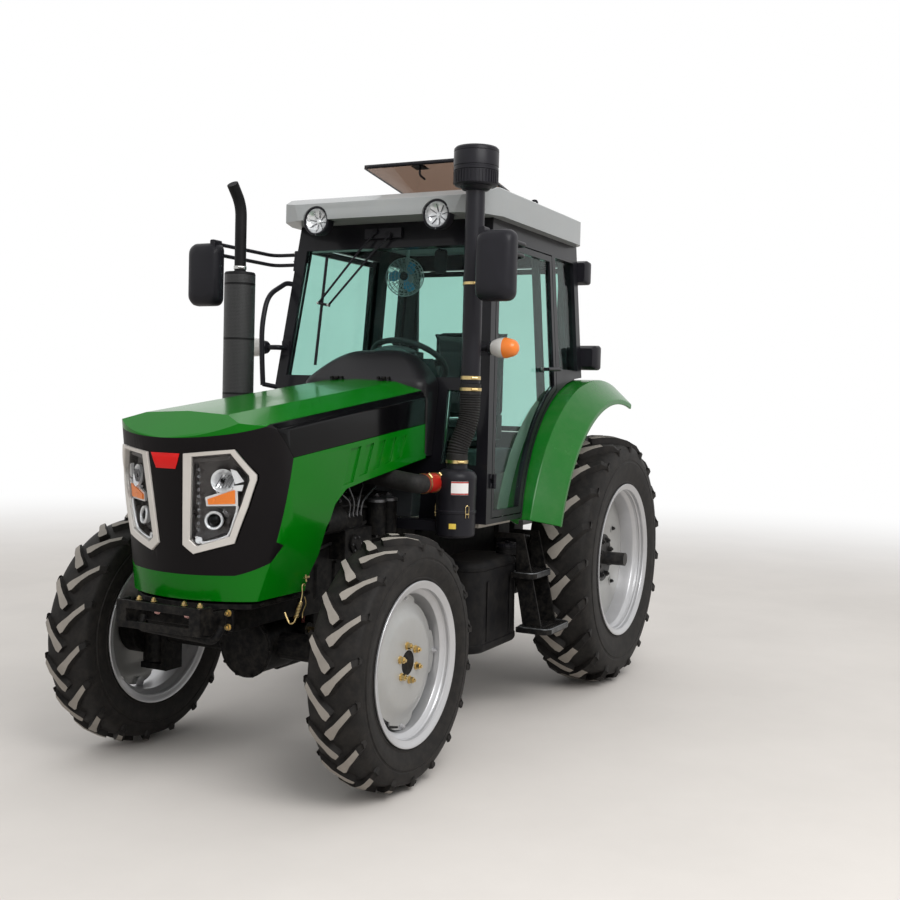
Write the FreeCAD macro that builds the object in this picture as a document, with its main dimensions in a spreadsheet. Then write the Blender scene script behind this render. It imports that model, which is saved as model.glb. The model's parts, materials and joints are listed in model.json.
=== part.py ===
import FreeCAD, Part
import Sketcher
import math
import os
import re

# Farm tractor with a cab and four driven wheels, in millimetres.
# Frame: X forward, Y to the machine's left, Z up, origin on the ground under the middle of its length.
# Every shape is drawn with the rear axle at X = 0 and is then moved by rear_axle_x.

V = FreeCAD.Vector
doc = FreeCAD.newDocument("farm_tractor")
sheet = doc.addObject("Spreadsheet::Sheet", "sizes")

# Driving dimensions: name, value in mm or degrees, what it is.
SIZES = [
    ("rear_axle_x", -940, "rear axle, from the origin"),
    ("wheelbase", 2206, "rear axle to front axle"),
    ("running_gap", 0.3, "radial gap at shafts and pins"),
    ("seat_gap", 0.3, "gap where a rigid piece seats on another body"),
    ("rear_tyre_radius", 690, "rear tyre over the lugs"),
    ("rear_tyre_width", 350, "rear tyre section width"),
    ("rear_lug_height", 32, "rear tyre's lugs"),
    ("rear_lug_count", 20, "lugs on each side of a rear tyre"),
    ("rear_lug_angle", 14, "first lug's place round the rear tyre, degrees"),
    ("rear_tyre_y", 705, "rear tyre centre plane"),
    ("rear_flange_radius", 423, "rear rim flange"),
    ("rear_rim_width", 334, "rear rim over the flanges"),
    ("rear_disc_offset", 17, "rear disc outboard of the rim centre"),
    ("rear_hub_radius", 132, "rear wheel hub flange"),
    ("rear_hub_thickness", 20, "rear wheel hub flange thickness"),
    ("rear_shaft_radius", 36, "rear axle shaft"),
    ("rear_shaft_end_y", 876, "outer end of the rear axle shaft"),
    ("front_tyre_radius", 509, "front tyre over the lugs"),
    ("front_tyre_width", 236, "front tyre section width"),
    ("front_lug_height", 24, "front tyre's lugs"),
    ("front_lug_count", 18, "lugs on each side of a front tyre"),
    ("front_lug_angle", 4.5, "first lug's place round the front tyre, degrees"),
    ("front_tyre_y", 647, "front tyre centre plane"),
    ("front_flange_radius", 330, "front rim flange"),
    ("front_rim_width", 218, "front rim over the flanges"),
    ("front_disc_offset", 54, "front disc outboard of the rim centre"),
    ("front_hub_radius", 50, "hole in the front disc"),
    ("flange_height", 24, "rim flange above the bead seat"),
    ("well_depth", 22, "rim well below the bead seat"),
    ("rim_wall", 9, "rim and disc thickness"),
    ("kingpin_y", 570, "steering pivot"),
    ("kingpin_radius", 20, "steering pivot pin"),
    ("kingpin_reach", 174, "half length of the steering pivot pins"),
    ("knuckle_height", 290, "knuckle housing between the yoke's ears"),
    ("knuckle_radius", 58, "knuckle housing"),
    ("drum_radius", 118, "front final drive drum"),
    ("drum_inner_y", 600, "inner face of the final drive drum"),
    ("drum_outer_y", 684, "outer face of the final drive drum"),
    ("spindle_end_y", 708, "outer end of the front spindle"),
    ("yoke_y", 500, "outer face of the axle yoke"),
    ("yoke_thickness", 30, "yoke plate"),
    ("ear_thickness", 26, "yoke ear"),
    ("beam_radius", 56, "front axle tube"),
    ("front_case_radius", 122, "front differential case"),
    ("trumpet_radius", 95, "rear axle trumpet"),
    ("trumpet_end_y", 690, "outer end of the rear axle trumpet"),
    ("rear_case_width", 340, "rear transmission case"),
    ("gearbox_top_z", "=rear_tyre_radius + 210", "gearbox"),
    ("gearbox_width", 320, "gearbox"),
    ("engine_rear_x", 1480, "engine's rear face"),
    ("engine_length", "=wheelbase + 14 - engine_rear_x", "engine block"),
    ("engine_width", 420, "engine block"),
    ("engine_low_z", 455, "engine sump's underside"),
    ("engine_block_z", 1120, "top of the block"),
    ("engine_top_z", 1290, "top of the rocker cover"),
    ("head_width", 280, "cylinder head and rocker cover"),
    ("radiator_x", "=wheelbase + 234", "radiator's rear face"),
    ("radiator_thickness", 90, "radiator core and tanks"),
    ("radiator_width", 520, "radiator"),
    ("radiator_low_z", 766, "radiator's underside"),
    ("radiator_top_z", 1300, "radiator's top"),
    ("bolster_rear_x", "=wheelbase - 276", "front support's rear end"),
    ("bolster_front_x", "=wheelbase + 494", "front support's front face"),
    ("bolster_width", 380, "front support"),
    ("bolster_low_z", 645, "front support's underside"),
    ("bolster_top_z", 744, "front support's top"),
    ("tray_top_z", 766, "plate under the hood's nose"),
    ("tray_width", 560, "plate under the hood's nose"),
    ("tray_front_x", "=bolster_front_x + 72", "front of the plate under the nose"),
    ("bracket_reach", 168, "weight bracket, ahead of the front support"),
    ("bracket_front_x", "=bolster_front_x + bracket_reach", "front of the weight bracket"),
    ("bracket_width", 400, "weight bracket"),
    ("bracket_low_z", 663, "weight bracket's lower edge"),
    ("bracket_top_z", 768, "weight bracket's upper edge"),
    ("bracket_plate", 12, "weight bracket's plates"),
    ("slot_width", 300, "slot for hanging weights"),
    ("slot_low_z", 690, "slot's lower edge"),
    ("slot_top_z", 737, "slot's upper edge"),
    ("hood_rear_x", 1456, "hood's rear edge"),
    ("hood_half_width", 368, "hood's half width"),
    ("hood_wall", 22, "hood panels"),
    ("nose_front_x", "=wheelbase + 640", "hood's front at its top edge"),
    ("nose_radius", 480, "front arc of the nose in plan"),
    ("nose_corner_radius", 260, "corner arc of the nose in plan"),
    ("nose_rake", 78, "how far the nose leans back at its foot"),
    ("nose_top_z", 1388, "top edge of the nose at the middle"),
    ("nose_low_z", 776, "foot of the nose"),
    ("shoulder_front_x", "=nose_front_x - 198", "front of the hood's shoulder line"),
    ("shoulder_front_z", 1447, "shoulder line at its front"),
    ("shoulder_rear_z", 1596, "shoulder line at the hood's rear edge"),
    ("shoulder_bevel", 30, "bevel between the hood's top and side"),
    ("crown_half_width", 195, "raised middle of the hood's top"),
    ("crown_height", 40, "raised middle above the shoulder"),
    ("crown_peak", 8, "middle line above the raised middle's edge"),
    ("lip_x", "=nose_front_x - 141", "where the hood's top turns down"),
    ("stripe_front_z", 1318, "stripe's lower edge at its front"),
    ("stripe_front_x", "=nose_front_x - 315", "stripe's front at its lower edge"),
    ("stripe_rear_z", 1442, "stripe's lower edge at the hood's rear"),
    ("side_rear_z", 1283, "lower edge of the hood's side at its rear"),
    ("arch_x", "=wheelbase - 203", "where the hood side's lower edge starts to bend"),
    ("arch_z", 1203, "height there"),
    ("arch_low_x", "=wheelbase + 88", "front of the hood side's wheel opening"),
    ("arch_low_z", 920, "height there"),
    ("tuck_z", 1060, "height below which the hood's sides tuck in"),
    ("tuck_depth", 66, "tuck at the hood's foot"),
    ("seam_low_x", "=nose_front_x - 240", "seam between nose and side, at its foot"),
    ("seam_low_z", 1000, "height there"),
    ("band_front_z", 864, "upper edge of the nose's lower band"),
    ("louver_count", 5, "louvers in each hood side"),
    ("louver_depth", 8, "depth of a louver's recess"),
    ("lamp_relief", 8, "headlamp's frame proud of the nose"),
    ("cab_low_z", "=rear_tyre_radius + 295", "underside of the cab's side frames"),
    ("cab_top_z", 2430, "top of the cab's frames"),
    ("cab_rear_x", 46, "rear face of the cab"),
    ("cab_side_y", 725, "cab side's outer face, produced down to the ground"),
    ("cab_side_lean", 4.19, "inward lean of the cab's sides, degrees"),
    ("cab_front_x", 1535, "windscreen frame's front face, produced down to the ground"),
    ("cab_front_lean", 8.67, "rearward lean of the windscreen, degrees"),
    ("frame_thickness", 46, "cab frame's tubes, across the wall"),
    ("post_width", 58, "front post, along the wall"),
    ("screen_low_z", 1660, "windscreen's lower edge"),
    ("screen_top_z", 2300, "windscreen's upper edge"),
    ("low_pane_low_z", 1250, "lower edge of the panes beside the hood"),
    ("low_pane_top_z", 1600, "upper edge of the panes beside the hood"),
    ("leg_room_z", 1190, "top of the opening behind the pedals"),
    ("window_half_width", 470, "rear window's half width at its foot"),
    ("window_low_z", 1380, "rear window's lower edge"),
    ("window_top_z", 2320, "rear window's upper edge"),
    ("window_side", 70, "from the cab's side to the rear window, at its top"),
    ("window_frame_width", 28, "rear window's frame"),
    ("hinge_low_z", "=cab_low_z + 195", "door's lower hinge"),
    ("hinge_top_z", 2190, "door's upper hinge"),
    ("door_gap", 6, "gap around a door"),
    ("door_frame_width", 30, "door frame"),
    ("door_thickness", 30, "door frame, across"),
    ("glass_thickness", 6, "panes"),
    ("hinge_radius", 9, "hinge knuckles"),
    ("hinge_pin", 5, "hinge pins"),
    ("hinge_length", 66, "hinges, over their three knuckles"),
    ("hinge_leaf", 28, "hinge leaves"),
    ("hinge_stand", 13, "hinge line in front of the panel it carries"),
    ("door_low_z", "=cab_low_z + 27", "door's lower edge"),
    ("door_top_z", 2332, "door's upper edge"),
    ("door_rear_x", 432, "door's upper rear edge"),
    ("door_arch_radius", "=fender_radius + 32", "door's lower rear edge, about the rear axle"),
    ("quarter_low_z", "=rear_tyre_radius + fender_radius + 45", "rear quarter pane's lower edge"),
    ("roof_front_x", 1362, "roof's front edge"),
    ("roof_rear_x", 44, "roof's rear edge"),
    ("roof_half_width", 602, "roof's half width"),
    ("roof_low_z", 2430, "roof's underside"),
    ("roof_corner", 110, "roof's rear corners in plan"),
    ("roof_chamfer_x", 190, "roof's front corners in plan, along"),
    ("roof_chamfer_y", 120, "roof's front corners in plan, across"),
    ("hatch_hinge_x", 430, "hatch's hinge line"),
    ("hatch_hinge_z", 2672, "hatch's hinge line"),
    ("hatch_length", 540, "hatch"),
    ("hatch_half_width", 300, "hatch"),
    ("hatch_thickness", 22, "hatch"),
    ("hatch_open", 8.4, "hatch's slope as parked, degrees"),
    ("work_lamp_y", 336, "roof work lamp"),
    ("work_lamp_z", 2427, "roof work lamp"),
    ("work_lamp_radius", 72, "roof work lamp"),
    ("fender_radius", 1000, "fender's crown, about the rear axle"),
    ("fender_inner_y", 558, "fender's inner edge"),
    ("fender_outer_y", 815, "fender's outer edge"),
    ("fender_flat", 136, "flat part of the crown, across"),
    ("fender_fall", 100, "how far the crown falls to its outer edge"),
    ("fender_wall", 14, "fender's wall"),
    ("fender_low_angle", 16.5, "fender's front end, degrees above level"),
    ("fender_rear_angle", 104, "fender's rear end, degrees from straight ahead"),
    ("well_y", 515, "outer face of the cab's inner wheel walls"),
    ("well_wall", 20, "cab's wheel walls and wheel covers"),
    ("floor_z", "=rear_tyre_radius + 270", "cab floor's underside"),
    ("floor_thickness", 24, "cab floor"),
    ("tank_front_x", 1330, "fuel tank"),
    ("tank_rear_x", 790, "fuel tank"),
    ("tank_low_z", 350, "fuel tank"),
    ("tank_top_z", "=rear_tyre_radius + 100", "fuel tank"),
    ("tank_inner_y", 300, "fuel tank"),
    ("tank_outer_y", 590, "fuel tank"),
    ("tank_corner", 95, "fuel tank's upright corners"),
    ("neck_radius", 57, "fuel filler"),
    ("neck_height", 55, "fuel filler above the tank"),
    ("tread_thickness", 26, "step treads"),
    ("hanger_y", 608, "inner edge of the steps' side plates, at the cab"),
    ("hanger_width", 40, "steps' side plates"),
    ("hanger_reach_y", 485, "inner edge of the side plates under the cab floor"),
    ("hanger_drop", 60, "side plates' cross arm below the cab floor"),
    ("exhaust_x", "=engine_rear_x + 0.4243 * engine_length", "exhaust stack"),
    ("exhaust_y", -460, "exhaust stack"),
    ("muffler_radius", 72, "muffler"),
    ("stack_radius", 27, "exhaust pipe"),
    ("intake_x", 1442, "air intake pipe"),
    ("intake_y", 583, "air intake pipe"),
    ("intake_radius", 44, "air intake pipe"),
    ("precleaner_radius", 103, "precleaner"),
    ("cleaner_x", "=cab_front_x - cab_low_z * tan(cab_front_lean) + 99.2", "air cleaner"),
    ("cleaner_y", 545, "air cleaner"),
    ("cleaner_radius", 94, "air cleaner"),
    ("mirror_x", 1647, "mirror"),
    ("mirror_y", 785, "mirror"),
    ("mirror_z", 2141, "mirror"),
    ("link_pivot_x", -90, "lower link's front pin"),
    ("link_pivot_z", "=rear_tyre_radius - 220", "lower link's front pin"),
    ("link_length", 860, "lower link, pin to ball"),
    ("link_y", 400, "lower link's ball"),
    ("link_front_y", 250, "lower link's front pin"),
    ("link_ball_radius", 38, "lower link's eye"),
    ("link_bore_radius", 14.4, "lower link's pin hole"),
    ("link_eye_width", 45, "lower link's ball width"),
    ("rod_hook", 430, "lift rod's pin, along the lower link"),
    ("rocker_x", -150, "lift arms' shaft"),
    ("rocker_z", "=rear_tyre_radius + 320", "lift arms' shaft"),
    ("arm_length", 372, "lift arm"),
    ("top_link_x", -150, "top link's front pin"),
    ("top_link_z", "=rear_tyre_radius + 100", "top link's front pin"),
    ("top_link_length", 620, "top link, pin to pin"),
    ("top_bore_radius", 12.9, "top link's pin hole"),
    ("pto_radius", 17.45, "power take-off shaft"),
    ("pto_z", "=rear_tyre_radius - 130", "power take-off shaft"),
    ("pto_end_x", -330, "rear end of the power take-off shaft"),
    ("drawbar_width", 76, "drawbar"),
    ("drawbar_thickness", 30, "drawbar"),
    ("drawbar_z", "=rear_tyre_radius - 310", "drawbar's underside"),
    ("drawbar_end_x", -470, "drawbar's rear end"),
    ("drawbar_bore_radius", 16, "drawbar's pin hole"),
]
NAMES = [row[0] for row in SIZES]
for line, (name, value, note) in enumerate(SIZES, 1):
    sheet.set("A%d" % line, name)
    sheet.set("B%d" % line, str(value))
    sheet.setAlias("B%d" % line, name)
    sheet.set("C%d" % line, note)
doc.recompute()


def cell(name):
    """A size's value, read from the sheet."""
    return float(getattr(sheet, name))


def bound(text):
    """An expression in the sheet's names, written so that a property can be bound to it."""
    return re.sub(r"[a-z][a-z_]*[a-z]", lambda w: "sizes." + w.group() if w.group() in NAMES else w.group(),
                  text)


def hinge(point, outward, along, moving, fixed):
    """A hinge's two fixed knuckles with pin and leaf, and its moving knuckle with its leaf.

    outward is the panel's normal and along the hinge line; the moving leaf lies on one side of the
    line and the fixed leaf on the other, each between two depths measured along outward.
    """
    radius, pin, gap = cell("hinge_radius"), cell("hinge_pin"), cell("running_gap")
    third = cell("hinge_length") / 3
    play = 0.5
    leaf = cell("hinge_leaf")
    low = V(0, 0, -1.5 * third)
    still = Part.makeCylinder(pin, 3 * third, low)
    for start in (-1.5 * third, 0.5 * third):
        still = still.fuse(Part.makeCylinder(radius, third, V(0, 0, start)))
        still = still.fuse(Part.makeBox(leaf, fixed[1] - fixed[0], third, V(0, fixed[0], start)))
    barrel = Part.makeCylinder(radius, third - 2 * play, V(0, 0, -0.5 * third + play))
    swing = barrel.fuse(Part.makeBox(leaf, moving[1] - moving[0], third - 2 * play,
                                     V(-leaf, moving[0], -0.5 * third + play)))
    swing = swing.cut(Part.makeCylinder(pin + gap, 3 * third, low))
    turn = FreeCAD.Rotation(outward.cross(along), outward, along, "ZXY")
    place = FreeCAD.Placement(point, turn)
    still.Placement = place
    swing.Placement = place
    return still, swing


NODES = []
AXES = {"X": V(1, 0, 0), "Y": V(0, 1, 0), "Z": V(0, 0, 1)}
LAY = {"X": (V(0, 1, 0), 90), "Y": (V(1, 0, 0), -90)}


def tie(obj, **bindings):
    """Bind properties to expressions; x, y and z are the placement's place."""
    for key, text in bindings.items():
        path = "Placement.Base." + key if key in "xyz" else key
        obj.setExpression(path, bound(text))
    return obj


def box(name, x, y, z):
    """A box from pairs of expressions for its low and high sides."""
    b = doc.addObject("Part::Box", name)
    sides = {"Length": x, "Width": y, "Height": z}
    for side, (low, high) in sides.items():
        b.setExpression(side, bound("(%s) - (%s)" % (high, low)))
    return tie(b, x=x[0], y=y[0], z=z[0])


def rod(name, axis, radius, start, length, across):
    """A cylinder along an axis; across gives its place on the two other axes, in X, Y, Z order."""
    c = doc.addObject("Part::Cylinder", name)
    if axis in LAY:
        c.Placement = FreeCAD.Placement(V(0, 0, 0), FreeCAD.Rotation(*LAY[axis]))
    tie(c, Radius=radius, Height=length)
    rest = [a for a in "xyz" if a != axis.lower()]
    tie(c, **{axis.lower(): start, rest[0]: across[0], rest[1]: across[1]})
    return c


def fuse(name, pieces):
    """Several shapes joined into one."""
    f = doc.addObject("Part::MultiFuse", name)
    f.Shapes = pieces
    f.Refine = True
    return f


def cut(name, base, tool):
    """A shape with another one taken away."""
    c = doc.addObject("Part::Cut", name)
    c.Base = base
    c.Tool = tool
    c.Refine = True
    return c


def common(name, base, tool):
    """What two shapes share."""
    c = doc.addObject("Part::Common", name)
    c.Base = base
    c.Tool = tool
    return c


def mirrored(name, source):
    """The same piece on the other side of the machine's middle plane."""
    m = doc.addObject("Part::Mirroring", name)
    m.Source = source
    m.Normal = AXES["Y"]
    return m


def outline(body, name, role, points):
    """A closed outline of straight lines whose every corner is bound to the sheet."""
    sketch = body.newObject("Sketcher::SketchObject", name)
    plane = [f for f in body.Origin.OriginFeatures if f.Role == role][0]
    sketch.AttachmentSupport = [(plane, "")]
    sketch.MapMode = "FlatFace"
    count = len(points)
    turns = [2 * math.pi * i / count for i in range(count)]
    ring = [V(math.cos(turn), math.sin(turn), 0) for turn in turns]
    sketch.addGeometry([Part.LineSegment(ring[i], ring[(i + 1) % count]) for i in range(count)], False)
    for i in range(count):
        sketch.addConstraint(Sketcher.Constraint("Coincident", i, 2, (i + 1) % count, 1))
    for i, corner in enumerate(points):
        for kind, text in zip(("DistanceX", "DistanceY"), corner):
            place = ring[i].x if kind == "DistanceX" else ring[i].y
            index = sketch.addConstraint(Sketcher.Constraint(kind, -1, 1, i, 1, place))
            sketch.setExpression("Constraints[%d]" % index, bound(text))
    return sketch


def prism(name, role, points, depth, **place):
    """An outline padded to both sides of its plane by half the depth."""
    body = doc.addObject("PartDesign::Body", name)
    sketch = outline(body, name + "_outline", role, points)
    pad = body.newObject("PartDesign::Pad", name + "_pad")
    pad.Profile = sketch
    pad.Midplane = True
    pad.setExpression("Length", bound(depth))
    return tie(body, **place)


def turned(name, points, **place):
    """A section of (across, radius) corners turned about the Y axis."""
    body = doc.addObject("PartDesign::Body", name)
    sketch = outline(body, name + "_section", "YZ_Plane", points)
    turn = body.newObject("PartDesign::Revolution", name + "_turn")
    turn.Profile = sketch
    turn.ReferenceAxis = (sketch, ["H_Axis"])
    turn.Angle = 360
    return tie(body, **place)


def coded(name, shape):
    """A piece whose shape is worked out in code from the sheet's values."""
    f = doc.addObject("Part::Feature", name)
    f.Shape = shape
    return f


def node(label, obj):
    """A finished piece: its label names its file, and it moves to its place in the machine's frame."""
    obj.Label = label
    bindings = dict(obj.ExpressionEngine)
    here = bindings.get(".Placement.Base.x", bindings.get("Placement.Base.x"))
    obj.setExpression("Placement.Base.x", "sizes.rear_axle_x" + (" + (%s)" % here if here else ""))
    NODES.append(obj)
    return obj


def pair(label, left):
    """The left piece and its mirror image, as two nodes."""
    node(label + "_left", left)
    right = mirrored(label + "_right", left)
    right.Label = label + "_right"
    NODES.append(right)


def both(name, left):
    """The left piece and its mirror image, as one shape of two solids."""
    right = mirrored(name + "_mirror", left)
    return fuse(name, [left, right])


# Wheels: tyre, rim and hub of each axle, from one table.
# Columns: axle, place ahead of the rear axle.
AXLES = [("front", "wheelbase"), ("rear", "0")]
AXLE_X = {"front": cell("wheelbase"), "rear": 0}


# Columns: across and along from a lug's middle and half width of its face, as shares of the tyre's half
# width; drop of its face below the tread and of its hidden base, as shares of the tyre's height over its rim.
LUG_PATH = [(0.10, -0.45, 0.17, 0.023, 0.30), (0.90, 0.45, 0.11, 0.12, 0.56)]
LUG_SLANT = 0.5
LUG_FLARE = 0.14
FACETS = 20


def faceted(rings, loop):
    """A solid of flat faces through rings of corners, closed on itself or at its two ends."""
    outlines = [] if loop else [rings[0], rings[-1]]
    for a, b in zip(rings, rings[1:] + (rings[:1] if loop else [])):
        outlines += [[a[i - 1], a[i], b[i], b[i - 1]] for i in range(len(a))]
    solid = Part.makeSolid(Part.makeShell([Part.Face(Part.makePolygon(ring + ring[:1])) for ring in outlines]))
    if solid.Volume < 0:
        solid.reverse()
    return solid


def tyre(axle, x):
    """A left tyre: a carcass of flat facets from bead to tread, with slanting lugs on both halves."""
    radius, half = cell(axle + "_tyre_radius"), cell(axle + "_tyre_width") / 2
    flange, tread = cell(axle + "_flange_radius"), radius - cell(axle + "_lug_height")
    rise = radius - flange
    bead = cell(axle + "_rim_width") / 2 - cell("rim_wall") - cell("seat_gap")
    seat = (flange - cell("flange_height") + cell("seat_gap")) / math.cos(math.pi / FACETS)
    centre = V(x, cell(axle + "_tyre_y"), radius)

    def place(turn, across, along, reach):
        """A point in a frame turned about the axle: across the tyre, along its tread, out from the axle."""
        ahead, up = math.cos(turn), math.sin(turn)
        return centre + V(reach * ahead - along * up, across, reach * up + along * ahead)

    left_half = [(bead, seat), (bead, flange + 0.06 * rise), (half, flange + 0.45 * rise),
                 (0.86 * half, tread - 0.04 * radius)]
    section = left_half + [(0, tread)] + [(-across, reach) for across, reach in reversed(left_half)]
    turns = [2 * math.pi * i / FACETS for i in range(FACETS)]
    solids = [faceted([[place(turn, across, 0, reach) for across, reach in section] for turn in turns],
                      True)]
    count = int(cell(axle + "_lug_count"))
    for side in (1, -1):
        for k in range(count):
            turn = math.radians(cell(axle + "_lug_angle")) + 2 * math.pi * (k + (side < 0) * 0.45) / count
            rings = []
            for across, along, face, drop, base in LUG_PATH:
                tall = (base - drop) * rise
                top, foot = face * half, face * half + LUG_FLARE * tall
                rings.append([place(turn, side * (across * half - LUG_SLANT * wide), along * half + wide,
                                    radius - fall * rise)
                              for wide, fall in ((foot, base), (top, drop), (-top, drop), (-foot, base))])
            solids.append(faceted(rings, False))
    return coded(axle + "_tyre", solids[0].fuse(solids[1:]))


def rim(axle, x, hole):
    """A rim with flanges, bead seats, well and disc, as one section turned about the axle."""
    s = {"a": axle, "h": axle + "_rim_width / 2", "f": axle + "_flange_radius"}
    seat = "%(f)s - flange_height" % s
    well = "%(f)s - flange_height - well_depth" % s
    disc = axle + "_disc_offset"
    ledge = "%(h)s * 0.72" % s
    slope = "%(h)s * 0.62" % s
    section = [
        ("-(%(h)s)" % s, s["f"]),
        ("-(%(h)s) + rim_wall" % s, s["f"]),
        ("-(%(h)s) + rim_wall" % s, seat),
        ("-(%s)" % ledge, seat),
        ("-(%s)" % slope, well),
        (slope, well),
        (ledge, seat),
        ("%(h)s - rim_wall" % s, seat),
        ("%(h)s - rim_wall" % s, s["f"]),
        (s["h"], s["f"]),
        (s["h"], seat + " - rim_wall"),
        ("%s + 2" % ledge, seat + " - rim_wall"),
        ("%s + 2" % slope, well + " - rim_wall"),
        ("%s + rim_wall / 2" % disc, well + " - rim_wall"),
        ("%s + rim_wall / 2" % disc, hole),
        ("%s - rim_wall / 2" % disc, hole),
        ("%s - rim_wall / 2" % disc, well + " - rim_wall"),
        ("-(%s) - 2" % slope, well + " - rim_wall"),
        ("-(%s) - 2" % ledge, seat + " - rim_wall"),
        ("-(%(h)s)" % s, seat + " - rim_wall"),
    ]
    return turned(axle + "_rim", section, x=x, y=axle + "_tyre_y", z=axle + "_tyre_radius")


for axle, x in AXLES:
    pair(axle + "_tyre", tyre(axle, AXLE_X[axle]))
    hole = "front_hub_radius" if axle == "front" else "rear_shaft_radius + seat_gap"
    pair(axle + "_rim", rim(axle, x, hole))

# Rear hubs: a flange outside each disc on a shaft that turns in the trumpet.
DISC_OUT = "rear_tyre_y + rear_disc_offset + rim_wall / 2"
hub_flange = rod("hub_flange", "Y", "rear_hub_radius", DISC_OUT, "rear_hub_thickness",
                 ("0", "rear_tyre_radius"))
hub_shaft = rod("hub_shaft", "Y", "rear_shaft_radius", "trumpet_end_y - 60",
                "rear_shaft_end_y - trumpet_end_y + 60", ("0", "rear_tyre_radius"))
pair("rear_hub", fuse("rear_hub", [hub_flange, hub_shaft]))

# Rear axle: transmission case and two trumpets, bored for the shafts, with the links' pins and the
# rocker's bore.
case = prism("rear_case", "XZ_Plane", [
    ("-190", "rear_tyre_radius - 200"), ("70", "rear_tyre_radius - 200"), ("190", "rear_tyre_radius - 230"),
    ("190", "rear_tyre_radius + 200"), ("30", "rear_tyre_radius + 230"), ("-60", "rear_tyre_radius + 380"),
    ("-190", "rear_tyre_radius + 380")], "rear_case_width")
trumpet = rod("trumpet", "Y", "trumpet_radius", "0", "trumpet_end_y", ("0", "rear_tyre_radius"))
trumpet_flange = rod("trumpet_flange", "Y", "trumpet_radius + 45", "trumpet_end_y - 110", "60",
                     ("0", "rear_tyre_radius"))
trumpet_bore = rod("trumpet_bore", "Y", "rear_shaft_radius + running_gap", "trumpet_end_y - 61", "62",
                   ("0", "rear_tyre_radius"))
trumpet_half = cut("trumpet_half", fuse("trumpet_solid", [trumpet, trumpet_flange]), trumpet_bore)
link_pin = rod("link_pin", "Y", "link_bore_radius", "rear_case_width / 2 - 2",
               "link_front_y + link_eye_width / 2 + 8 - rear_case_width / 2",
               ("link_pivot_x", "link_pivot_z"))
link_plate = box("link_plate", ("link_pivot_x - 45", "link_pivot_x + 45"),
                 ("rear_case_width / 2", "rear_case_width / 2 + 25"),
                 ("link_pivot_z - 45", "rear_tyre_radius - 100"))
LUG_X = ("top_link_x - 115", "top_link_x - 30")
LUG_Z = ("top_link_z - 35", "top_link_z + 35")
top_lug = box("top_lug", LUG_X, ("26", "40"), LUG_Z)
top_pin = rod("top_pin", "Y", "top_bore_radius", "-30", "60", ("top_link_x - 70", "top_link_z"))
rocker_bore = rod("rocker_bore", "Y", "32 + running_gap", "-rear_case_width", "2 * rear_case_width",
                  ("rocker_x", "rocker_z"))
housing_solid = fuse("housing_solid", [
    case, trumpet_half, mirrored("trumpet_other", trumpet_half), link_pin,
    mirrored("link_pin_other", link_pin),
    link_plate, mirrored("link_plate_other", link_plate), top_lug, mirrored("top_lug_other", top_lug),
    top_pin])
node("rear_axle_housing", cut("rear_axle_housing", housing_solid, rocker_bore))

# Gearbox, clutch housing and front drive box between the rear case and the engine, with the tank's arms.
gearbox = prism("gearbox_body", "XZ_Plane", [
    ("190", "gearbox_top_z - 400"), ("820", "gearbox_top_z - 430"), ("1300", "440"),
    ("1300", "gearbox_top_z - 40"), ("1080", "gearbox_top_z"), ("190", "gearbox_top_z")], "gearbox_width")
bell = prism("clutch_housing", "XZ_Plane", [
    ("1300", "430"), ("engine_rear_x", "430"), ("engine_rear_x", "1010"), ("1300", "960")],
    "engine_width + 60")
drop_box = box("drop_box", ("1180", "1290"), ("-70", "70"), ("345", "520"))
tank_arms = [box("tank_arm_%d" % i, (x, x + " + 60"), ("gearbox_width / 2", "tank_inner_y"), ("520", "600"))
             for i, x in enumerate(("900", "1180"))]
node("gearbox", fuse("gearbox", [gearbox, bell, drop_box] + tank_arms))

# Engine: the block with its sump, and the cylinder head with its rocker cover.
ENGINE_X = ("engine_rear_x", "engine_rear_x + engine_length")
block = box("block", ENGINE_X, ("-engine_width / 2", "engine_width / 2"),
            ("engine_low_z + 185", "engine_block_z"))
sump = box("sump", ("engine_rear_x + 60", "engine_rear_x + engine_length - 160"),
           ("-engine_width / 2 + 50", "engine_width / 2 - 50"), ("engine_low_z", "engine_low_z + 185"))
head = box("head", ("engine_rear_x + 40", "engine_rear_x + engine_length - 60"),
           ("-head_width / 2", "head_width / 2"), ("engine_block_z", "engine_top_z"))
node("engine_block", fuse("engine_block", [block, sump, head]))

# What shows on the open engine's left side and front: pump, filters, alternator, and the fan on its shaft.
SIDE_Y = "engine_width / 2"


def along_engine(share):
    """X at a share of the engine's length, from its rear face."""
    return "engine_rear_x + %.3f * engine_length" % share


pump = box("pump", (along_engine(0.43), along_engine(0.73)), (SIDE_Y, SIDE_Y + " + 80"), ("860", "990"))
pump_lines = box("pump_head", (along_engine(0.47), along_engine(0.69)), (SIDE_Y, SIDE_Y + " + 50"),
                 ("990", "1040"))
filters = [rod("fuel_filter_%d" % i, "Z", "42", "940", "150", (along_engine(share), SIDE_Y + " + 42.3"))
           for i, share in enumerate((0.16, 0.295))]
alternator = rod("alternator", "X", "58", along_engine(0.78), "0.2 * engine_length",
                 (SIDE_Y + " + 58.3", "1040"))
oil_filter = rod("oil_filter", "Y", "48", SIDE_Y, "70", (along_engine(0.35), "720"))
FAN_Z = "(radiator_low_z + radiator_top_z) / 2"
FAN_START = "engine_rear_x + engine_length"
fan_disc = rod("fan_disc", "X", "radiator_width / 2 - 40", "radiator_x - 70", "40", ("0", FAN_Z))
fan_shaft = rod("fan_shaft", "X", "35", FAN_START, "radiator_x - 60 - (%s)" % FAN_START, ("0", FAN_Z))
node("engine_auxiliaries", fuse("engine_auxiliaries", [
    pump, pump_lines] + filters + [alternator, oil_filter, fan_disc, fan_shaft]))

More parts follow.
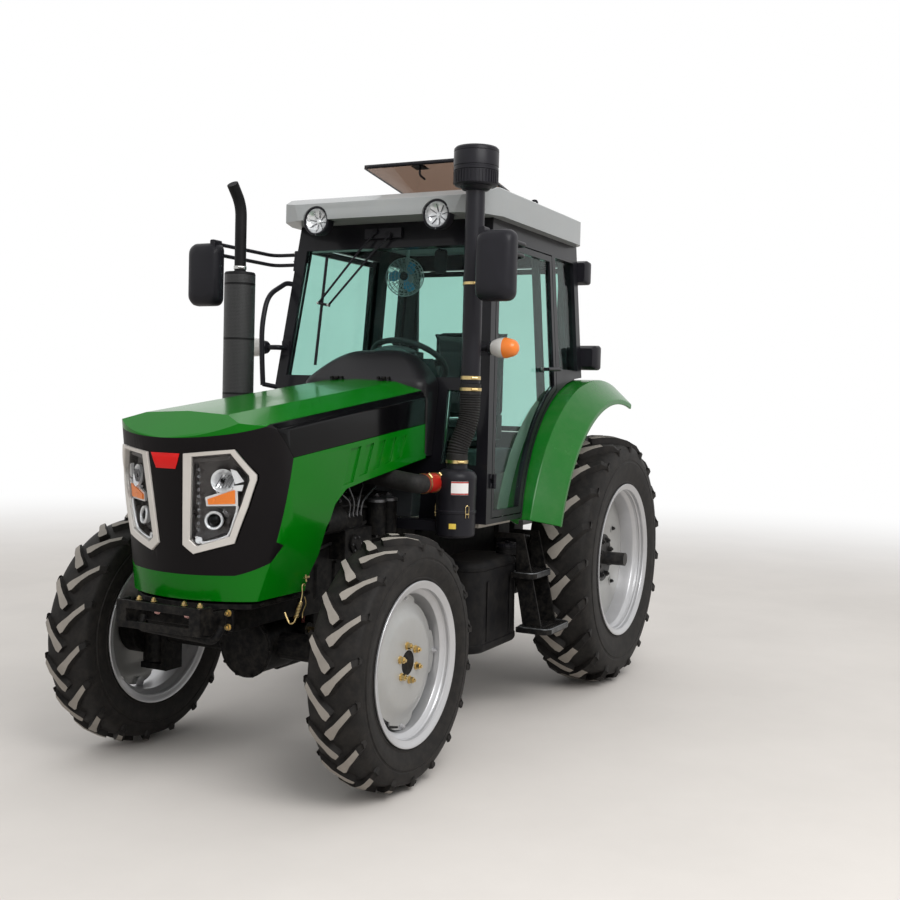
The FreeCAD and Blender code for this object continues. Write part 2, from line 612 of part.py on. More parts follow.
# Radiator with its fan cowl.
core = box("radiator_core", ("radiator_x", "radiator_x + radiator_thickness"),
           ("-radiator_width / 2", "radiator_width / 2"), ("radiator_low_z", "radiator_top_z"))
cowl_ring = rod("cowl_ring", "X", "radiator_width / 2 - 10", "radiator_x - 90", "90", ("0", FAN_Z))
cowl_hole = rod("cowl_hole", "X", "radiator_width / 2 - 18", "radiator_x - 91", "91", ("0", FAN_Z))
node("radiator", fuse("radiator", [core, cut("fan_cowl", cowl_ring, cowl_hole)]))

# Front support: two rails and a cross box that carry the radiator, the tray and the weight bracket.
bolster = box("bolster", ("bolster_rear_x", "bolster_front_x"), ("-bolster_width / 2", "bolster_width / 2"),
              ("bolster_low_z", "bolster_top_z"))
bolster_rear = prism("bolster_rear", "XZ_Plane", [
    ("bolster_rear_x", "bolster_low_z"), ("engine_rear_x + engine_length", "bolster_low_z - 60"),
    ("engine_rear_x + engine_length", "bolster_top_z + 200"),
    ("bolster_rear_x + 330", "bolster_top_z + 200"),
    ("bolster_rear_x + 380", "bolster_top_z")], "bolster_width")
engine_room = box("engine_room", ("engine_rear_x", "engine_rear_x + engine_length"),
                  ("-engine_width / 2", "engine_width / 2"), ("engine_low_z", "engine_top_z"))
tray = prism("tray", "XY_Plane", [
    ("bolster_front_x - 420", "-tray_width / 2"), ("tray_front_x - 110", "-tray_width / 2"),
    ("tray_front_x - 30", "-tray_width / 2 + 110"), ("tray_front_x", "0"),
    ("tray_front_x - 30", "tray_width / 2 - 110"), ("tray_front_x - 110", "tray_width / 2"),
    ("bolster_front_x - 420", "tray_width / 2")], "tray_top_z - bolster_top_z",
    z="(tray_top_z + bolster_top_z) / 2")
axle_post = box("axle_post", ("wheelbase - 90", "wheelbase + 90"), ("-70", "70"),
                ("front_tyre_radius + front_case_radius - 30", "bolster_low_z"))
support = fuse("support_solid", [bolster, bolster_rear, tray, axle_post])
axle_room = rod("axle_room", "X", "front_case_radius + seat_gap", "wheelbase - 140", "280",
                ("0", "front_tyre_radius"))
support_clear = cut("support_clear", support, engine_room)
node("front_support", cut("front_support", support_clear, axle_room))

# Weight bracket: front plate with its slot, two side plates and a mounting plate.
face = box("bracket_face", ("bracket_front_x - bracket_plate", "bracket_front_x"),
           ("-bracket_width / 2", "bracket_width / 2"), ("bracket_low_z", "bracket_top_z"))
slot = box("bracket_slot", ("bracket_front_x - bracket_plate - 1", "bracket_front_x + 1"),
           ("-slot_width / 2", "slot_width / 2"), ("slot_low_z", "slot_top_z"))
cheek = prism("bracket_cheek", "XZ_Plane", [
    ("bolster_front_x", "bracket_low_z"), ("bracket_front_x", "bracket_low_z"),
    ("bracket_front_x", "bracket_top_z"),
    ("bracket_front_x - 70", "bracket_top_z"), ("bracket_front_x - 84", "bolster_top_z"),
    ("bolster_front_x", "bolster_top_z")],
    "bracket_plate", y="(bracket_width - bracket_plate) / 2")
mounting = box("bracket_mounting", ("bolster_front_x", "bolster_front_x + bracket_plate"),
               ("-bracket_width / 2 - 30", "bracket_width / 2 + 30"), ("bracket_low_z", "bolster_top_z"))
node("weight_bracket", cut("weight_bracket", fuse("bracket_solid", [
    face, cheek, mirrored("bracket_cheek_other", cheek), mounting]), slot))

# Front axle: tube, differential case and a yoke with two ears at each end.
beam = rod("beam", "Y", "beam_radius", "0", "yoke_y", ("wheelbase", "front_tyre_radius"))
EAR_X = ("wheelbase - 52", "wheelbase + 52")
yoke = box("yoke", EAR_X, ("yoke_y - yoke_thickness", "yoke_y"),
           ("front_tyre_radius - knuckle_height / 2 - 5 - ear_thickness",
            "front_tyre_radius + knuckle_height / 2 + 5 + ear_thickness"))
ear_top = box("ear_top", EAR_X, ("yoke_y - yoke_thickness", "kingpin_y + 45"),
              ("front_tyre_radius + knuckle_height / 2 + 5",
               "front_tyre_radius + knuckle_height / 2 + 5 + ear_thickness"))
ear_low = box("ear_low", EAR_X, ("yoke_y - yoke_thickness", "kingpin_y + 45"),
              ("front_tyre_radius - knuckle_height / 2 - 5 - ear_thickness",
               "front_tyre_radius - knuckle_height / 2 - 5"))
pin_hole = rod("pin_hole", "Z", "kingpin_radius + running_gap", "front_tyre_radius - kingpin_reach - 20",
               "2 * kingpin_reach + 40", ("wheelbase", "kingpin_y"))
axle_half = cut("axle_half", fuse("axle_half_solid", [beam, yoke, ear_top, ear_low]), pin_hole)
front_case = rod("front_case", "X", "front_case_radius", "wheelbase - 120", "240",
                 ("0", "front_tyre_radius"))
front_shaft = rod("front_shaft", "X", "27", "1290 + seat_gap", "wheelbase - 1400",
                  ("0", "front_tyre_radius - 112"))
node("front_axle", fuse("front_axle", [axle_half, mirrored("axle_other", axle_half), front_case,
                                       front_shaft]))

# Knuckles: housing on its kingpins, final drive drum, spindle and steering arm.
housing = rod("knuckle_housing", "Z", "knuckle_radius", "front_tyre_radius - knuckle_height / 2",
              "knuckle_height",
              ("wheelbase", "kingpin_y"))
pins = rod("kingpins", "Z", "kingpin_radius", "front_tyre_radius - kingpin_reach", "2 * kingpin_reach",
           ("wheelbase", "kingpin_y"))
drum = rod("drum", "Y", "drum_radius", "drum_inner_y", "drum_outer_y - drum_inner_y",
           ("wheelbase", "front_tyre_radius"))
spindle = rod("spindle", "Y", "front_hub_radius - running_gap", "kingpin_y", "spindle_end_y - kingpin_y",
              ("wheelbase", "front_tyre_radius"))
steering_arm = box("steering_arm", ("wheelbase - 190", "wheelbase"), ("kingpin_y - 20", "kingpin_y + 20"),
                   ("front_tyre_radius - 60", "front_tyre_radius - 30"))
pair("knuckle", fuse("knuckle", [housing, pins, drum, spindle, steering_arm]))


# Hood: one form worked out at two insets, the outer and the inner, and split where the panels meet.
def swept(points, depth):
    """An outline in the XZ plane, carried across the machine by depth to each side."""
    wire = Part.makePolygon([V(x, -depth, z) for x, z in points + points[:1]])
    return Part.Face(wire).extrude(V(0, 2 * depth, 0))


REAR_SPARE = 200


def hood_form(inset):
    """The hood's whole form, with every face moved inwards by the inset."""
    half = cell("hood_half_width") - inset
    rear = cell("hood_rear_x") - REAR_SPARE
    front = cell("nose_front_x") - inset
    big = cell("nose_radius") - inset
    small = cell("nose_corner_radius") - inset
    centre = V(front - big, 0, 0)
    side = half - small
    reach = math.sqrt((big - small) ** 2 - side ** 2)
    corner = V(centre.x + reach, side, 0)
    turn = math.atan2(side, reach)
    meet = V(centre.x + big * math.cos(turn), big * math.sin(turn), 0)
    middle = (math.pi / 2 + turn) / 2
    bend = V(corner.x + small * math.cos(middle), corner.y + small * math.sin(middle), 0)

    def flip(p):
        return V(p.x, -p.y, 0)

    left = V(corner.x, half, 0)
    edges = [
        Part.LineSegment(V(rear, half, 0), left).toShape(),
        Part.Arc(left, bend, meet).toShape(),
        Part.Arc(meet, V(front, 0, 0), flip(meet)).toShape(),
        Part.Arc(flip(meet), flip(bend), flip(left)).toShape(),
        Part.LineSegment(flip(left), V(rear, -half, 0)).toShape(),
        Part.LineSegment(V(rear, -half, 0), V(rear, half, 0)).toShape(),
    ]
    plan = Part.Face(Part.Wire(edges))
    tall = cell("nose_top_z") - cell("nose_low_z")
    lean = cell("nose_rake") / tall
    up = 1700.0
    plan.translate(V((up - cell("nose_top_z")) * lean, 0, up))
    drop = up - cell("nose_low_z") + (60 if inset else 0)
    column = plan.extrude(V(-drop * lean, 0, -drop))

    rise = (cell("shoulder_rear_z") - cell("shoulder_front_z")) / (cell("shoulder_front_x") - cell("hood_rear_x"))
    bevel = cell("shoulder_bevel")
    crown = cell("crown_half_width")
    high = cell("crown_height") - inset
    start = rear - 40
    base = cell("shoulder_rear_z") + (cell("hood_rear_x") - start) * rise
    left_side = [
        V(start, half, cell("nose_low_z") - 500),
        V(start, half, base - bevel - inset),
        V(start, half - bevel, base - inset),
        V(start, crown, base + high),
        V(start, 0, base + high + cell("crown_peak")),
    ]
    ring = left_side + [V(p.x, -p.y, p.z) for p in reversed(left_side[:-1])]
    section = Part.Face(Part.makePolygon(ring + ring[:1]))
    run = cell("nose_front_x") + 150 - start
    body = section.extrude(V(run, 0, -run * rise))

    form = column.common(body)
    lip_z = cell("shoulder_front_z") + (cell("shoulder_front_x") - cell("lip_x")) * rise
    lip_z += cell("crown_height") + cell("crown_peak") - inset
    top = cell("nose_top_z") - inset
    fall = (lip_z - top) / (cell("nose_front_x") - cell("lip_x"))
    ahead = 400
    lip = swept([(cell("lip_x") - ahead, lip_z + ahead * fall),
                 (cell("lip_x") + ahead, lip_z - ahead * fall),
                 (cell("lip_x") + ahead, lip_z + ahead)], 2 * cell("hood_half_width"))
    form = form.cut(lip)
    tuck = cell("tuck_depth")
    deep = cell("tuck_z") - cell("nose_low_z")
    wedge = Part.makePolygon([
        V(0, half, cell("tuck_z")), V(0, half - 1.6 * tuck, cell("tuck_z") - 1.6 * deep),
        V(0, half + tuck, cell("tuck_z") - 1.6 * deep), V(0, half + tuck, cell("tuck_z")),
        V(0, half, cell("tuck_z"))])
    wedge = Part.Face(wedge).extrude(V(cell("nose_front_x") + ahead, 0, 0))
    form = form.cut(wedge).cut(wedge.mirror(V(0, 0, 0), AXES["Y"]))
    return form


def hood_regions():
    """The spaces that part the hood into its panels, each carried right across."""
    rear = cell("hood_rear_x") - 60
    far = cell("nose_front_x") + 100
    wide = 2 * cell("hood_half_width")
    rise = (cell("shoulder_rear_z") - cell("shoulder_front_z")) / (cell("shoulder_front_x") - cell("hood_rear_x"))
    above_rear = cell("shoulder_rear_z") + 60 * rise
    corner = (cell("shoulder_front_x"), cell("shoulder_front_z"))
    edge = (far, cell("nose_top_z") - (far - cell("nose_front_x")) * 0.27)
    roof = 2000
    top = swept([(rear, above_rear), corner, (cell("nose_front_x"), cell("nose_top_z")), edge,
                 (far, roof), (rear, roof)], wide)
    low = cell("nose_low_z") - 100
    stripe_low = (cell("stripe_front_x"), cell("stripe_front_z"))
    slope = (cell("stripe_rear_z") - stripe_low[1]) / (stripe_low[0] - cell("hood_rear_x"))
    stripe_rear = (rear, cell("stripe_rear_z") + 60 * slope)
    stripe = swept([stripe_rear, stripe_low, corner, (rear, above_rear)], wide)
    seam = (cell("seam_low_x"), cell("seam_low_z"))
    band = [(seam[0] - 46, seam[1] - 16), (seam[0] + 14, cell("band_front_z") + 60),
            (seam[0] + 110, cell("band_front_z") + 12), (far, cell("band_front_z"))]
    nose = swept([corner, stripe_low, seam] + band + [edge, (cell("nose_front_x"), cell("nose_top_z"))],
                 wide)
    foot = swept([(seam[0] + 14, low), (seam[0] + 14, cell("band_front_z") + 60)] + band[2:] + [(far, low)],
                 wide)
    arch = (cell("arch_x"), cell("arch_z"))
    arch_low = (cell("arch_low_x"), cell("arch_low_z"))
    fall = (cell("side_rear_z") - arch[1]) / (arch[0] - cell("hood_rear_x"))
    side = swept([stripe_rear, stripe_low, seam, band[0], band[1], (band[1][0], low),
                  (arch_low[0] + 45, low),
                  (arch_low[0] + 45, cell("nose_low_z") + 52), arch_low,
                  (arch_low[0] - 14, arch_low[1] + 110),
                  (arch_low[0] - 65, arch_low[1] + 200), (arch_low[0] - 150, arch_low[1] + 258), arch,
                  (rear, cell("side_rear_z") + 60 * fall)], wide)
    return {"hood_top": top, "hood_stripes": stripe, "nose_panel": nose, "nose_band": foot,
            "hood_sides": side}


BEHIND = cell("hood_rear_x")
HIGH = cell("roof_low_z")
rear_spare = swept([(BEHIND, 0), (BEHIND, HIGH), (0, HIGH), (0, 0)], cell("hood_half_width"))
hood_shell = hood_form(0).cut(hood_form(cell("hood_wall"))).cut(rear_spare)
regions = hood_regions()
hood_panels = {label: hood_shell.common(region) for label, region in regions.items()}


# Louvers: slanted recesses in each hood side, shorter towards the rear.
# Columns: lower front corner, as a share of the hood's length from its rear, and its Z; width, height,
# slant of the top towards the rear.
LOUVERS = [
    (0.515, 1192, 80, 150, 60),
    (0.426, 1224, 66, 130, 56),
    (0.344, 1246, 54, 120, 52),
    (0.270, 1268, 50, 108, 48),
    (0.196, 1286, 44, 98, 46),
]


def louvered(panel):
    """The hood sides with the recesses cut into their outer faces."""
    for share, z, wide, tall, slant in LOUVERS[:int(cell("louver_count"))]:
        x = cell("hood_rear_x") + share * (cell("nose_front_x") - cell("hood_rear_x"))
        depth = cell("louver_depth")
        for side in (1, -1):
            y = side * (cell("hood_half_width") - depth)
            ring = [V(x, y, z), V(x - wide, y, z + 12), V(x - wide - slant, y, z + tall + 10),
                    V(x - slant, y, z + tall)]
            recess = Part.Face(Part.makePolygon(ring + ring[:1])).extrude(V(0, side * 2 * depth, 0))
            panel = panel.cut(recess)
    return panel


hood_panels["hood_sides"] = louvered(hood_panels["hood_sides"])

# The hood's two hinges stand on its rear edge, above the cowl.
STAND = cell("hinge_stand")
SEATED = (-STAND - 0.5, -STAND + 7)
HOOD_HINGE = V(cell("hood_rear_x") - 3, 130, cell("shoulder_rear_z") + cell("crown_height") + 1 + STAND)
hood_still, hood_swing = hinge(HOOD_HINGE, AXES["Z"], AXES["Y"], SEATED, SEATED)
hood_panels["hood_top"] = hood_panels["hood_top"].fuse([hood_swing,
                                                        hood_swing.mirror(V(0, 0, 0), AXES["Y"])])

# Headlamps: the frame's outline on the nose as seen from ahead, with the nose's own curve as its back.
# Columns: Y and Z of each corner of the left lamp.
LAMP_OUTLINE = [(85, 1332), (268, 1353), (323, 1258), (322, 1239), (296, 1136), (251, 999), (100, 953),
                (57, 986)]


def headlamps():
    """Both lamps: the nose's form a little proud, and sunk into it, inside the lamp's outline."""
    proud = hood_form(-cell("lamp_relief")).cut(hood_form(cell("hood_wall") / 2))
    lamps = []
    for side in (1, -1):
        ring = [V(cell("shoulder_front_x") - 150, side * y, z) for y, z in LAMP_OUTLINE]
        window = Part.Face(Part.makePolygon(ring + ring[:1])).extrude(V(400, 0, 0))
        lamps.append(window)
    both_windows = lamps[0].fuse(lamps[1])
    return proud.common(both_windows), both_windows


lamp_shape, lamp_windows = headlamps()
lamp_bed = hood_form(-1).cut(hood_form(cell("hood_wall") / 2)).common(lamp_windows)
hood_panels["nose_panel"] = hood_panels["nose_panel"].cut(lamp_bed)
for label, shape in hood_panels.items():
    node(label, coded(label, shape))
node("headlamps", coded("headlamps", lamp_shape))

# Cab sides: one wall each, leaning inwards, with the door's and the quarter pane's openings.
# An arc about the rear axle is given by its radius and two angles.
ARC_STEPS = 10


def arc_points(radius, first, last):
    """Corners along an arc about the rear axle, between two angles in degrees."""
    steps = [first + (last - first) * i / ARC_STEPS for i in range(ARC_STEPS + 1)]
    return [("(%s) * cos(%.3f)" % (radius, a), "rear_tyre_radius + (%s) * sin(%.3f)" % (radius, a))
            for a in steps]


def post_line(offset, height):
    """X of the front post's front edge at a height, moved back by an offset."""
    return "cab_front_x - (%s) * tan(cab_front_lean) - (%s)" % (height, offset)


def sloped(points, lean):
    """Corners whose heights are measured along a wall that leans."""
    return [(along, "(%s) / cos(%s)" % (z, lean)) for along, z in points]


def rise_angle(radius, height):
    """Angle in degrees at which an arc about the rear axle reaches a height."""
    return math.degrees(math.asin((height - cell("rear_tyre_radius")) / radius))


def run_angle(radius, x):
    """Angle in degrees at which an arc about the rear axle stands over X."""
    return math.degrees(math.acos(x / radius))


WALL_R = cell("fender_radius") + 10
WALL_ARC = arc_points("fender_radius + 10", rise_angle(WALL_R, cell("cab_low_z") - 10),
                      run_angle(WALL_R, cell("cab_rear_x") - 10))
wall = prism("side_wall", "XZ_Plane", sloped([
    (post_line("0", "cab_low_z - 10"), "cab_low_z - 10")] + WALL_ARC + [
    ("cab_rear_x - 10", "cab_top_z + 10"), (post_line("0", "cab_top_z + 10"), "cab_top_z + 10")],
    "cab_side_lean"),
    "frame_thickness")


def door_outline(gap):
    """The door's outline, grown by a gap for its opening."""
    radius = cell("door_arch_radius") - gap
    low = cell("door_low_z") - gap
    arc = arc_points("door_arch_radius - %.1f" % gap, rise_angle(radius, low),
                     run_angle(radius, cell("door_rear_x") - gap))
    front = "post_width - %.1f" % gap
    return sloped([(post_line(front, "door_low_z"), "door_low_z - %.1f" % gap)] + arc + [
        ("door_rear_x - %.1f" % gap, "door_top_z + %.1f" % gap),
        (post_line(front, "door_top_z"), "door_top_z + %.1f" % gap)], "cab_side_lean")


GAP = cell("door_gap")
door_hole = prism("door_hole", "XZ_Plane", door_outline(GAP), "2 * frame_thickness")


def quarter_outline(gap):
    """The rear quarter pane's outline, shrunk by a gap."""
    rear, front = "cab_rear_x + 60 + %s" % gap, "door_rear_x - 50 - %s" % gap
    low, high = "quarter_low_z + %s" % gap, "door_top_z - %s" % gap
    return sloped([(rear, low), (front, low), (front, high), (rear, high)], "cab_side_lean")


quarter_hole = prism("quarter_hole", "XZ_Plane", quarter_outline("0"), "2 * frame_thickness")
side_frame = cut("side_frame", cut("side_frame_door", wall, door_hole), quarter_hole)


def lean_in(obj, depth):
    """Stand a wall piece in the left cab side, its middle a depth inside the outer face."""
    obj.Placement = FreeCAD.Placement(V(0, 0, 0), FreeCAD.Rotation(AXES["X"], 1))
    tie(obj, y="cab_side_y - (%s)" % depth)
    obj.setExpression("Placement.Rotation.Angle", bound("cab_side_lean"))
    return obj


lean_in(side_frame, "frame_thickness / 2")

# Cab front: a leaning frame with the windscreen's opening and a lower pane each side of the hood.
HALF_AT = "cab_side_y - (%s) * tan(cab_side_lean)"


def half_at(height, inside):
    """Half width of the cab at a height, less an amount."""
    return (HALF_AT % height) + " - (%s)" % inside


def across(points):
    """A left-hand chain of corners closed by its mirror image."""
    return points + [("-(%s)" % y, z) for y, z in reversed(points)]


def screen_outline(gap):
    """The windscreen's outline, shrunk by a gap."""
    return sloped(across([
        (half_at("screen_low_z", "post_width + %s" % gap), "screen_low_z + %s" % gap),
        (half_at("screen_top_z", "post_width + %s" % gap), "screen_top_z - %s" % gap)]), "cab_front_lean")


def low_pane_outline(gap):
    """The outline of the left pane beside the hood, shrunk by a gap."""
    inner = "hood_half_width + 22 + %s" % gap
    low, high, side = "low_pane_low_z", "low_pane_top_z", "post_width + %s" % gap
    return sloped([
        (inner, "%s + %s" % (low, gap)), (half_at(low, side), "%s + %s" % (low, gap)),
        (half_at(high, side), "%s - %s" % (high, gap)), (inner, "%s - %s" % (high, gap))], "cab_front_lean")


front_wall = prism("front_wall", "YZ_Plane", sloped(across([
    (half_at("cab_low_z - 10", "2"), "cab_low_z - 10"),
    (half_at("cab_top_z + 10", "2"), "cab_top_z + 10")]),
    "cab_front_lean"), "frame_thickness")
screen_hole = prism("screen_hole", "YZ_Plane", screen_outline("0"), "2 * frame_thickness")
low_hole = prism("low_hole", "YZ_Plane", low_pane_outline("0"), "2 * frame_thickness")
leg_room = box("leg_room", ("-frame_thickness", "frame_thickness"), ("-300", "300"),
               ("cab_low_z - 30", "leg_room_z"))
front_frame = cut("front_frame", front_wall, fuse("front_holes", [
    screen_hole, low_hole, mirrored("low_hole_other", low_hole), leg_room]))


def lean_back(obj, depth):
    """Stand a wall piece in the cab's front, its middle a depth behind the front face."""
    obj.Placement = FreeCAD.Placement(V(0, 0, 0), FreeCAD.Rotation(AXES["Y"], -1))
    tie(obj, x="cab_front_x - (%s)" % depth)
    obj.setExpression("Placement.Rotation.Angle", bound("-cab_front_lean"))
    return obj


lean_back(front_frame, "frame_thickness / 2")

# Cab rear: an upright frame with the rear window's opening.
OVER_FENDER = "rear_tyre_radius + fender_radius + 8"
rear_wall = prism("rear_wall", "YZ_Plane", across([
    ("well_y", "cab_low_z"), ("well_y", "2 * rear_tyre_radius + 22"),
    ("fender_inner_y - seat_gap", "2 * rear_tyre_radius + 22"), ("fender_inner_y - seat_gap", OVER_FENDER),
    (half_at(OVER_FENDER, "2"), OVER_FENDER), (half_at("cab_top_z", "2"), "cab_top_z")]), "frame_thickness",
    x="cab_rear_x + frame_thickness / 2")
REAR_HOLE = across([("window_half_width", "window_low_z"),
                    (half_at("window_top_z", "window_side"), "window_top_z")])
rear_hole = prism("rear_hole", "YZ_Plane", REAR_HOLE, "3 * frame_thickness",
                  x="cab_rear_x + frame_thickness / 2")
rear_frame = cut("rear_frame", rear_wall, rear_hole)
side_other = mirrored("side_frame_other", side_frame)
cab_walls = fuse("cab_walls", [side_frame, side_other, front_frame, rear_frame])
cab_room = box("cab_room", ("cab_rear_x", "cab_front_x"), ("-cab_side_y", "cab_side_y"),
               ("cab_low_z", "cab_top_z"))
cab_shell = common("cab_shell", cab_walls, cab_room)

# Panes: windscreen, the two lower panes and the rear quarter panes, each seated in its opening.
screen = lean_back(prism("screen_pane", "YZ_Plane", screen_outline("seat_gap"), "glass_thickness"),
                   "frame_thickness / 2")
low_glass = prism("low_glass", "YZ_Plane", low_pane_outline("seat_gap"), "glass_thickness")
lean_back(low_glass, "frame_thickness / 2")
quarter_glass = prism("quarter_pane", "XZ_Plane", quarter_outline("seat_gap"), "glass_thickness")
lean_in(quarter_glass, "frame_thickness / 2")
node("fixed_panes", fuse("fixed_panes", [
    screen, low_glass, quarter_glass, mirrored("low_glass_other", low_glass),
    mirrored("quarter_other", quarter_glass)]))

# Doors: a frame of one width all round and its pane.
door_plate = prism("door_plate", "XZ_Plane", door_outline(0), "door_thickness")
rail = cell("door_frame_width")
pane_hole = prism("pane_hole", "XZ_Plane", door_outline(-rail), "2 * door_thickness")
door_ring = lean_in(cut("door_ring", door_plate, pane_hole), "door_thickness / 2")

# Door hinges: two on each front post, whose line leans with the post.
LEAN = math.tan(math.radians(cell("cab_side_lean")))
RAKE = math.tan(math.radians(cell("cab_front_lean")))
POST_LINE = V(-RAKE, -LEAN, 1).normalize()
SIDE_OUT = V(0, 1, LEAN).normalize()
door_still, door_swing = [], []
for height in (cell("hinge_low_z"), cell("hinge_top_z")):
    foot = V(cell("cab_front_x") - height * RAKE - cell("post_width") + GAP / 2,
             cell("cab_side_y") - height * LEAN, height)
    parts_of_hinge = hinge(foot + SIDE_OUT * STAND, SIDE_OUT, POST_LINE, SEATED, SEATED)
    door_still.append(coded("door_hinge_fixed_%d" % height, parts_of_hinge[0]))
    door_swing.append(coded("door_hinge_moving_%d" % height, parts_of_hinge[1]))
pair("door_frame", fuse("door_frame", [door_ring] + door_swing))
door_pane = prism("door_pane", "XZ_Plane", door_outline(-rail - cell("seat_gap")), "glass_thickness")
pair("door_pane", lean_in(door_pane, "door_thickness / 2"))

# Rear window: a frame and its pane, in the rear opening.


def window_outline(gap):
    """The rear window's outline, shrunk by a gap."""
    return across([("window_half_width - (%s)" % gap, "window_low_z + %s" % gap),
                   (half_at("window_top_z", "window_side + %s" % gap), "window_top_z - (%s)" % gap)])


WINDOW = window_outline("door_gap")
WINDOW_PANE = window_outline("door_gap + window_frame_width")
window_plate = prism("window_plate", "YZ_Plane", WINDOW, "24", x="cab_rear_x + 12")
window_hole = prism("window_hole", "YZ_Plane", WINDOW_PANE, "60", x="cab_rear_x + 12")
WINDOW_HINGE = V(cell("cab_rear_x") - STAND, 345, cell("window_top_z") - GAP / 2)
window_parts = hinge(WINDOW_HINGE, V(-1, 0, 0), V(0, -1, 0), SEATED, SEATED)
window_still, window_swing = [coded("window_hinge_%d" % i, shape) for i, shape in enumerate(window_parts)]
node("rear_window_frame", fuse("rear_window_frame", [
    cut("window_ring", window_plate, window_hole), window_swing,
    mirrored("window_swing_other", window_swing)]))
window_glass = prism("window_glass", "YZ_Plane", WINDOW_PANE, "glass_thickness", x="cab_rear_x + 12")
node("rear_window_pane", window_glass)
hinges_left = door_still + [window_still]
node("cab_frame", fuse("cab_frame", [cab_shell] + hinges_left + [
    mirrored("hinge_other_%d" % i, piece) for i, piece in enumerate(hinges_left)]))


# Roof: a side profile and a front profile carried through each other, with rounded corners in plan.
# Columns: X and Z of the top line, from the front edge to the rear.
ROOF_TOP = [(1362, 2452), (1350, 2512), (1190, 2566), (1000, 2602), (620, 2646), (330, 2652), (130, 2612),
            (60, 2548), (44, 2492)]


def roof_form():
    """The roof's solid before its openings are cut."""
    front, rear = cell("roof_front_x"), cell("roof_rear_x")
    low, half = cell("roof_low_z"), cell("roof_half_width")
    stretch = (front - rear) / (ROOF_TOP[0][0] - ROOF_TOP[-1][0])
    top = [(rear + (x - ROOF_TOP[-1][0]) * stretch, z) for x, z in ROOF_TOP]
    side = swept([(rear, low), (front, low)] + top, half)
    crest = max(z for x, z in top)
    fall = [(half, crest - 96), (0.86 * half, crest - 56), (0.6 * half, crest - 30), (0.5 * half, crest)]
    ring = [(half, low - 10)] + fall + [(-y, z) for y, z in reversed(fall)] + [(-half, low - 10)]
    ring = [V(rear - 10, y, z) for y, z in ring]
    across_form = Part.Face(Part.makePolygon(ring + ring[:1])).extrude(V(front - rear + 20, 0, 0))
    form = side.common(across_form)
    back, side_cut = cell("roof_chamfer_x"), cell("roof_chamfer_y")
    plan = [V(rear, -half, 0), V(rear, half, 0), V(front - back, half, 0),
            V(front - 0.25 * back, half - 0.5 * side_cut, 0),
            V(front, half - side_cut - 40, 0)]
    plan += [V(p.x, -p.y, 0) for p in reversed(plan[2:])]
    block = Part.Face(Part.makePolygon(plan + plan[:1])).extrude(V(0, 0, 600))
    block.translate(V(0, 0, low - 100))
    upright = [e for e in block.Edges if abs(e.Vertexes[0].X - rear) < 1 and abs(e.Vertexes[1].X - rear) < 1
               and abs(e.Vertexes[0].Y - e.Vertexes[1].Y) < 1]
    return form.common(block.makeFillet(cell("roof_corner"), upright))


def roof_shape():
    """The roof with the hatch's opening and the lamps' seats."""
    form = roof_form()
    hinge = cell("hatch_hinge_x")
    inner = cell("hatch_half_width") - 40
    hole = Part.makeBox(cell("hatch_length") - 70, 2 * inner, 400,
                        V(hinge + 35, -inner, cell("roof_low_z") - 50))
    form = form.cut(hole)
    for side in (1, -1):
        seat = Part.makeCylinder(cell("work_lamp_radius") + cell("seat_gap"), 160,
                                 V(cell("roof_front_x") - 100, side * cell("work_lamp_y"),
                                   cell("work_lamp_z")), AXES["X"])
        form = form.cut(seat)
    return form


# The hatch's two hinges stand behind its rear edge.
HATCH_HINGE = V(cell("hatch_hinge_x") - 14, 200, cell("hatch_hinge_z") - 4)
HATCH_LEAVES = ((0, 8), (-26, -4))
hatch_still, hatch_swing = hinge(HATCH_HINGE, AXES["Z"], AXES["Y"], *HATCH_LEAVES)
roof_hinge = coded("roof_hinge", hatch_still)
node("roof", fuse("roof", [coded("roof_body", roof_shape()), roof_hinge,
                           mirrored("roof_hinge_other", roof_hinge)]))
lamp = rod("work_lamp", "X", "work_lamp_radius", "roof_front_x - 100", "92", ("work_lamp_y", "work_lamp_z"))

# Hatch: a flat panel that stands open on its rear hinge.
hatch_panel = box("hatch_panel", ("0", "hatch_length"), ("-hatch_half_width", "hatch_half_width"),
                  ("0", "hatch_thickness"))
hatch_panel.Placement = FreeCAD.Placement(V(0, 0, 0), FreeCAD.Rotation(AXES["Y"], -1))
tie(hatch_panel, x="hatch_hinge_x", y="-hatch_half_width", z="hatch_hinge_z")
hatch_panel.setExpression("Placement.Rotation.Angle", bound("-hatch_open"))
hatch_leaf = coded("hatch_leaf", hatch_swing)
node("roof_hatch", fuse("roof_hatch", [hatch_panel, hatch_leaf, mirrored("hatch_leaf_other", hatch_leaf)]))


# Fenders: a crown about the rear axle whose section falls towards its outer edge.
def fender_shape():
    """The left fender: its section turned about the axle, with the cab's inner wall below it."""
    r = cell("fender_radius")
    inner, outer = cell("fender_inner_y"), cell("fender_outer_y")
    flat, fall, wall_ = cell("fender_flat"), cell("fender_fall"), cell("fender_wall")
    rim_drop = 34
    top = [(inner, r), (inner + flat, r), (outer - 8, r - fall), (outer, r - fall - 8),
           (outer, r - fall - rim_drop)]
    under = [(outer - wall_, r - fall - rim_drop), (outer - wall_, r - fall - 14),
             (inner + flat - 6, r - wall_), (inner + wall_, r - wall_), (inner + wall_, r - 150),
             (inner, r - 150)]
    centre = V(0, 0, cell("rear_tyre_radius"))
    ring = [V(d, y, cell("rear_tyre_radius")) for y, d in top + under]
    section = Part.Face(Part.makePolygon(ring + ring[:1]))
    section.rotate(centre, AXES["Y"], -cell("fender_low_angle"))
    return section.revolve(centre, V(0, -1, 0), cell("fender_rear_angle") - cell("fender_low_angle"))


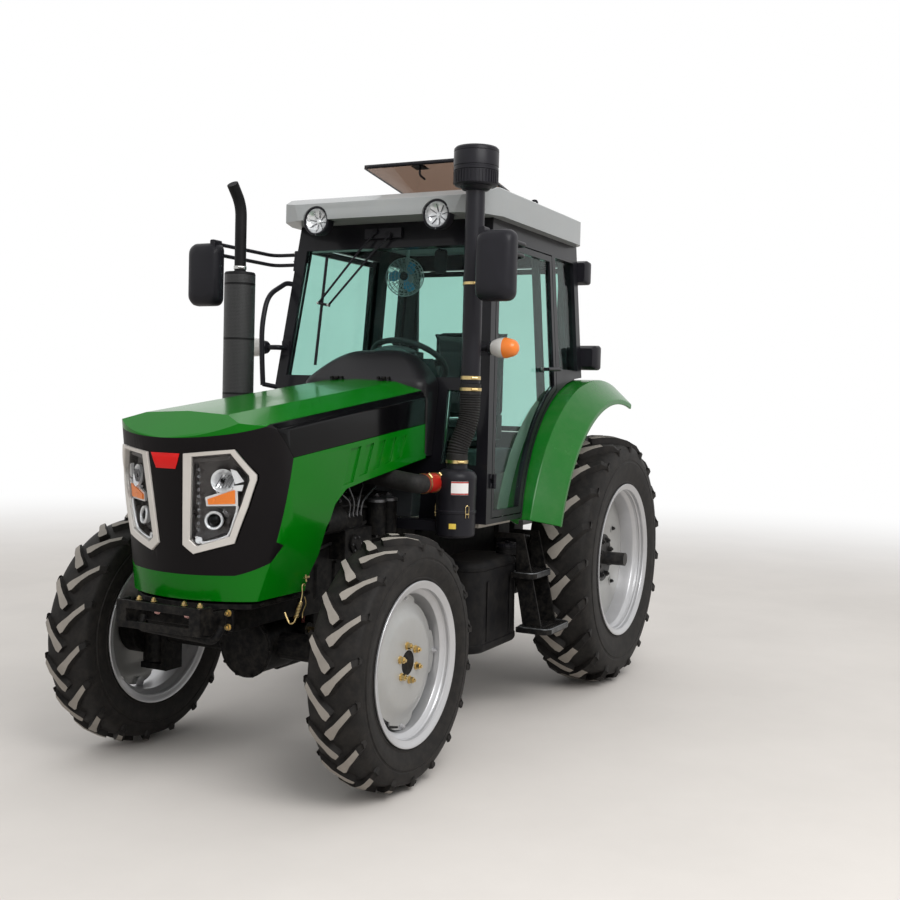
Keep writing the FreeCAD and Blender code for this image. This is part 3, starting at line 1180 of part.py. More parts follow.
fender_left = coded("fender_left", fender_shape())
node("fenders", both("fenders", fender_left))

# Cab floor, with the wheel walls and covers that close the cab over the rear tyres, and the seat's
# platform.
FLOOR_REAR = "cab_rear_x + frame_thickness"
FLOOR_TOP = "floor_z + floor_thickness"
floor = prism("floor", "XY_Plane", [
    (FLOOR_REAR, "-well_y"), ("fender_radius - 38", "-well_y"), ("fender_radius - 32", "-590"),
    ("1330", "-590"), ("1330", "-260"), ("1290", "-260"), ("1290", "260"), ("1330", "260"), ("1330", "590"),
    ("fender_radius - 32", "590"), ("fender_radius - 38", "well_y"), (FLOOR_REAR, "well_y")],
    "floor_thickness", z="floor_z + floor_thickness / 2")
mount_block = box("cab_mounts", ("240", "1000"), ("-150", "150"), ("gearbox_top_z", "floor_z"))
platform = box("seat_platform", (FLOOR_REAR, "640"), ("-430", "430"), (FLOOR_TOP, "1180"))
WELL_R = cell("fender_radius") - 16
WELL_TURN = (rise_angle(WELL_R, cell("floor_z")),
             run_angle(WELL_R - cell("well_wall"), cell("cab_rear_x") + cell("frame_thickness")))
WELL_ARC = arc_points("fender_radius - 16", *WELL_TURN)
WELL_UNDER = arc_points("fender_radius - 16 - well_wall", *WELL_TURN)
inner_wall = prism("inner_wall", "XZ_Plane", WELL_ARC + [(FLOOR_REAR, "floor_z")], "well_wall",
                   y="well_y - well_wall / 2")
cover = prism("wheel_cover", "XZ_Plane", WELL_ARC + WELL_UNDER[::-1],
              "fender_inner_y - seat_gap - well_y + well_wall",
              y="(fender_inner_y - seat_gap + well_y - well_wall) / 2")
node("cab_floor", fuse("cab_floor", [floor, mount_block, platform, inner_wall,
                                     mirrored("inner_wall_other", inner_wall),
                                     cover, mirrored("cover_other", cover)]))

# Seat: cushion and back on a base.
seat_base = box("seat_base", ("330", "620"), ("-150", "150"), ("1180", "1330"))
cushion = box("cushion", ("300", "780"), ("-240", "240"), ("1330", "1440"))
backrest = prism("backrest", "XZ_Plane", [("300", "1440"), ("400", "1440"), ("300", "1960"),
                                          ("205", "1960")], "460")
node("seat", fuse("seat", [seat_base, cushion, backrest]))

# Dash: console, instrument hood and steering column with its wheel.
console = prism("console", "XZ_Plane", [
    ("1120", FLOOR_TOP), ("1300", FLOOR_TOP), ("1195", "1700"), ("1100", "1760"), ("1010", "1620")], "420")
binnacle = box("binnacle", ("1090", "1180"), ("-150", "150"), ("1700", "1790"))
node("dash", fuse("dash", [console, binnacle]))
wheel_ring = doc.addObject("Part::Torus", "wheel_ring")
wheel_ring.Radius1 = 195
wheel_ring.Radius2 = 15
column = doc.addObject("Part::Cylinder", "column")
column.Radius = 24
column.Height = 170
column.Placement.Base = V(0, 0, -170)
spokes = box("spokes", ("-190", "190"), ("-18", "18"), ("-12", "4"))
spoke = box("spoke", ("-18", "18"), ("0", "190"), ("-12", "4"))
steering = fuse("steering", [wheel_ring, column, spokes, spoke])
steering.Placement = FreeCAD.Placement(V(965, 0, 1745), FreeCAD.Rotation(AXES["Y"], -32))
node("steering_wheel", cut("steering_seated", steering, console))

# Cowl: the hump that closes the gap between hood and windscreen, by its side and front profiles.
cowl_side = prism("cowl_side", "XZ_Plane", [
    (post_line("-seat_gap", "1290"), "1290"), ("hood_rear_x - 6", "1290"), ("hood_rear_x - 6", "1630"),
    (post_line("-60", "1800"), "1800"), (post_line("-30", "1824"), "1824"),
    (post_line("-seat_gap", "1824"), "1824")], "1200")
cowl_front = prism("cowl_front", "YZ_Plane", across([
    ("hood_half_width - 30", "1290"), ("hood_half_width - 26", "1640"), ("330", "1730"), ("240", "1800"),
    ("120", "1822")]),
    "2 * hood_rear_x")
cowl_hump = common("cowl_hump", cowl_side, cowl_front)
cowl_hinge = coded("cowl_hinge", hood_still)
node("cowl", fuse("cowl", [cowl_hump, cowl_hinge, mirrored("cowl_hinge_other", cowl_hinge)]))

# Fuel tank with its filler.
tank = box("tank_body", ("tank_rear_x", "tank_front_x"), ("tank_inner_y", "tank_outer_y"),
           ("tank_low_z", "tank_top_z"))
tank_round = doc.addObject("Part::Fillet", "tank_round")
tank_round.Base = tank
neck = rod("neck", "Z", "neck_radius", "tank_top_z", "neck_height",
           ("tank_rear_x + 65", "tank_outer_y - 60"))
doc.recompute()
upright = [i + 1 for i, e in enumerate(tank.Shape.Edges) if abs(e.Vertexes[0].Z - e.Vertexes[1].Z) > 10]
tank_round.Edges = [(i, cell("tank_corner"), cell("tank_corner")) for i in upright]
node("fuel_tank", fuse("fuel_tank", [tank_round, neck]))

# Steps: two treads with rounded outer corners, on two slanting side plates under each door.
# Columns: rear edge ahead of the rear tyre, front edge behind the fender's radius, inner Y, outer Y, and top
# above the rear axle, of each tread.
TREADS = [(18, 40, 600, 725, 18), (-18, 25, 640, 815, -248)]
TREAD_CORNER = 45


def steps_shape():
    """The left steps."""
    thick, inner, wide = cell("tread_thickness"), cell("hanger_y"), cell("hanger_width")
    axle, form = cell("rear_tyre_radius"), None
    for ahead, behind, low_y, high_y, height in TREADS:
        rear, front = axle + ahead, cell("fender_radius") - behind
        tread = Part.makeBox(front - rear, high_y - low_y, thick, V(rear, low_y, axle + height - thick))
        outer = [e for e in tread.Edges
                 if abs(e.Vertexes[0].Z - e.Vertexes[1].Z) > 1 and e.Vertexes[0].Y > low_y + 1]
        tread = tread.makeFillet(min(TREAD_CORNER, 0.4 * (front - rear)), outer)
        form = tread if form is None else form.fuse(tread)
    (ahead, behind, mid_y, step_y, mid), (_, _, low_y, end_y, low) = TREADS
    mid, low = axle + mid, axle + low
    floor_low, reach, drop = cell("floor_z"), cell("hanger_reach_y"), cell("hanger_drop")
    ring = [(reach, floor_low), (reach + thick, floor_low), (reach + thick, floor_low - drop),
            (inner + wide, floor_low - drop), (step_y - 30, mid), (end_y - 60, low),
            (end_y - 75, low - thick), (low_y + 20, low - thick), (mid_y + 10, mid - thick),
            (inner, floor_low - drop - thick), (reach, floor_low - drop - thick)]
    for x in (axle + ahead + 14, cell("fender_radius") - behind - 47):
        corners = [V(x, y, z) for y, z in ring]
        form = form.fuse(Part.Face(Part.makePolygon(corners + corners[:1])).extrude(V(12, 0, 0)))
    return form


node("steps", both("steps", coded("steps_left", steps_shape())))

# Exhaust: manifold on the engine's right, elbow, muffler and stack with its turned tip.
manifold = box("manifold", (along_engine(0.16), along_engine(0.81)),
               ("-engine_width / 2 - 70", "-engine_width / 2"), ("1020", "1100"))
elbow = rod("exhaust_elbow", "Y", "stack_radius + 8", "exhaust_y", "-exhaust_y - engine_width / 2",
            ("exhaust_x", "1100"))
riser = rod("exhaust_riser", "Z", "stack_radius + 8", "1066", "520", ("exhaust_x", "exhaust_y"))
muffler = rod("muffler", "Z", "muffler_radius", "1500", "630", ("exhaust_x", "exhaust_y"))
stack = rod("stack", "Z", "stack_radius", "2120", "330", ("exhaust_x", "exhaust_y"))
tip = rod("stack_tip", "Z", "stack_radius", "0", "110", ("exhaust_x", "exhaust_y"))
tip.Placement = FreeCAD.Placement(V(0, 0, 0), FreeCAD.Rotation(AXES["Y"], 38))
tie(tip, x="exhaust_x", y="exhaust_y", z="2438")
node("exhaust", fuse("exhaust", [manifold, elbow, riser, muffler, stack, tip]))

# Air intake: pipe with its precleaner, the hose below it, and the air cleaner with its coupling to the
# engine.
pipe = rod("intake_pipe_tube", "Z", "intake_radius", "1630", "890", ("intake_x", "intake_y"))
bowl = rod("precleaner", "Z", "precleaner_radius", "2515", "185", ("intake_x", "intake_y"))
node("intake_pipe", fuse("intake_pipe", [pipe, bowl]))


def hose_shape():
    """The corrugated hose's outer form between the intake pipe and the air cleaner."""
    radius = cell("intake_radius") + 6
    high = V(cell("intake_x"), cell("intake_y"), 1630)
    knee = V(cell("intake_x"), cell("intake_y"), 1470)
    low = V(cell("cleaner_x"), cell("cleaner_y"), 1330)
    foot = V(cell("cleaner_x"), cell("cleaner_y"), 1262)
    form = None
    for a, b in ((high, knee), (knee, low), (low, foot)):
        run = Part.makeCylinder(radius, (b - a).Length, a, b - a)
        ball = Part.makeSphere(radius, b)
        form = run if form is None else form.fuse(run)
        if b is not foot:
            form = form.fuse(ball)
    return form.removeSplitter()


node("intake_hose", coded("intake_hose", hose_shape()))
can = rod("cleaner_can", "Z", "cleaner_radius", "930", "310", ("cleaner_x", "cleaner_y"))
cap = rod("cleaner_neck", "Z", "cleaner_radius - 35", "1240", "22", ("cleaner_x", "cleaner_y"))
outlet = rod("cleaner_outlet", "X", "44", "cleaner_x", "240", ("cleaner_y - 75", "1180"))
strap = box("cleaner_bracket", ("cleaner_x - 60", "cleaner_x + 20"), ("engine_width / 2 + 30", "cleaner_y"),
            ("950", "1000"))
node("air_cleaner", fuse("air_cleaner", [can, cap, outlet, strap]))

# Mirrors on two-tube arms from the front posts.
mirror_head = box("mirror_head", ("mirror_x - 40", "mirror_x + 40"), ("mirror_y - 92", "mirror_y + 92"),
                  ("mirror_z - 155", "mirror_z + 155"))
ARM_Z = "mirror_z + 149"
ARM_X = post_line("30", "mirror_z + 149")
arm_high = rod("arm_high", "X", "11", ARM_X, "mirror_x - (%s)" % ARM_X, ("mirror_y - 60", ARM_Z))
arm_side = rod("arm_side", "Y", "11", "530", "mirror_y - 579", (ARM_X, ARM_Z))
mirror_left = cut("mirror_left", fuse("mirror_solid", [mirror_head, arm_high, arm_side]), side_frame)
node("mirrors", both("mirrors", mirror_left))

# Lamps: work lamps in the roof, turn lamps on the front posts, boxes on the rear posts above and at the
# fenders.
turn_stalk = rod("turn_stalk", "X", "16", post_line("10", "1801"), "90", ("565", "1801"))
turn_arm = rod("turn_arm", "Y", "14", "560", "100", ("1325", "1801"))
turn_lamp = rod("turn_lamp", "Y", "48", "625", "145", ("1335", "1801"))
turn_left = cut("turn_left", fuse("turn_solid", [turn_stalk, turn_arm, turn_lamp]), front_frame)
rear_high = box("rear_high_lamp", ("cab_rear_x - 90", "cab_rear_x"), ("490", "610"), ("2225", "2360"))
rear_low = box("rear_low_lamp", ("cab_rear_x - 110", "cab_rear_x"), ("540", "680"),
               ("rear_tyre_radius + fender_radius + 55", "rear_tyre_radius + fender_radius + 195"))
node("lamps", both("lamps", fuse("lamps_left", [lamp, turn_left, rear_high, rear_low])))

# Drawbar with its pin hole, and the power take-off shaft above it.
bar = box("drawbar_bar", ("drawbar_end_x", "150"), ("-drawbar_width / 2", "drawbar_width / 2"),
          ("drawbar_z", "drawbar_z + drawbar_thickness"))
hanger = box("drawbar_hanger", ("-150", "60"), ("-70", "70"),
             ("drawbar_z + drawbar_thickness", "rear_tyre_radius - 200"))
pin_bore = rod("drawbar_pin_hole", "Z", "drawbar_bore_radius", "drawbar_z - 1", "drawbar_thickness + 2",
               ("drawbar_end_x + 50", "0"))
node("drawbar", cut("drawbar", fuse("drawbar_solid", [bar, hanger]), pin_bore))
shaft_boss = rod("pto_boss", "X", "60", "-250", "60", ("0", "pto_z"))
shaft = rod("pto_shaft_bar", "X", "pto_radius", "pto_end_x", "-pto_end_x - 200", ("0", "pto_z"))
node("pto_shaft", fuse("pto_shaft", [shaft_boss, shaft]))


# Linkage: lower links, lift arms on their shaft, lift rods and the top link.
def flat_link(start, end, height, width):
    """A flat bar between two points, its width across Y."""
    run = end - start
    bar_ = Part.makeBox(run.Length, width, height, V(0, -width / 2, -height / 2))
    turn = FreeCAD.Rotation(V(1, 0, 0), run)
    bar_.Placement = FreeCAD.Placement(start, turn)
    return bar_


def eye(centre, radius, width):
    """A round eye about a pin that lies across the machine."""
    return Part.makeCylinder(radius, width, centre - V(0, width / 2, 0), AXES["Y"])


def lower_link_shape():
    """The left lower link from its front pin to its ball eye."""
    pivot = V(cell("link_pivot_x"), cell("link_front_y"), cell("link_pivot_z"))
    ball = V(cell("link_pivot_x") - cell("link_length"), cell("link_y"), cell("link_pivot_z"))
    wide = cell("link_eye_width")
    form = flat_link(pivot, ball, 62, 22)
    form = form.fuse([eye(pivot, cell("link_ball_radius"), wide),
                      eye(ball, cell("link_ball_radius"), wide)])
    form = form.cut(eye(pivot, cell("link_bore_radius") + cell("running_gap"), 3 * wide))
    return form.cut(eye(ball, cell("link_bore_radius"), 3 * wide))


node("lower_links", both("lower_links", coded("lower_link_left", lower_link_shape())))

rocker = rod("rocker", "Y", "32", "-260", "520", ("rocker_x", "rocker_z"))


def hook_point():
    """Where the left lift rod meets the lower link."""
    share = cell("rod_hook") / cell("link_length")
    x = cell("link_pivot_x") - cell("rod_hook")
    y = cell("link_front_y") + share * (cell("link_y") - cell("link_front_y"))
    return V(x, y, cell("link_pivot_z"))


def arm_end():
    """The left lift arm's rear pin."""
    hook = hook_point()
    run = cell("rocker_x") - hook.x - 20
    lift = math.sqrt(cell("arm_length") ** 2 - run ** 2)
    return V(hook.x + 20, hook.y, cell("rocker_z") + lift)


def lift_arm_shape():
    """The left lift arm, from the shaft out to its pin."""
    root = V(cell("rocker_x"), 230, cell("rocker_z"))
    tip_ = arm_end()
    tip_in = V(tip_.x, tip_.y - 40, tip_.z)
    form = flat_link(root, tip_in, 70, 26).fuse([eye(root, 55, 46), eye(tip_in, 30, 30)])
    pin = Part.makeCylinder(12, 95, tip_in, AXES["Y"])
    return form.fuse(pin)


arm_left = coded("arm_left", lift_arm_shape())
node("lift_arms", fuse("lift_arms", [rocker, arm_left, mirrored("arm_right", arm_left)]))


def lift_rod_shape():
    """The left lift rod, hung on the arm's pin, with its open eye beside the lower link."""
    high, low = arm_end(), hook_point()
    low = V(low.x, low.y + 34, low.z)
    high = V(high.x, low.y, high.z)
    run = low - high
    body = Part.makeCylinder(17, run.Length - 40, high + run * (20 / run.Length), run)
    form = body.fuse([eye(high, 28, 24), eye(low, 28, 20)])
    form = form.cut(eye(high, 12 + cell("running_gap"), 200))
    return form.cut(eye(low, 14, 60))


node("lift_rods", both("lift_rods", coded("rod_left", lift_rod_shape())))


def top_link_shape():
    """The top link, from its front pin rearwards, with an eye at each end."""
    front = V(cell("top_link_x") - 70, 0, cell("top_link_z"))
    rear = front - V(cell("top_link_length"), 0, 0)
    tube = Part.makeCylinder(19, cell("top_link_length") - 50, front - V(25, 0, 0), V(-1, 0, 0))
    form = tube.fuse([eye(front, 30, 44), eye(rear, 30, 51)])
    form = form.cut(eye(front, cell("top_bore_radius") + cell("running_gap"), 200))
    return form.cut(eye(rear, cell("top_bore_radius"), 200))


node("top_link", coded("top_link", top_link_shape()))
doc.recompute()
faults = [o.Name for o in doc.Objects if "Invalid" in o.State or "Error" in o.State]
for obj in NODES:
    shape = obj.Shape
    if shape.isNull() or not shape.isValid() or not shape.Solids:
        faults.append(obj.Label)
if faults:
    raise SystemExit("faulty objects: " + ", ".join(faults))
os.makedirs("parts", exist_ok=True)
for obj in NODES:
    obj.Shape.exportStep(os.path.join("parts", obj.Label + ".step"))
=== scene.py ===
import json
import math
import random
import bmesh
import bpy
from mathutils import Matrix, Vector
from mathutils.bvhtree import BVHTree


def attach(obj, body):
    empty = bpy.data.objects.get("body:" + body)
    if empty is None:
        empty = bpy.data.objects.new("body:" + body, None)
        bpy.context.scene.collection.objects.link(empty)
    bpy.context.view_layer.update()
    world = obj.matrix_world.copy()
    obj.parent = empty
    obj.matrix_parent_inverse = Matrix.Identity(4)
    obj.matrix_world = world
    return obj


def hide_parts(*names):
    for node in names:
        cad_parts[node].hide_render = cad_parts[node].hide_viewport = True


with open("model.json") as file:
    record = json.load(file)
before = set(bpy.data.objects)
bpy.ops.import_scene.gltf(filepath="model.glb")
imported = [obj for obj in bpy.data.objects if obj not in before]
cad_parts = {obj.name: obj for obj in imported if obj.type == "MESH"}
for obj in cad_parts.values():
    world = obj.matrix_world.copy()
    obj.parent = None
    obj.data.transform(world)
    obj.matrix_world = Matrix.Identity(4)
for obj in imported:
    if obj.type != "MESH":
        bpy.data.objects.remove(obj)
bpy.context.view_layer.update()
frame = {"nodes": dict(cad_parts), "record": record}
NODES = frame["nodes"]
random.seed(7)

# Places are given as in the part's source: millimetres from the rear axle, Y to the left, Z up.
REAR_AXLE_X = 940


def P(x, y, z):
    return Vector(((x - REAR_AXLE_X) / 1000, y / 1000, z / 1000))


# Materials

def node_of(tree, kind, **values):
    n = tree.nodes.new(kind)
    for key, value in values.items():
        if key in n.inputs:
            n.inputs[key].default_value = value
        else:
            setattr(n, key, value)
    return n


def material(name, colour, rough=0.5, metal=0.0, coat=0.0, spread=0.12, scale=6.0, grain=0.0, grain_scale=220.0,
             dust=0.0, dust_colour=(0.42, 0.37, 0.30), rough_spread=0.08, sheen=0.0, specular=0.5):
    """A finish with broad tone changes, a fine grain, and dust where the noise lets it lie."""
    m = bpy.data.materials.new(name)
    m.use_nodes = True
    t = m.node_tree
    shader = t.nodes["Principled BSDF"]
    shader.inputs["Metallic"].default_value = metal
    shader.inputs["Coat Weight"].default_value = coat
    shader.inputs["Coat Roughness"].default_value = 0.06
    shader.inputs["Specular IOR Level"].default_value = specular
    shader.inputs["Sheen Weight"].default_value = sheen
    place = node_of(t, "ShaderNodeTexCoord")
    broad = node_of(t, "ShaderNodeTexNoise", Scale=scale, Detail=6.0, Roughness=0.6)
    t.links.new(place.outputs["Object"], broad.inputs["Vector"])
    ramp = node_of(t, "ShaderNodeValToRGB")
    low, high = ramp.color_ramp.elements
    low.position, high.position = 0.3, 0.72
    low.color = [c * (1 - spread) for c in colour] + [1]
    high.color = [min(1, c * (1 + spread)) for c in colour] + [1]
    t.links.new(broad.outputs["Fac"], ramp.inputs["Fac"])
    tone = ramp.outputs["Color"]
    if dust:
        fine = node_of(t, "ShaderNodeTexNoise", Scale=scale * 4.5, Detail=9.0, Roughness=0.7)
        t.links.new(place.outputs["Object"], fine.inputs["Vector"])
        mask = node_of(t, "ShaderNodeMapRange")
        mask.inputs["From Min"].default_value = 0.42
        mask.inputs["From Max"].default_value = 0.78
        mask.inputs["To Max"].default_value = dust
        t.links.new(fine.outputs["Fac"], mask.inputs["Value"])
        mix = node_of(t, "ShaderNodeMix", data_type="RGBA")
        mix.inputs[7].default_value = list(dust_colour) + [1]
        t.links.new(mask.outputs["Result"], mix.inputs[0])
        t.links.new(tone, mix.inputs[6])
        tone = mix.outputs[2]
    t.links.new(tone, shader.inputs["Base Color"])
    dull = node_of(t, "ShaderNodeMapRange")
    dull.inputs["To Min"].default_value = max(0.02, rough - rough_spread)
    dull.inputs["To Max"].default_value = min(1.0, rough + rough_spread)
    t.links.new(broad.outputs["Fac"], dull.inputs["Value"])
    t.links.new(dull.outputs["Result"], shader.inputs["Roughness"])
    if grain:
        rough_noise = node_of(t, "ShaderNodeTexNoise", Scale=grain_scale, Detail=4.0, Roughness=0.65)
        t.links.new(place.outputs["Object"], rough_noise.inputs["Vector"])
        bump = node_of(t, "ShaderNodeBump", Strength=grain, Distance=0.002)
        t.links.new(rough_noise.outputs["Fac"], bump.inputs["Height"])
        t.links.new(bump.outputs["Normal"], shader.inputs["Normal"])
    return m


def glass(name, colour, rough=0.01, coat=0.6, specular=1.0, ior=1.15):
    """A tinted pane: clear to light that goes through it, with a gloss on its face."""
    m = bpy.data.materials.new(name)
    m.use_nodes = True
    t = m.node_tree
    shader = t.nodes["Principled BSDF"]
    shader.inputs["Transmission Weight"].default_value = 1.0
    shader.inputs["IOR"].default_value = ior
    shader.inputs["Roughness"].default_value = rough
    shader.inputs["Specular IOR Level"].default_value = specular
    shader.inputs["Coat Weight"].default_value = coat
    shader.inputs["Coat Roughness"].default_value = 0.02
    place = node_of(t, "ShaderNodeTexCoord")
    haze = node_of(t, "ShaderNodeTexNoise", Scale=3.0, Detail=5.0, Roughness=0.6)
    t.links.new(place.outputs["Object"], haze.inputs["Vector"])
    ramp = node_of(t, "ShaderNodeValToRGB")
    low, high = ramp.color_ramp.elements
    low.color = [c * 0.94 for c in colour] + [1]
    high.color = [min(1, c * 1.05) for c in colour] + [1]
    t.links.new(haze.outputs["Fac"], ramp.inputs["Fac"])
    t.links.new(ramp.outputs["Color"], shader.inputs["Base Color"])
    return m


def glow(name, colour, strength):
    m = material(name, colour, rough=0.3)
    shader = m.node_tree.nodes["Principled BSDF"]
    shader.inputs["Emission Color"].default_value = list(colour) + [1]
    shader.inputs["Emission Strength"].default_value = strength
    return m


GREEN = material("green_gloss", (0.001, 0.135, 0.003), rough=0.2, coat=0.15, specular=0.10, spread=0.06, scale=2.0,
                 grain=0.012, grain_scale=90.0, rough_spread=0.04)
FENDER = material("fender_gloss", (0.004, 0.128, 0.009), rough=0.26, coat=0.22, specular=0.22, spread=0.07,
                  scale=2.0, grain=0.012, grain_scale=90.0, dust=0.05)
BLACK_GLOSS = material("black_gloss_lacquer", (0.003, 0.003, 0.0035), rough=0.12, coat=0.08, specular=0.08,
                       spread=0.2, scale=3.0, rough_spread=0.03)
NOSE = material("nose_satin", specular=0.10, colour=(0.0055, 0.0045, 0.005), rough=0.42, spread=0.15, scale=4.0,
                grain=0.06, grain_scale=420.0)
ROOF = material("roof_paint", (0.30, 0.312, 0.312), rough=0.38, coat=0.25, spread=0.05, scale=2.5, dust=0.10,
                grain=0.03)
CAB = material("cab_satin", specular=0.14, colour=(0.008, 0.0078, 0.010), rough=0.33, coat=0.15, spread=0.2,
               scale=5.0, grain=0.05)
PANE = glass("tinted_pane", (0.55, 0.755, 0.70), coat=0.0, specular=0.5)
HATCH = glass("hatch_pane", (0.23, 0.15, 0.11), 0.05)
CLEAR = glass("clear_cover", (0.97, 0.98, 0.99), coat=0.0, specular=0.35, ior=1.03)
RIM = material("rim_silver", (0.50, 0.50, 0.51), rough=0.34, metal=0.55, coat=0.15, spread=0.06, scale=7.0,
               dust=0.10, grain=0.03)
DISC = material("disc_silver", (0.40, 0.40, 0.39), rough=0.42, metal=0.45, spread=0.07, scale=7.0, dust=0.14,
                grain=0.04)
HUB = material("hub_black", specular=0.25, colour=(0.012, 0.012, 0.013), rough=0.45, spread=0.2, dust=0.08,
               grain=0.08)
TYRE = material("tyre_rubber", specular=0.18, colour=(0.011, 0.0100, 0.0095), rough=0.62, spread=0.3, scale=5.0,
                dust=0.35, dust_colour=(0.055, 0.047, 0.040), grain=0.22, grain_scale=160.0)
LUG = material("lug_face", (0.27, 0.245, 0.215), rough=0.85, spread=0.16, scale=9.0, dust=0.5,
               dust_colour=(0.23, 0.20, 0.17), grain=0.35, grain_scale=130.0)
IRON = material("chassis_paint", specular=0.08, colour=(0.0035, 0.0035, 0.004), rough=0.48, spread=0.3, scale=9.0,
                dust=0.05, grain=0.14, grain_scale=130.0)
ENGINE = material("engine_paint", specular=0.08, colour=(0.004, 0.004, 0.0045), rough=0.42, spread=0.3, scale=9.0,
                  dust=0.05, grain=0.15, grain_scale=120.0)
TANK = material("tank_moulding", specular=0.10, colour=(0.006, 0.0058, 0.0065), rough=0.5, spread=0.15, scale=3.0,
                dust=0.03, grain=0.10, grain_scale=300.0)
STEEL_BLACK = material("black_steel", specular=0.10, colour=(0.004, 0.004, 0.0045), rough=0.4, spread=0.2,
                       scale=8.0, dust=0.06, grain=0.06)
EXHAUST = material("exhaust_black", specular=0.14, colour=(0.007, 0.007, 0.0075), rough=0.5, spread=0.25,
                   scale=8.0, grain=0.08)
MOULD = material("black_moulding", specular=0.18, colour=(0.013, 0.0125, 0.016), rough=0.36, spread=0.15,
                 scale=5.0, grain=0.08)
RUBBER = material("hose_rubber", specular=0.2, colour=(0.014, 0.0135, 0.0135), rough=0.6, spread=0.2, scale=12.0,
                  dust=0.15, dust_colour=(0.10, 0.085, 0.07), grain=0.10)
FLOOR_MAT = material("cab_mat", (0.42, 0.385, 0.34), rough=0.8, spread=0.12, scale=6.0, grain=0.3,
                     grain_scale=150.0)
TRIM = material("cab_trim", specular=0.3, colour=(0.035, 0.038, 0.041), rough=0.6, spread=0.12, scale=5.0,
                grain=0.25, grain_scale=380.0)
FABRIC = material("seat_cloth", (0.030, 0.033, 0.038), rough=0.9, spread=0.25, scale=30.0, grain=0.5,
                  grain_scale=520.0, sheen=0.4)
LINK = material("link_black", specular=0.28, colour=(0.013, 0.013, 0.014), rough=0.42, spread=0.2, scale=10.0,
                dust=0.10, grain=0.06)
BARE = material("bare_steel", (0.52, 0.52, 0.50), rough=0.32, metal=1.0, spread=0.1, scale=18.0, grain=0.05)
GOLD = material("zinc_gold", (0.62, 0.47, 0.22), rough=0.3, metal=1.0, spread=0.25, scale=40.0, grain=0.05)
CHROME = material("lamp_chrome", (0.74, 0.75, 0.76), rough=0.16, metal=0.45, coat=0.3, spread=0.04)
FRAME_SILVER = material("lamp_frame", (0.60, 0.57, 0.53), rough=0.3, metal=0.25, coat=0.4, spread=0.05, grain=0.02)
RED = material("badge_red", (0.66, 0.005, 0.004), rough=0.3, coat=0.12, specular=0.2, spread=0.05)
RED_HOSE = material("red_coupling", (0.42, 0.012, 0.006), rough=0.4, coat=0.3, spread=0.12, grain=0.06)
AMBER = glow("amber_lens", (0.80, 0.20, 0.02), 0.03)
RED_LENS = glow("red_lens", (0.50, 0.01, 0.01), 0.04)
WHITE_LABEL = material("white_label", (0.78, 0.76, 0.74), rough=0.45, spread=0.04)
YELLOW_LABEL = material("yellow_label", (0.78, 0.56, 0.08), rough=0.45, spread=0.06)
LINER = material("head_liner", (0.30, 0.33, 0.34), rough=0.85, spread=0.08, grain=0.2, grain_scale=300.0)
MIRROR = material("mirror_glass", (0.75, 0.78, 0.80), rough=0.03, metal=1.0, spread=0.02)
CORE = material("radiator_core", (0.03, 0.03, 0.032), rough=0.55, spread=0.3, scale=60.0, grain=0.4,
                grain_scale=500.0)
BLUE = material("fan_blue", (0.10, 0.42, 0.78), rough=0.35, coat=0.3, spread=0.08)

SLOTS = {
    "green_paint": GREEN, "black_gloss": BLACK_GLOSS, "nose_black": NOSE, "headlamp": CHROME, "roof_grey": ROOF,
    "fender_green": FENDER, "cab_black": CAB, "tinted_glass": PANE, "hatch_glass": HATCH, "rim_silver": RIM,
    "hub_black": HUB, "tyre_rubber": TYRE, "chassis_iron": IRON, "engine_iron": ENGINE, "radiator_black": CORE,
    "tank_plastic": TANK, "step_steel": STEEL_BLACK, "exhaust_black": EXHAUST, "intake_plastic": MOULD,
    "hose_rubber": RUBBER, "floor_grey": FLOOR_MAT, "interior_black": TRIM, "seat_fabric": FABRIC,
    "lamp_plastic": AMBER, "link_steel": LINK, "shaft_steel": BARE,
}
SLOT_OF = {row["node"]: row["material_slot"] for row in frame["record"]["subparts"]}
BODY_OF = {n: body for body, members in frame["record"]["behaviour"]["bodies"].items() for n in members}
for name, obj in NODES.items():
    for i in range(len(obj.data.materials)):
        obj.data.materials[i] = SLOTS[SLOT_OF[name]]


# Mesh pieces

def finished(name, bm, body, materials, slot=None, bevel=0.0, smooth=35, mirror=False, replaces=()):
    """A piece from a bmesh, in place in the row frame; mirror adds its twin across the middle plane."""
    mesh = bpy.data.meshes.new(name)
    if mirror:
        twin = bmesh.ops.duplicate(bm, geom=bm.verts[:] + bm.edges[:] + bm.faces[:])["geom"]
        bmesh.ops.scale(bm, vec=(1, -1, 1), verts=[g for g in twin if isinstance(g, bmesh.types.BMVert)])
        bmesh.ops.reverse_faces(bm, faces=[g for g in twin if isinstance(g, bmesh.types.BMFace)])
    bm.to_mesh(mesh)
    bm.free()
    obj = bpy.data.objects.new(name, mesh)
    bpy.context.scene.collection.objects.link(obj)
    for m in materials if isinstance(materials, (list, tuple)) else [materials]:
        mesh.materials.append(m)
    for p in mesh.polygons:
        p.use_smooth = True
    mesh.set_sharp_from_angle(angle=math.radians(smooth))
    if bevel:
        mod = obj.modifiers.new("soft_edges", "BEVEL")
        mod.width = bevel
        mod.segments = 2
        mod.limit_method = "ANGLE"
        mod.angle_limit = math.radians(32)
        mod.harden_normals = True
    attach(obj, body)
    if replaces:
        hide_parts(*replaces)
    return obj


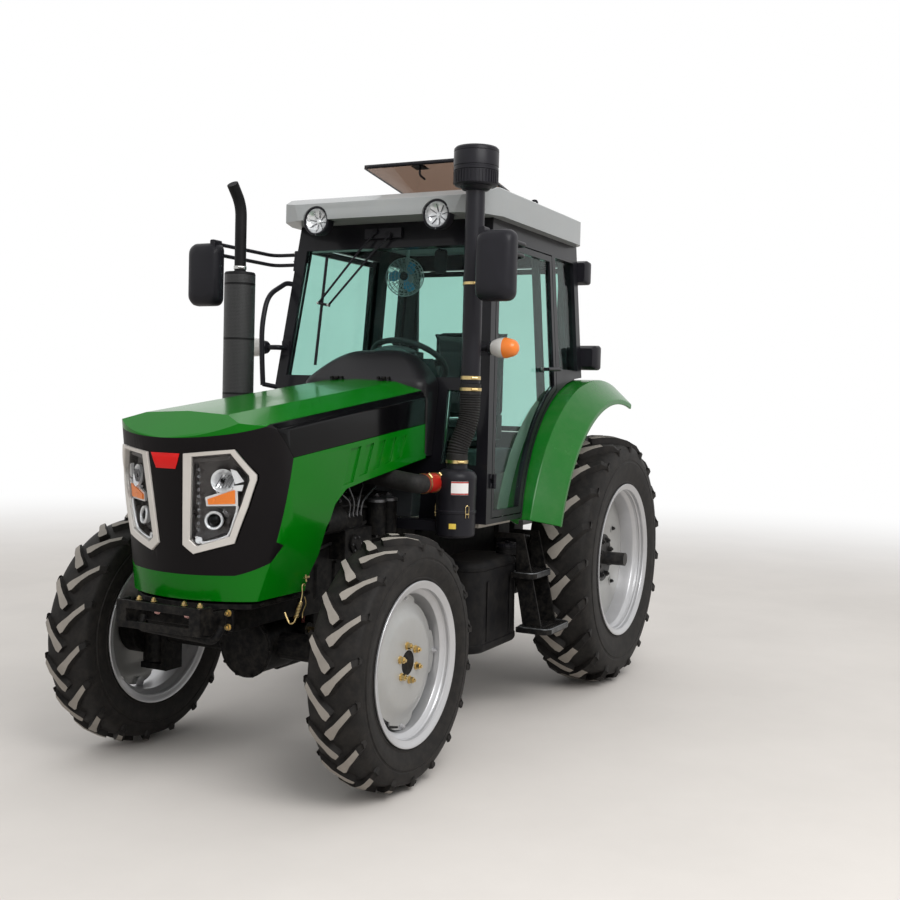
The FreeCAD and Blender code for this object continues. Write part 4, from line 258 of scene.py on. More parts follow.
class Piece:
    """Collects solids in one bmesh; lengths in millimetres from the rear axle."""

    def __init__(self):
        self.bm = bmesh.new()
        self.index = 0

    def paint(self, index):
        self.index = index
        return self

    def face(self, verts):
        try:
            f = self.bm.faces.new(verts)
        except ValueError:
            return None
        f.material_index = self.index
        return f

    def vert(self, p):
        return self.bm.verts.new(P(*p))

    def loft(self, rings, closed=True, caps=True, round_=False):
        """Skin a list of rings of the same length."""
        rows = [[self.vert(p) for p in ring] for ring in rings]
        n = len(rows[0])
        pairs = list(zip(rows, rows[1:] + rows[:1])) if round_ else list(zip(rows, rows[1:]))
        for a, b in pairs:
            for i in range(n if closed else n - 1):
                j = (i + 1) % n
                self.face([a[i], a[j], b[j], b[i]])
        if caps and not round_:
            self.face(rows[0][::-1])
            self.face(rows[-1])
        return self

    def box(self, x, y, z):
        ring = lambda k: [(x[0], y[0], z[k]), (x[1], y[0], z[k]), (x[1], y[1], z[k]), (x[0], y[1], z[k])]
        return self.loft([ring(0), ring(1)])

    def tube(self, points, radius, sides=12, caps=True, close=False):
        """A round bar along points; radius is one number or one for each point."""
        pts = [Vector(p) for p in points]
        radii = radius if isinstance(radius, (list, tuple)) else [radius] * len(pts)
        rings, up = [], None
        n = len(pts)
        for i, p in enumerate(pts):
            ahead = pts[(i + 1) % n] if close or i < n - 1 else p
            behind = pts[i - 1] if close or i else p
            d = (ahead - behind).normalized()
            if up is None:
                up = d.orthogonal().normalized()
            up = (up - d * up.dot(d)).normalized()
            side = d.cross(up)
            rings.append([tuple(p + (up * math.cos(a) + side * math.sin(a)) * radii[i])
                          for a in [2 * math.pi * k / sides for k in range(sides)]])
        return self.loft(rings, caps=caps, round_=close)

    def lathe(self, centre, axis, profile, steps=48, first=0.0, last=360.0, close=True):
        """Turn (along, radius) points about an axis through centre."""
        axis = Vector(axis).normalized()
        u = axis.orthogonal().normalized()
        w = axis.cross(u)
        c = Vector(centre)
        whole = abs(last - first - 360) < 1e-6
        count = steps if whole else steps + 1
        rings = []
        for i in range(count):
            a = math.radians(first + (last - first) * i / steps)
            d = u * math.cos(a) + w * math.sin(a)
            rings.append([tuple(c + axis * s + d * r) for s, r in profile])
        return self.loft(rings, closed=close, caps=not whole, round_=whole)

    def disc(self, centre, axis, radius, thick, sides=24, bore=0.0):
        if bore:
            return self.lathe(centre, axis, [(0, bore), (0, radius), (thick, radius), (thick, bore)], sides)
        a = Vector(centre)
        b = a + Vector(axis).normalized() * thick
        return self.tube([tuple(a), tuple(b)], radius, sides)

    def bolt(self, centre, axis, size, tall=None):
        """A hexagon head on a washer, with the stud's end."""
        tall = tall or size * 0.8
        d = Vector(axis).normalized()
        c = Vector(centre)
        self.tube([tuple(c), tuple(c + d * size * 0.15)], size * 0.75, 16)
        self.tube([tuple(c + d * size * 0.15), tuple(c + d * tall)], size * 0.58, 6)
        return self.tube([tuple(c + d * tall), tuple(c + d * tall * 1.4)], size * 0.3, 10)

    def done(self, name, body, materials, **more):
        bmesh.ops.recalc_face_normals(self.bm, faces=self.bm.faces)
        return finished(name, self.bm, body, materials, **more)


def softened(node, width=0.003, angle=30, merge=True):
    """A copy of a CAD node with its flat faces joined and its edges rounded, which stands for the node."""
    bm = bmesh.new()
    bm.from_mesh(NODES[node].data)
    bmesh.ops.remove_doubles(bm, verts=bm.verts, dist=2e-5)
    if merge:
        bmesh.ops.dissolve_limit(bm, angle_limit=math.radians(0.6), verts=bm.verts, edges=bm.edges)
    return finished(node + "_soft", bm, BODY_OF[node], SLOTS[SLOT_OF[node]], slot=SLOT_OF[node], bevel=width,
                    smooth=angle, replaces=[node])


SOFT = {
    "hood_top": 0.006, "hood_stripes": 0.004, "hood_sides": 0.005, "nose_band": 0.005, "cab_frame": 0.006,
    "door_frame_left": 0.004, "door_frame_right": 0.004, "rear_window_frame": 0.004, "roof": 0.012,
    "fenders": 0.005, "front_support": 0.004, "weight_bracket": 0.003, "engine_block": 0.008,
    "engine_auxiliaries": 0.004, "gearbox": 0.010, "rear_axle_housing": 0.008, "front_axle": 0.006,
    "knuckle_left": 0.005, "knuckle_right": 0.005, "cab_floor": 0.006, "dash": 0.015,
    "steps": 0.003, "drawbar": 0.004,
    "lower_links": 0.004, "lift_arms": 0.004, "lift_rods": 0.003, "top_link": 0.003, "roof_hatch": 0.005,
    "nose_panel": 0.004, "radiator": 0.004,
}
for node, width in SOFT.items():
    softened(node, width)


# Wheels
# Columns: side's sign, axle x, centre plane y, tyre radius, width, flange radius, rim width, lugs to a side, first
# lug's angle, lug height.
WHEELS = {
    "front": (2206, 647, 509, 236, 330, 218, 18, -1.5, 24),
    "rear": (0, 705, 690, 350, 423, 334, 20, 7.5, 33),
}


def carcass_radius(y, half, radius, lug):
    """The tyre's radius between the lugs, at a distance from its centre plane."""
    t = min(1.0, abs(y) / half)
    return radius - lug - 0.045 * radius * t ** 2.4


def tyre(axle, sign):
    x0, y0, radius, width, flange, rim_width, count, first, lug = WHEELS[axle]
    half = width / 2
    rise = radius - flange
    bead = rim_width / 2 - 9.6
    body = "%s_wheel_%s" % (axle, "left" if sign > 0 else "right")
    section = [(bead, flange - 23.4), (bead, flange + 4), (bead + 3, flange + 9), (bead + 1, flange + 14),
               (half - 5, flange + 0.28 * rise), (half - 2, flange + 0.36 * rise),
               (half - 1.5, flange + 0.45 * rise), (half - 5, flange + 0.46 * rise),
               (half - 6, flange + 0.50 * rise), (half - 3.5, flange + 0.51 * rise),
               (half - 6, flange + 0.62 * rise), (half * 0.90, radius - lug - 0.075 * rise - 10),
               (half * 0.84, carcass_radius(half * 0.84, half, radius, lug))]
    for share in (0.7, 0.5, 0.3, 0.1):
        section.append((half * share, carcass_radius(half * share, half, radius, lug)))
    section += [(-y, r) for y, r in reversed(section)]
    p = Piece()
    p.lathe((x0, sign * y0, radius), (0, 1, 0), section, 120, close=True)

    def at(y, along, r, side):
        a = math.radians(first_angle) + along / radius
        return (x0 + r * math.cos(a), sign * y0 + side * sign * y, radius + r * math.sin(a))

    # Columns: across from the centre plane, along the tread, drop from the tip, half width, as shares of the tyre's
    # half width, then whether the face is worn pale.
    path = [(-0.07, -0.06, 0.0, 0.150), (0.02, 0.02, 0.0, 0.185), (0.14, 0.16, 0.0, 0.160),
            (0.30, 0.34, 0.004, 0.120), (0.52, 0.58, 0.010, 0.112), (0.80, 0.90, 0.034, 0.112),
            (0.955, 1.03, 0.090, 0.112)]
    pale_until = 5 if axle == "front" else 4
    for side in (1, -1):
        for k in range(count):
            first_angle = first + (k + (0.0 if side > 0 else 0.45)) * 360 / count
            rows = []
            for i, (across, along, drop, wide) in enumerate(path):
                a = path[max(i - 1, 0)]
                b = path[min(i + 1, len(path) - 1)]
                d = Vector((b[0] - a[0], b[1] - a[1])).normalized()
                n = Vector((-d.y, d.x))
                if i >= len(path) - 2:
                    n = Vector((-0.35, 1.0)).normalized()
                top_r = radius * (1 - drop)
                y_, s_, w_ = across * half, along * half, wide * half * 0.93
                low_r = carcass_radius(y_, half, radius, lug) - 4
                foot = w_ + 0.30 * (top_r - low_r)
                rows.append([
                    at(y_ + n.x * foot, s_ + n.y * foot, low_r, side),
                             at(y_ + n.x * w_, s_ + n.y * w_, top_r, side),
                             at(y_ - n.x * w_, s_ - n.y * w_, top_r, side),
                             at(y_ - n.x * foot, s_ - n.y * foot, low_r, side)])
            # The buttress below the shoulder, on the sidewall.
            w_ = 0.112 * half * 0.93
            s_ = 1.03 * half
            for drop, out, narrow in ((0.17, 0.985, 0.95), (0.30, 0.965, 0.70)):
                r_ = radius - drop * rise * 1.15
                ww = w_ * narrow
                rows.append([
                    at(out * half - 9, s_ + ww + 6, r_, side), at(out * half, s_ + ww, r_, side),
                    at(out * half, s_ - ww, r_, side), at(out * half - 9, s_ - ww - 6, r_, side)])
            verts = [[p.vert(q) for q in row] for row in rows]
            for i, (a, b) in enumerate(zip(verts, verts[1:])):
                for j in range(3):
                    p.paint(1 if j == 1 and i < pale_until else 0)
                    p.face([a[j], a[j + 1], b[j + 1], b[j]])
            p.paint(0)
            p.face(verts[0][::-1])
            p.face(verts[-1])
    return p.done("tyre_" + body, body, [TYRE, LUG], slot="tyre_rubber", bevel=0.003 if axle == "front" else 0.004,
                  smooth=40, replaces=["%s_tyre_%s" % (axle, body.split("_")[-1])])


def rim(axle, sign):
    x0, y0, radius, width, flange, rim_width, count, first, lug = WHEELS[axle]
    h = rim_width / 2
    body = "%s_wheel_%s" % (axle, "left" if sign > 0 else "right")
    seat, well = flange - 24, flange - 46
    outer = [(-h, flange - 2), (-h + 2, flange), (-h + 8, flange - 1), (-h + 9, seat), (-h * 0.72, seat),
             (-h * 0.62, well), (h * 0.62, well), (h * 0.72, seat), (h - 9, seat), (h - 8, flange - 1),
             (h - 2, flange), (h, flange - 2)]
    inner = [(h - 1, flange - 9), (h - 6, flange - 18), (h - 10, seat - 7), (h - 17, seat - 9), (h - 22, seat - 5),
             (h - 30, seat - 6), (h - 36, seat - 11), (h - 42, seat - 8), (h * 0.68, seat - 11),
             (h * 0.60, well - 6), (h * 0.56, well - 9), (0, well - 9)]
    inner += [(-y, r) for y, r in reversed(inner[:-1])]
    c = (x0, sign * y0, radius)
    p = Piece()
    p.lathe(c, (0, sign, 0), outer + inner, 96)
    off = 54 if axle == "front" else 17
    edge = well - 9
    if axle == "front":
        # A domed disc whose edge is scalloped, and the lugs in the barrel that it is bolted to.
        steps = 144
        rings = []
        dome = [(50, 8), (58, 9), (110, 9), (168, 8), (186, 4), (206, -6), (226, -14), (240, -16)]
        for i in range(steps):
            a = 2 * math.pi * i / steps
            lobe = max(0.0, math.cos(4 * a)) ** 0.35
            out_r = 240 + 30 * lobe
            row = [(r, t) for r, t in dome] + [(out_r, -18)]
            ring = [(r, off + t) for r, t in row] + [(r, off + t - 7) for r, t in reversed(row)]
            rings.append([(x0 + r * math.cos(a), sign * (y0 + t), radius + r * math.sin(a)) for r, t in ring])
        p.paint(1).loft(rings, round_=True)
        for k in range(4):
            a = math.pi / 2 * k
            place = (x0 + 258 * math.cos(a), sign * (y0 + off - 17), radius + 258 * math.sin(a))
            p.paint(0)
            base = Vector(place)
            p.tube([tuple(base - Vector((0, sign * 22, 0))), tuple(base)], [24, 16], 16)
            p.paint(0).bolt(tuple(base + Vector((0, sign * 1, 0))), (0, sign, 0), 15)
        p.paint(2)
        for k in range(6):
            a = math.radians(20 + 60 * k)
            p.bolt((x0 + 71 * math.cos(a), sign * (y0 + off + 9), radius + 71 * math.sin(a)), (0, sign, 0), 22, 20)
        p.paint(3).disc((x0, sign * (y0 + off - 4), radius), (0, sign, 0), 47, 6, 32)
    else:
        prof = [(36, 0), (140, 0), (150, 3), (200, 14), (300, 17), (340, 8), (edge, 2)]
        ring = [(off + t - 4, r) for r, t in prof] + [(off + t + 4, r) for r, t in reversed(prof)]
        p.paint(1).lathe(c, (0, sign, 0), ring, 96)
        p.paint(3)
        for k in range(8):
            a = math.radians(22.5 + 45 * k)
            p.bolt((x0 + 102 * math.cos(a), sign * (y0 + off + 25), radius + 102 * math.sin(a)), (0, sign, 0), 24,
                   18)
        for k in range(4):
            a = math.radians(45 + 90 * k)
            q = Vector((x0 + 215 * math.cos(a), sign * (y0 + off + 18), radius + 215 * math.sin(a)))
            p.paint(1).disc(tuple(q), (0, sign, 0), 24, 3, 20)
            p.paint(3).bolt(tuple(q + Vector((0, sign * 2, 0))), (0, sign, 0), 17)
    stem = math.radians(-62)
    q = Vector((x0 + (edge - 14) * math.cos(stem), sign * (y0 + h * 0.5), radius + (edge - 14) * math.sin(stem)))
    p.paint(3).tube([tuple(q), tuple(q + Vector((-6, sign * 34, 4)))], [6, 4], 10)
    return p.done("rim_" + body, body, [RIM, DISC, GOLD, HUB], slot="rim_silver", smooth=30,
                  replaces=["%s_rim_%s" % (axle, body.split("_")[-1])])


for axle in WHEELS:
    for sign in (1, -1):
        tyre(axle, sign)
        rim(axle, sign)


# Surfaces that details are set on

def faces_of(*nodes):
    """A search tree of some CAD nodes' faces."""
    corners, rings = [], []
    for name in nodes:
        obj = NODES[name]
        start = len(corners)
        corners += [obj.matrix_world @ v.co for v in obj.data.vertices]
        rings += [[start + i for i in p.vertices] for p in obj.data.polygons]
    return BVHTree.FromPolygons(corners, rings)


NOSE_FACES = faces_of("nose_panel", "headlamps", "nose_band", "hood_sides")
SIDE_FACES = faces_of("hood_sides", "hood_stripes", "nose_band", "nose_panel")


def on_nose(y, z, depth=0.0):
    """The point of the nose at Y and Z, moved inwards by a depth."""
    hit = NOSE_FACES.ray_cast(P(4000, abs(y), z), Vector((-1, 0, 0)))[0]
    x = hit.x * 1000 + REAR_AXLE_X if hit else 2700
    lean = -0.5 if y > 0 else 0.5
    return (x - 0.86 * depth, y + lean * depth * min(1.0, abs(y) / 150), z)


def on_side(x, z, out=0.0):
    """The point of the hood's left side at X and Z, moved outwards."""
    hit = SIDE_FACES.ray_cast(P(x, 2000, z), Vector((0, -1, 0)))[0]
    return (x, (hit.y * 1000 if hit else 360) + out, z)


TAN_SIDE = math.tan(math.radians(4.19))
TAN_FRONT = math.tan(math.radians(8.67))


def on_cab_side(x, z, out=0.0):
    return (x, 725 - z * TAN_SIDE + out, z)


def on_screen(y, z, out=0.0):
    return (1535 - z * TAN_FRONT + out, y, z)


def rounded(cy, cz, hy, hz, r, steps=6):
    """Corners of a rounded rectangle, as (Y, Z)."""
    out = []
    for k, (sy, sz) in enumerate(((1, 1), (-1, 1), (-1, -1), (1, -1))):
        for i in range(steps + 1):
            a = math.radians(90 * k + 90 * i / steps)
            out.append((cy + sy * (hy - r) + r * math.cos(a), cz + sz * (hz - r) + r * math.sin(a)))
    return out


def smooth_path(points, steps=8, radius=40.0):
    """Points along a chain whose corners are rounded."""
    pts = [Vector(p) for p in points]
    out = [tuple(pts[0])]
    for a, b, c in zip(pts, pts[1:], pts[2:]):
        cut = min(radius, (a - b).length * 0.49, (c - b).length * 0.49)
        p, q = b + (a - b).normalized() * cut, b + (c - b).normalized() * cut
        for i in range(steps + 1):
            t = i / steps
            out.append(tuple(p * (1 - t) ** 2 + b * 2 * t * (1 - t) + q * t * t))
    out.append(tuple(pts[-1]))
    return out


def clamp(p, centre, axis, radius, width=14, head=True):
    """A band clamp with its screw."""
    p.lathe(centre, axis, [(-width / 2, radius), (-width / 2, radius + 2.5), (width / 2, radius + 2.5),
                           (width / 2, radius)], 40)
    if head:
        a = Vector(axis).normalized()
        side = a.orthogonal().normalized()
        if abs(side.z) > 0.9:
            side = a.cross(side)
        c = Vector(centre) + side * (radius + 7)
        p.tube([tuple(c - a.cross(side) * 13), tuple(c + a.cross(side) * 13)], 6, 10)


# Headlamps: a frame, a dark bowl with its lights, and a clear cover, on the nose's surface.
LAMP_INNER = material("lamp_bowl", (0.050, 0.044, 0.042), rough=0.30, coat=0.3, spread=0.12, scale=20.0)
DIM = material("dim_lens", (0.10, 0.10, 0.105), rough=0.2, coat=0.5)
LAMP_OUTER = [(85, 1332), (268, 1353), (323, 1258), (322, 1239), (296, 1136), (251, 999), (100, 953), (57, 986)]
LAMP_OPENING = [(120, 1320), (254, 1336), (302, 1256), (303, 1238), (277, 1146), (234, 1026), (116, 985),
                (90, 1008)]
LAMP_MIDDLE = (190, 1160)


def lamp_ring(share, depth, scale=1.0):
    """A ring between the lamp's outline and its opening, at a depth below the nose."""
    out = []
    n = len(LAMP_OUTER)
    for i in range(n):
        for k in range(6):
            t = k / 6
            a = [LAMP_OUTER[i][j] * (1 - t) + LAMP_OUTER[(i + 1) % n][j] * t for j in (0, 1)]
            b = [LAMP_OPENING[i][j] * (1 - t) + LAMP_OPENING[(i + 1) % n][j] * t for j in (0, 1)]
            y, z = [LAMP_MIDDLE[j] + (a[j] * (1 - share) + b[j] * share - LAMP_MIDDLE[j]) * scale for j in (0, 1)]
            out.append(on_nose(y, z, depth))
    return out


def lamp_plate(p, ring, depth, thick):
    """A flat piece inside the lamp, by its corners."""
    return p.loft([[on_nose(y, z, depth + thick) for y, z in ring], [on_nose(y, z, depth) for y, z in ring]])


def headlamps():
    p = Piece()
    p.paint(0).loft([lamp_ring(0.02, 26), lamp_ring(0.02, 2), lamp_ring(0.08, -1), lamp_ring(0.90, 2),
                     lamp_ring(0.98, 6), lamp_ring(1.0, 24)], caps=False)
    p.paint(1).loft([lamp_ring(1.0, 24), lamp_ring(1.0, 26, 0.97), lamp_ring(1.0, 56, 0.93),
                     lamp_ring(1.0, 66, 0.80), lamp_ring(1.0, 70, 0.35), lamp_ring(1.0, 71, 0.01)], caps=False)
    out = (0.86, 0.5, 0.08)
    # Upper reflector with its bulb and ribs.
    p.paint(2).lathe(on_nose(222, 1232, 44), out,
                     [(-6, 0.5), (-5, 16), (2, 32), (12, 41), (14, 44), (4, 44), (-8, 30), (-12, 0.5)], 28)
    for k in range(5):
        y = 194 + 11 * k
        p.paint(5)
        lamp_plate(p, [(y, 1208), (y + 4, 1208), (y + 30, 1256), (y + 26, 1256)], 32, 8)
    p.paint(3).lathe(on_nose(222, 1232, 42), out, [(0, 0.5), (0, 11), (6, 9), (12, 4), (12, 0.5)], 16)
    for k in range(4):
        p.paint(2)
        lamp_plate(p, [(196 + 11 * k, 1196), (199 + 11 * k, 1196), (209 + 11 * k, 1176), (206 + 11 * k, 1176)], 26,
                   14)
    lamp_plate(p, [(250, 1278), (268, 1272), (288, 1232), (262, 1222)], 22, 12)
    lamp_plate(p, [(256, 1216), (286, 1220), (280, 1196), (254, 1198)], 20, 10)
    # Turn light in its bright surround.
    lamp_plate(p, [(158, 1170), (268, 1212), (266, 1140), (160, 1136)], 24, 10)
    p.paint(4)
    lamp_plate(p, [(166, 1163), (260, 1201), (258, 1148), (168, 1143)], 19, 12)
    # Lower projector: a bright ring about a dark lens.
    p.paint(2).lathe(on_nose(183, 1082, 34), out, [(-14, 20), (-14, 33), (4, 36), (10, 33), (8, 27), (-4, 24)], 32)
    p.paint(3).lathe(on_nose(183, 1082, 34), out, [(-10, 0.5), (-10, 25), (-2, 24), (6, 17), (10, 8), (11, 0.5)],
                     28)
    # Row of small lights on the inner side, and the light guide that hooks round below.
    for k in range(10):
        t = k / 9
        p.paint(5).disc(on_nose(138 - 18 * t, 1272 - 228 * t, 40), out, 6, 4, 12)
    p.paint(2).tube([on_nose(y, z, 22) for y,
                     z in ((112, 1020), (118, 1002), (140, 996), (190, 1008), (228, 1026), (240, 1048),
                                                   (262, 1120), (264, 1140))], 5.5, 10)
    p.disc(on_nose(122, 1006, 26), out, 13, 8, 16)
    p.paint(1)
    lamp_plate(p, [(118, 1313), (250, 1328), (246, 1312), (124, 1298)], 26, 8)
    p.done("headlamp_pair", "hood", [FRAME_SILVER, LAMP_INNER, CHROME, BLACK_GLOSS, AMBER, DIM], slot="headlamp",
           smooth=30, mirror=True, replaces=["headlamps"])
    c = Piece()
    c.loft([lamp_ring(1.0, 9), lamp_ring(1.0, 8, 0.7), lamp_ring(1.0, 8, 0.35), lamp_ring(1.0, 8, 0.05),
            lamp_ring(1.0, 11, 0.05), lamp_ring(1.0, 11, 0.35), lamp_ring(1.0, 11, 0.7), lamp_ring(1.0, 12)],
           round_=True)
    c.done("headlamp_covers", "hood", CLEAR, smooth=40, mirror=True)


headlamps()


def open_lamp_pockets():
    """The pocket's floor behind each headlamp gives way to the lamp's own bowl."""
    mesh = bpy.data.objects["nose_panel_soft"].data
    bm = bmesh.new()
    bm.from_mesh(mesh)
    n = len(LAMP_OUTER)

    def inside(y, z):
        y, z, hit = abs(y), z, False
        for i in range(n):
            (y0, z0), (y1, z1) = LAMP_OUTER[i], LAMP_OUTER[(i + 1) % n]
            y0, y1 = [LAMP_MIDDLE[0] + (v - LAMP_MIDDLE[0]) * 1.022 for v in (y0, y1)]
            z0, z1 = [LAMP_MIDDLE[1] + (v - LAMP_MIDDLE[1]) * 1.022 for v in (z0, z1)]
            if (z0 > z) != (z1 > z) and y < (y1 - y0) * (z - z0) / (z1 - z0) + y0:
                hit = not hit
        return hit

    gone = []
    for f in bm.faces:
        spots = [inside(q.y * 1000, q.z * 1000) for q in [v.co for v in f.verts] + [f.calc_center_median()]]
        if (f.normal.x > 0.3 and all(spots)) or (f.normal.x < -0.3 and any(spots)):
            gone.append(f)
    bmesh.ops.delete(bm, geom=gone, context="FACES_ONLY")
    bm.to_mesh(mesh)
    bm.free()


open_lamp_pockets()

# Blank badge on the nose.
badge = Piece()
BADGE = [(-67, 1331), (-34, 1331), (0, 1331), (34, 1331), (67, 1331), (57, 1302), (45, 1273), (0, 1273),
         (-45, 1273), (-57, 1302)]
badge.loft([[on_nose(y, z, 4) for y, z in BADGE], [on_nose(y, z, -3) for y, z in BADGE],
            [on_nose(y * 0.94, 1302 + (z - 1302) * 0.88, -5) for y, z in BADGE]])
badge.done("badge", "hood", RED, smooth=30)


# Lamps on the cab: round work lamps in the roof's front, turn lamps on stalks, boxes at the rear.
def cab_lamps():
    p = Piece()
    c = (1272, 336, 2427)
    p.paint(0).lathe(c, (1, 0, 0), [(-8, 8), (-8, 40), (20, 66), (60, 71), (78, 71.5), (82, 69), (82, 62),
                                    (74, 61), (10, 50), (2, 8)], 48)
    p.paint(1).lathe(c, (1, 0, 0), [(76, 60.5), (62, 52), (52, 36), (48, 16), (47, 0.5), (44, 0.5), (45, 18),
                                    (49, 38), (58, 55), (72, 61)], 48)
    p.lathe((1318, 336, 2427), (1, 0, 0), [(0, 0.5), (14, 0.5), (14, 8), (10, 12), (0, 12)], 16)
    for k in range(8):
        a = math.radians(45 * k + 10)
        near = (1322, 336 + 16 * math.cos(a), 2427 + 16 * math.sin(a))
        p.paint(6).tube([near, (1334, 336 + 52 * math.cos(a), 2427 + 52 * math.sin(a))], 2.2, 6)
    p.paint(2).lathe(c, (1, 0, 0), [(80, 61), (84, 44), (87, 20), (88, 0.5), (84.5, 0.5), (83.5, 20), (80.5, 44),
                                    (77, 60.5)], 40)
    for k in range(3):
        a = math.radians(30 + 120 * k)
        p.paint(1).disc((1350, 336 + 66 * math.cos(a), 2427 + 66 * math.sin(a)), (1, 0, 0), 4, 4, 10)
    # Turn lamp: stalk, clear base and amber dome.
    t = (1335, 640, 1801)
    p.paint(0).tube(smooth_path([(1255, 565, 1801), (1330, 565, 1801), (1330, 640, 1801)], 6, 26), 13, 14)
    p.box((1246, 1266), (543, 587), (1765, 1837))
    p.lathe(t, (0, 1, 0), [(-15, 0.5), (-15, 26), (-8, 32), (2, 34), (2, 0.5)], 36)
    p.paint(5).lathe(t, (0, 1, 0), [(2, 34), (30, 45), (58, 47.5), (62, 47.5), (62, 0.5), (2, 0.5)], 40)
    p.paint(3).lathe(t, (0, 1, 0), [(62, 0.5), (62, 47.5), (70, 47.5), (104, 39), (118, 31), (126, 20), (129.5, 9),
                                    (130, 0.5)], 40)
    # Upper rear boxes: work lamps facing back.
    rear = [(-44, 0.86), (-38, 0.96), (10, 1.0), (42, 0.80)]
    p.paint(0).loft([[(x, y, z) for y, z in rounded(550, 2292, 60 * k, 67 * k, 16)] for x, k in rear])
    p.paint(1).loft([[(x, y, z) for y, z in rounded(550, 2292, w, w * 1.1, 12)] for x,
                     w in ((-43.5, 46), (-38, 44))])
    p.paint(2).loft([[(x, y, z) for y, z in rounded(550, 2292, w, w * 1.1, 12)] for x,
                     w in ((-43.9, 47), (-43.6, 47))])
    # Lower rear boxes: red and amber lenses behind a black housing.
    low = [(-56, 0.94), (-30, 1.0), (20, 0.94), (45, 0.72)]
    p.paint(0).loft([[(x, y, z) for y, z in rounded(610, 1815, 70 * k, 70 * k, 14)] for x, k in low])
    for slot_, z0, z1 in ((4, 1753, 1812), (3, 1818, 1874)):
        p.paint(slot_).loft([[(x, y, z) for y, z in rounded(610, (z0 + z1) / 2, w, (z1 - z0) / 2 - d, 8)]
                             for x, w, d in ((-55, 60, 0), (-61, 59, 1), (-63.5, 54, 5))])
    p.done("lamp_set", "tractor", [MOULD, CHROME, CLEAR, AMBER, RED_LENS, LENS_BASE, DIM], slot="lamp_plastic",
           smooth=32, mirror=True, replaces=["lamps"])


LENS_BASE = material("lens_base", (0.62, 0.60, 0.57), rough=0.16, coat=0.8, spread=0.08, scale=30.0)
cab_lamps()


# Mirrors: rounded heads on two bent tubes, held by a bracket on each front post.
def mirrors():
    p = Piece()
    head = [(1609, 0.90, 30), (1613, 0.985, 38), (1624, 1.0, 40), (1650, 0.985, 42), (1670, 0.91, 44),
            (1681, 0.78, 42), (1686, 0.55, 30)]
    p.paint(0).loft([[(x, y, z) for y, z in rounded(785, 2141, 91 * k, 154 * (1 - (1 - k) * 0.7), min(r, 80 * k))]
                     for x, k, r in head])
    p.paint(1).loft([[(x, y, z) for y, z in rounded(785, 2141, 78, 139, 30)] for x in (1608.6, 1612)])
    arm_x = 1156
    for drop, out in ((0, 0), (52, 6)):
        z = 2290 - drop
        p.paint(0).tube(smooth_path([(arm_x, 548, z), (arm_x, 725 - out, z), (1640, 725 - out, z)], 8, 60), 9.5, 14)
    p.tube(smooth_path([(1560, 719, 2238), (1632, 719, 2238), (1636, 719, 2180)], 6, 20), 9.5, 12)
    p.loft([[(x, y, 2205) for x, y in ((1138, 548), (1182, 548), (1176, 588), (1142, 588))],
            [(x, y, 2308) for x, y in ((1138, 540), (1182, 540), (1176, 580), (1142, 580))]])
    p.loft([[(x, y, z) for y, z in rounded(725, 2264, 15, 44, 8)] for x in (1612, 1668)])
    for z in (2216, 2256, 2298):
        p.paint(2).bolt((1160, 584, z), (0, 1, 0.05), 12)
    p.done("mirror_pair", "tractor", [MOULD, MIRROR, BARE], slot="cab_black", bevel=0.002, smooth=35, mirror=True,
           replaces=["mirrors"])


mirrors()


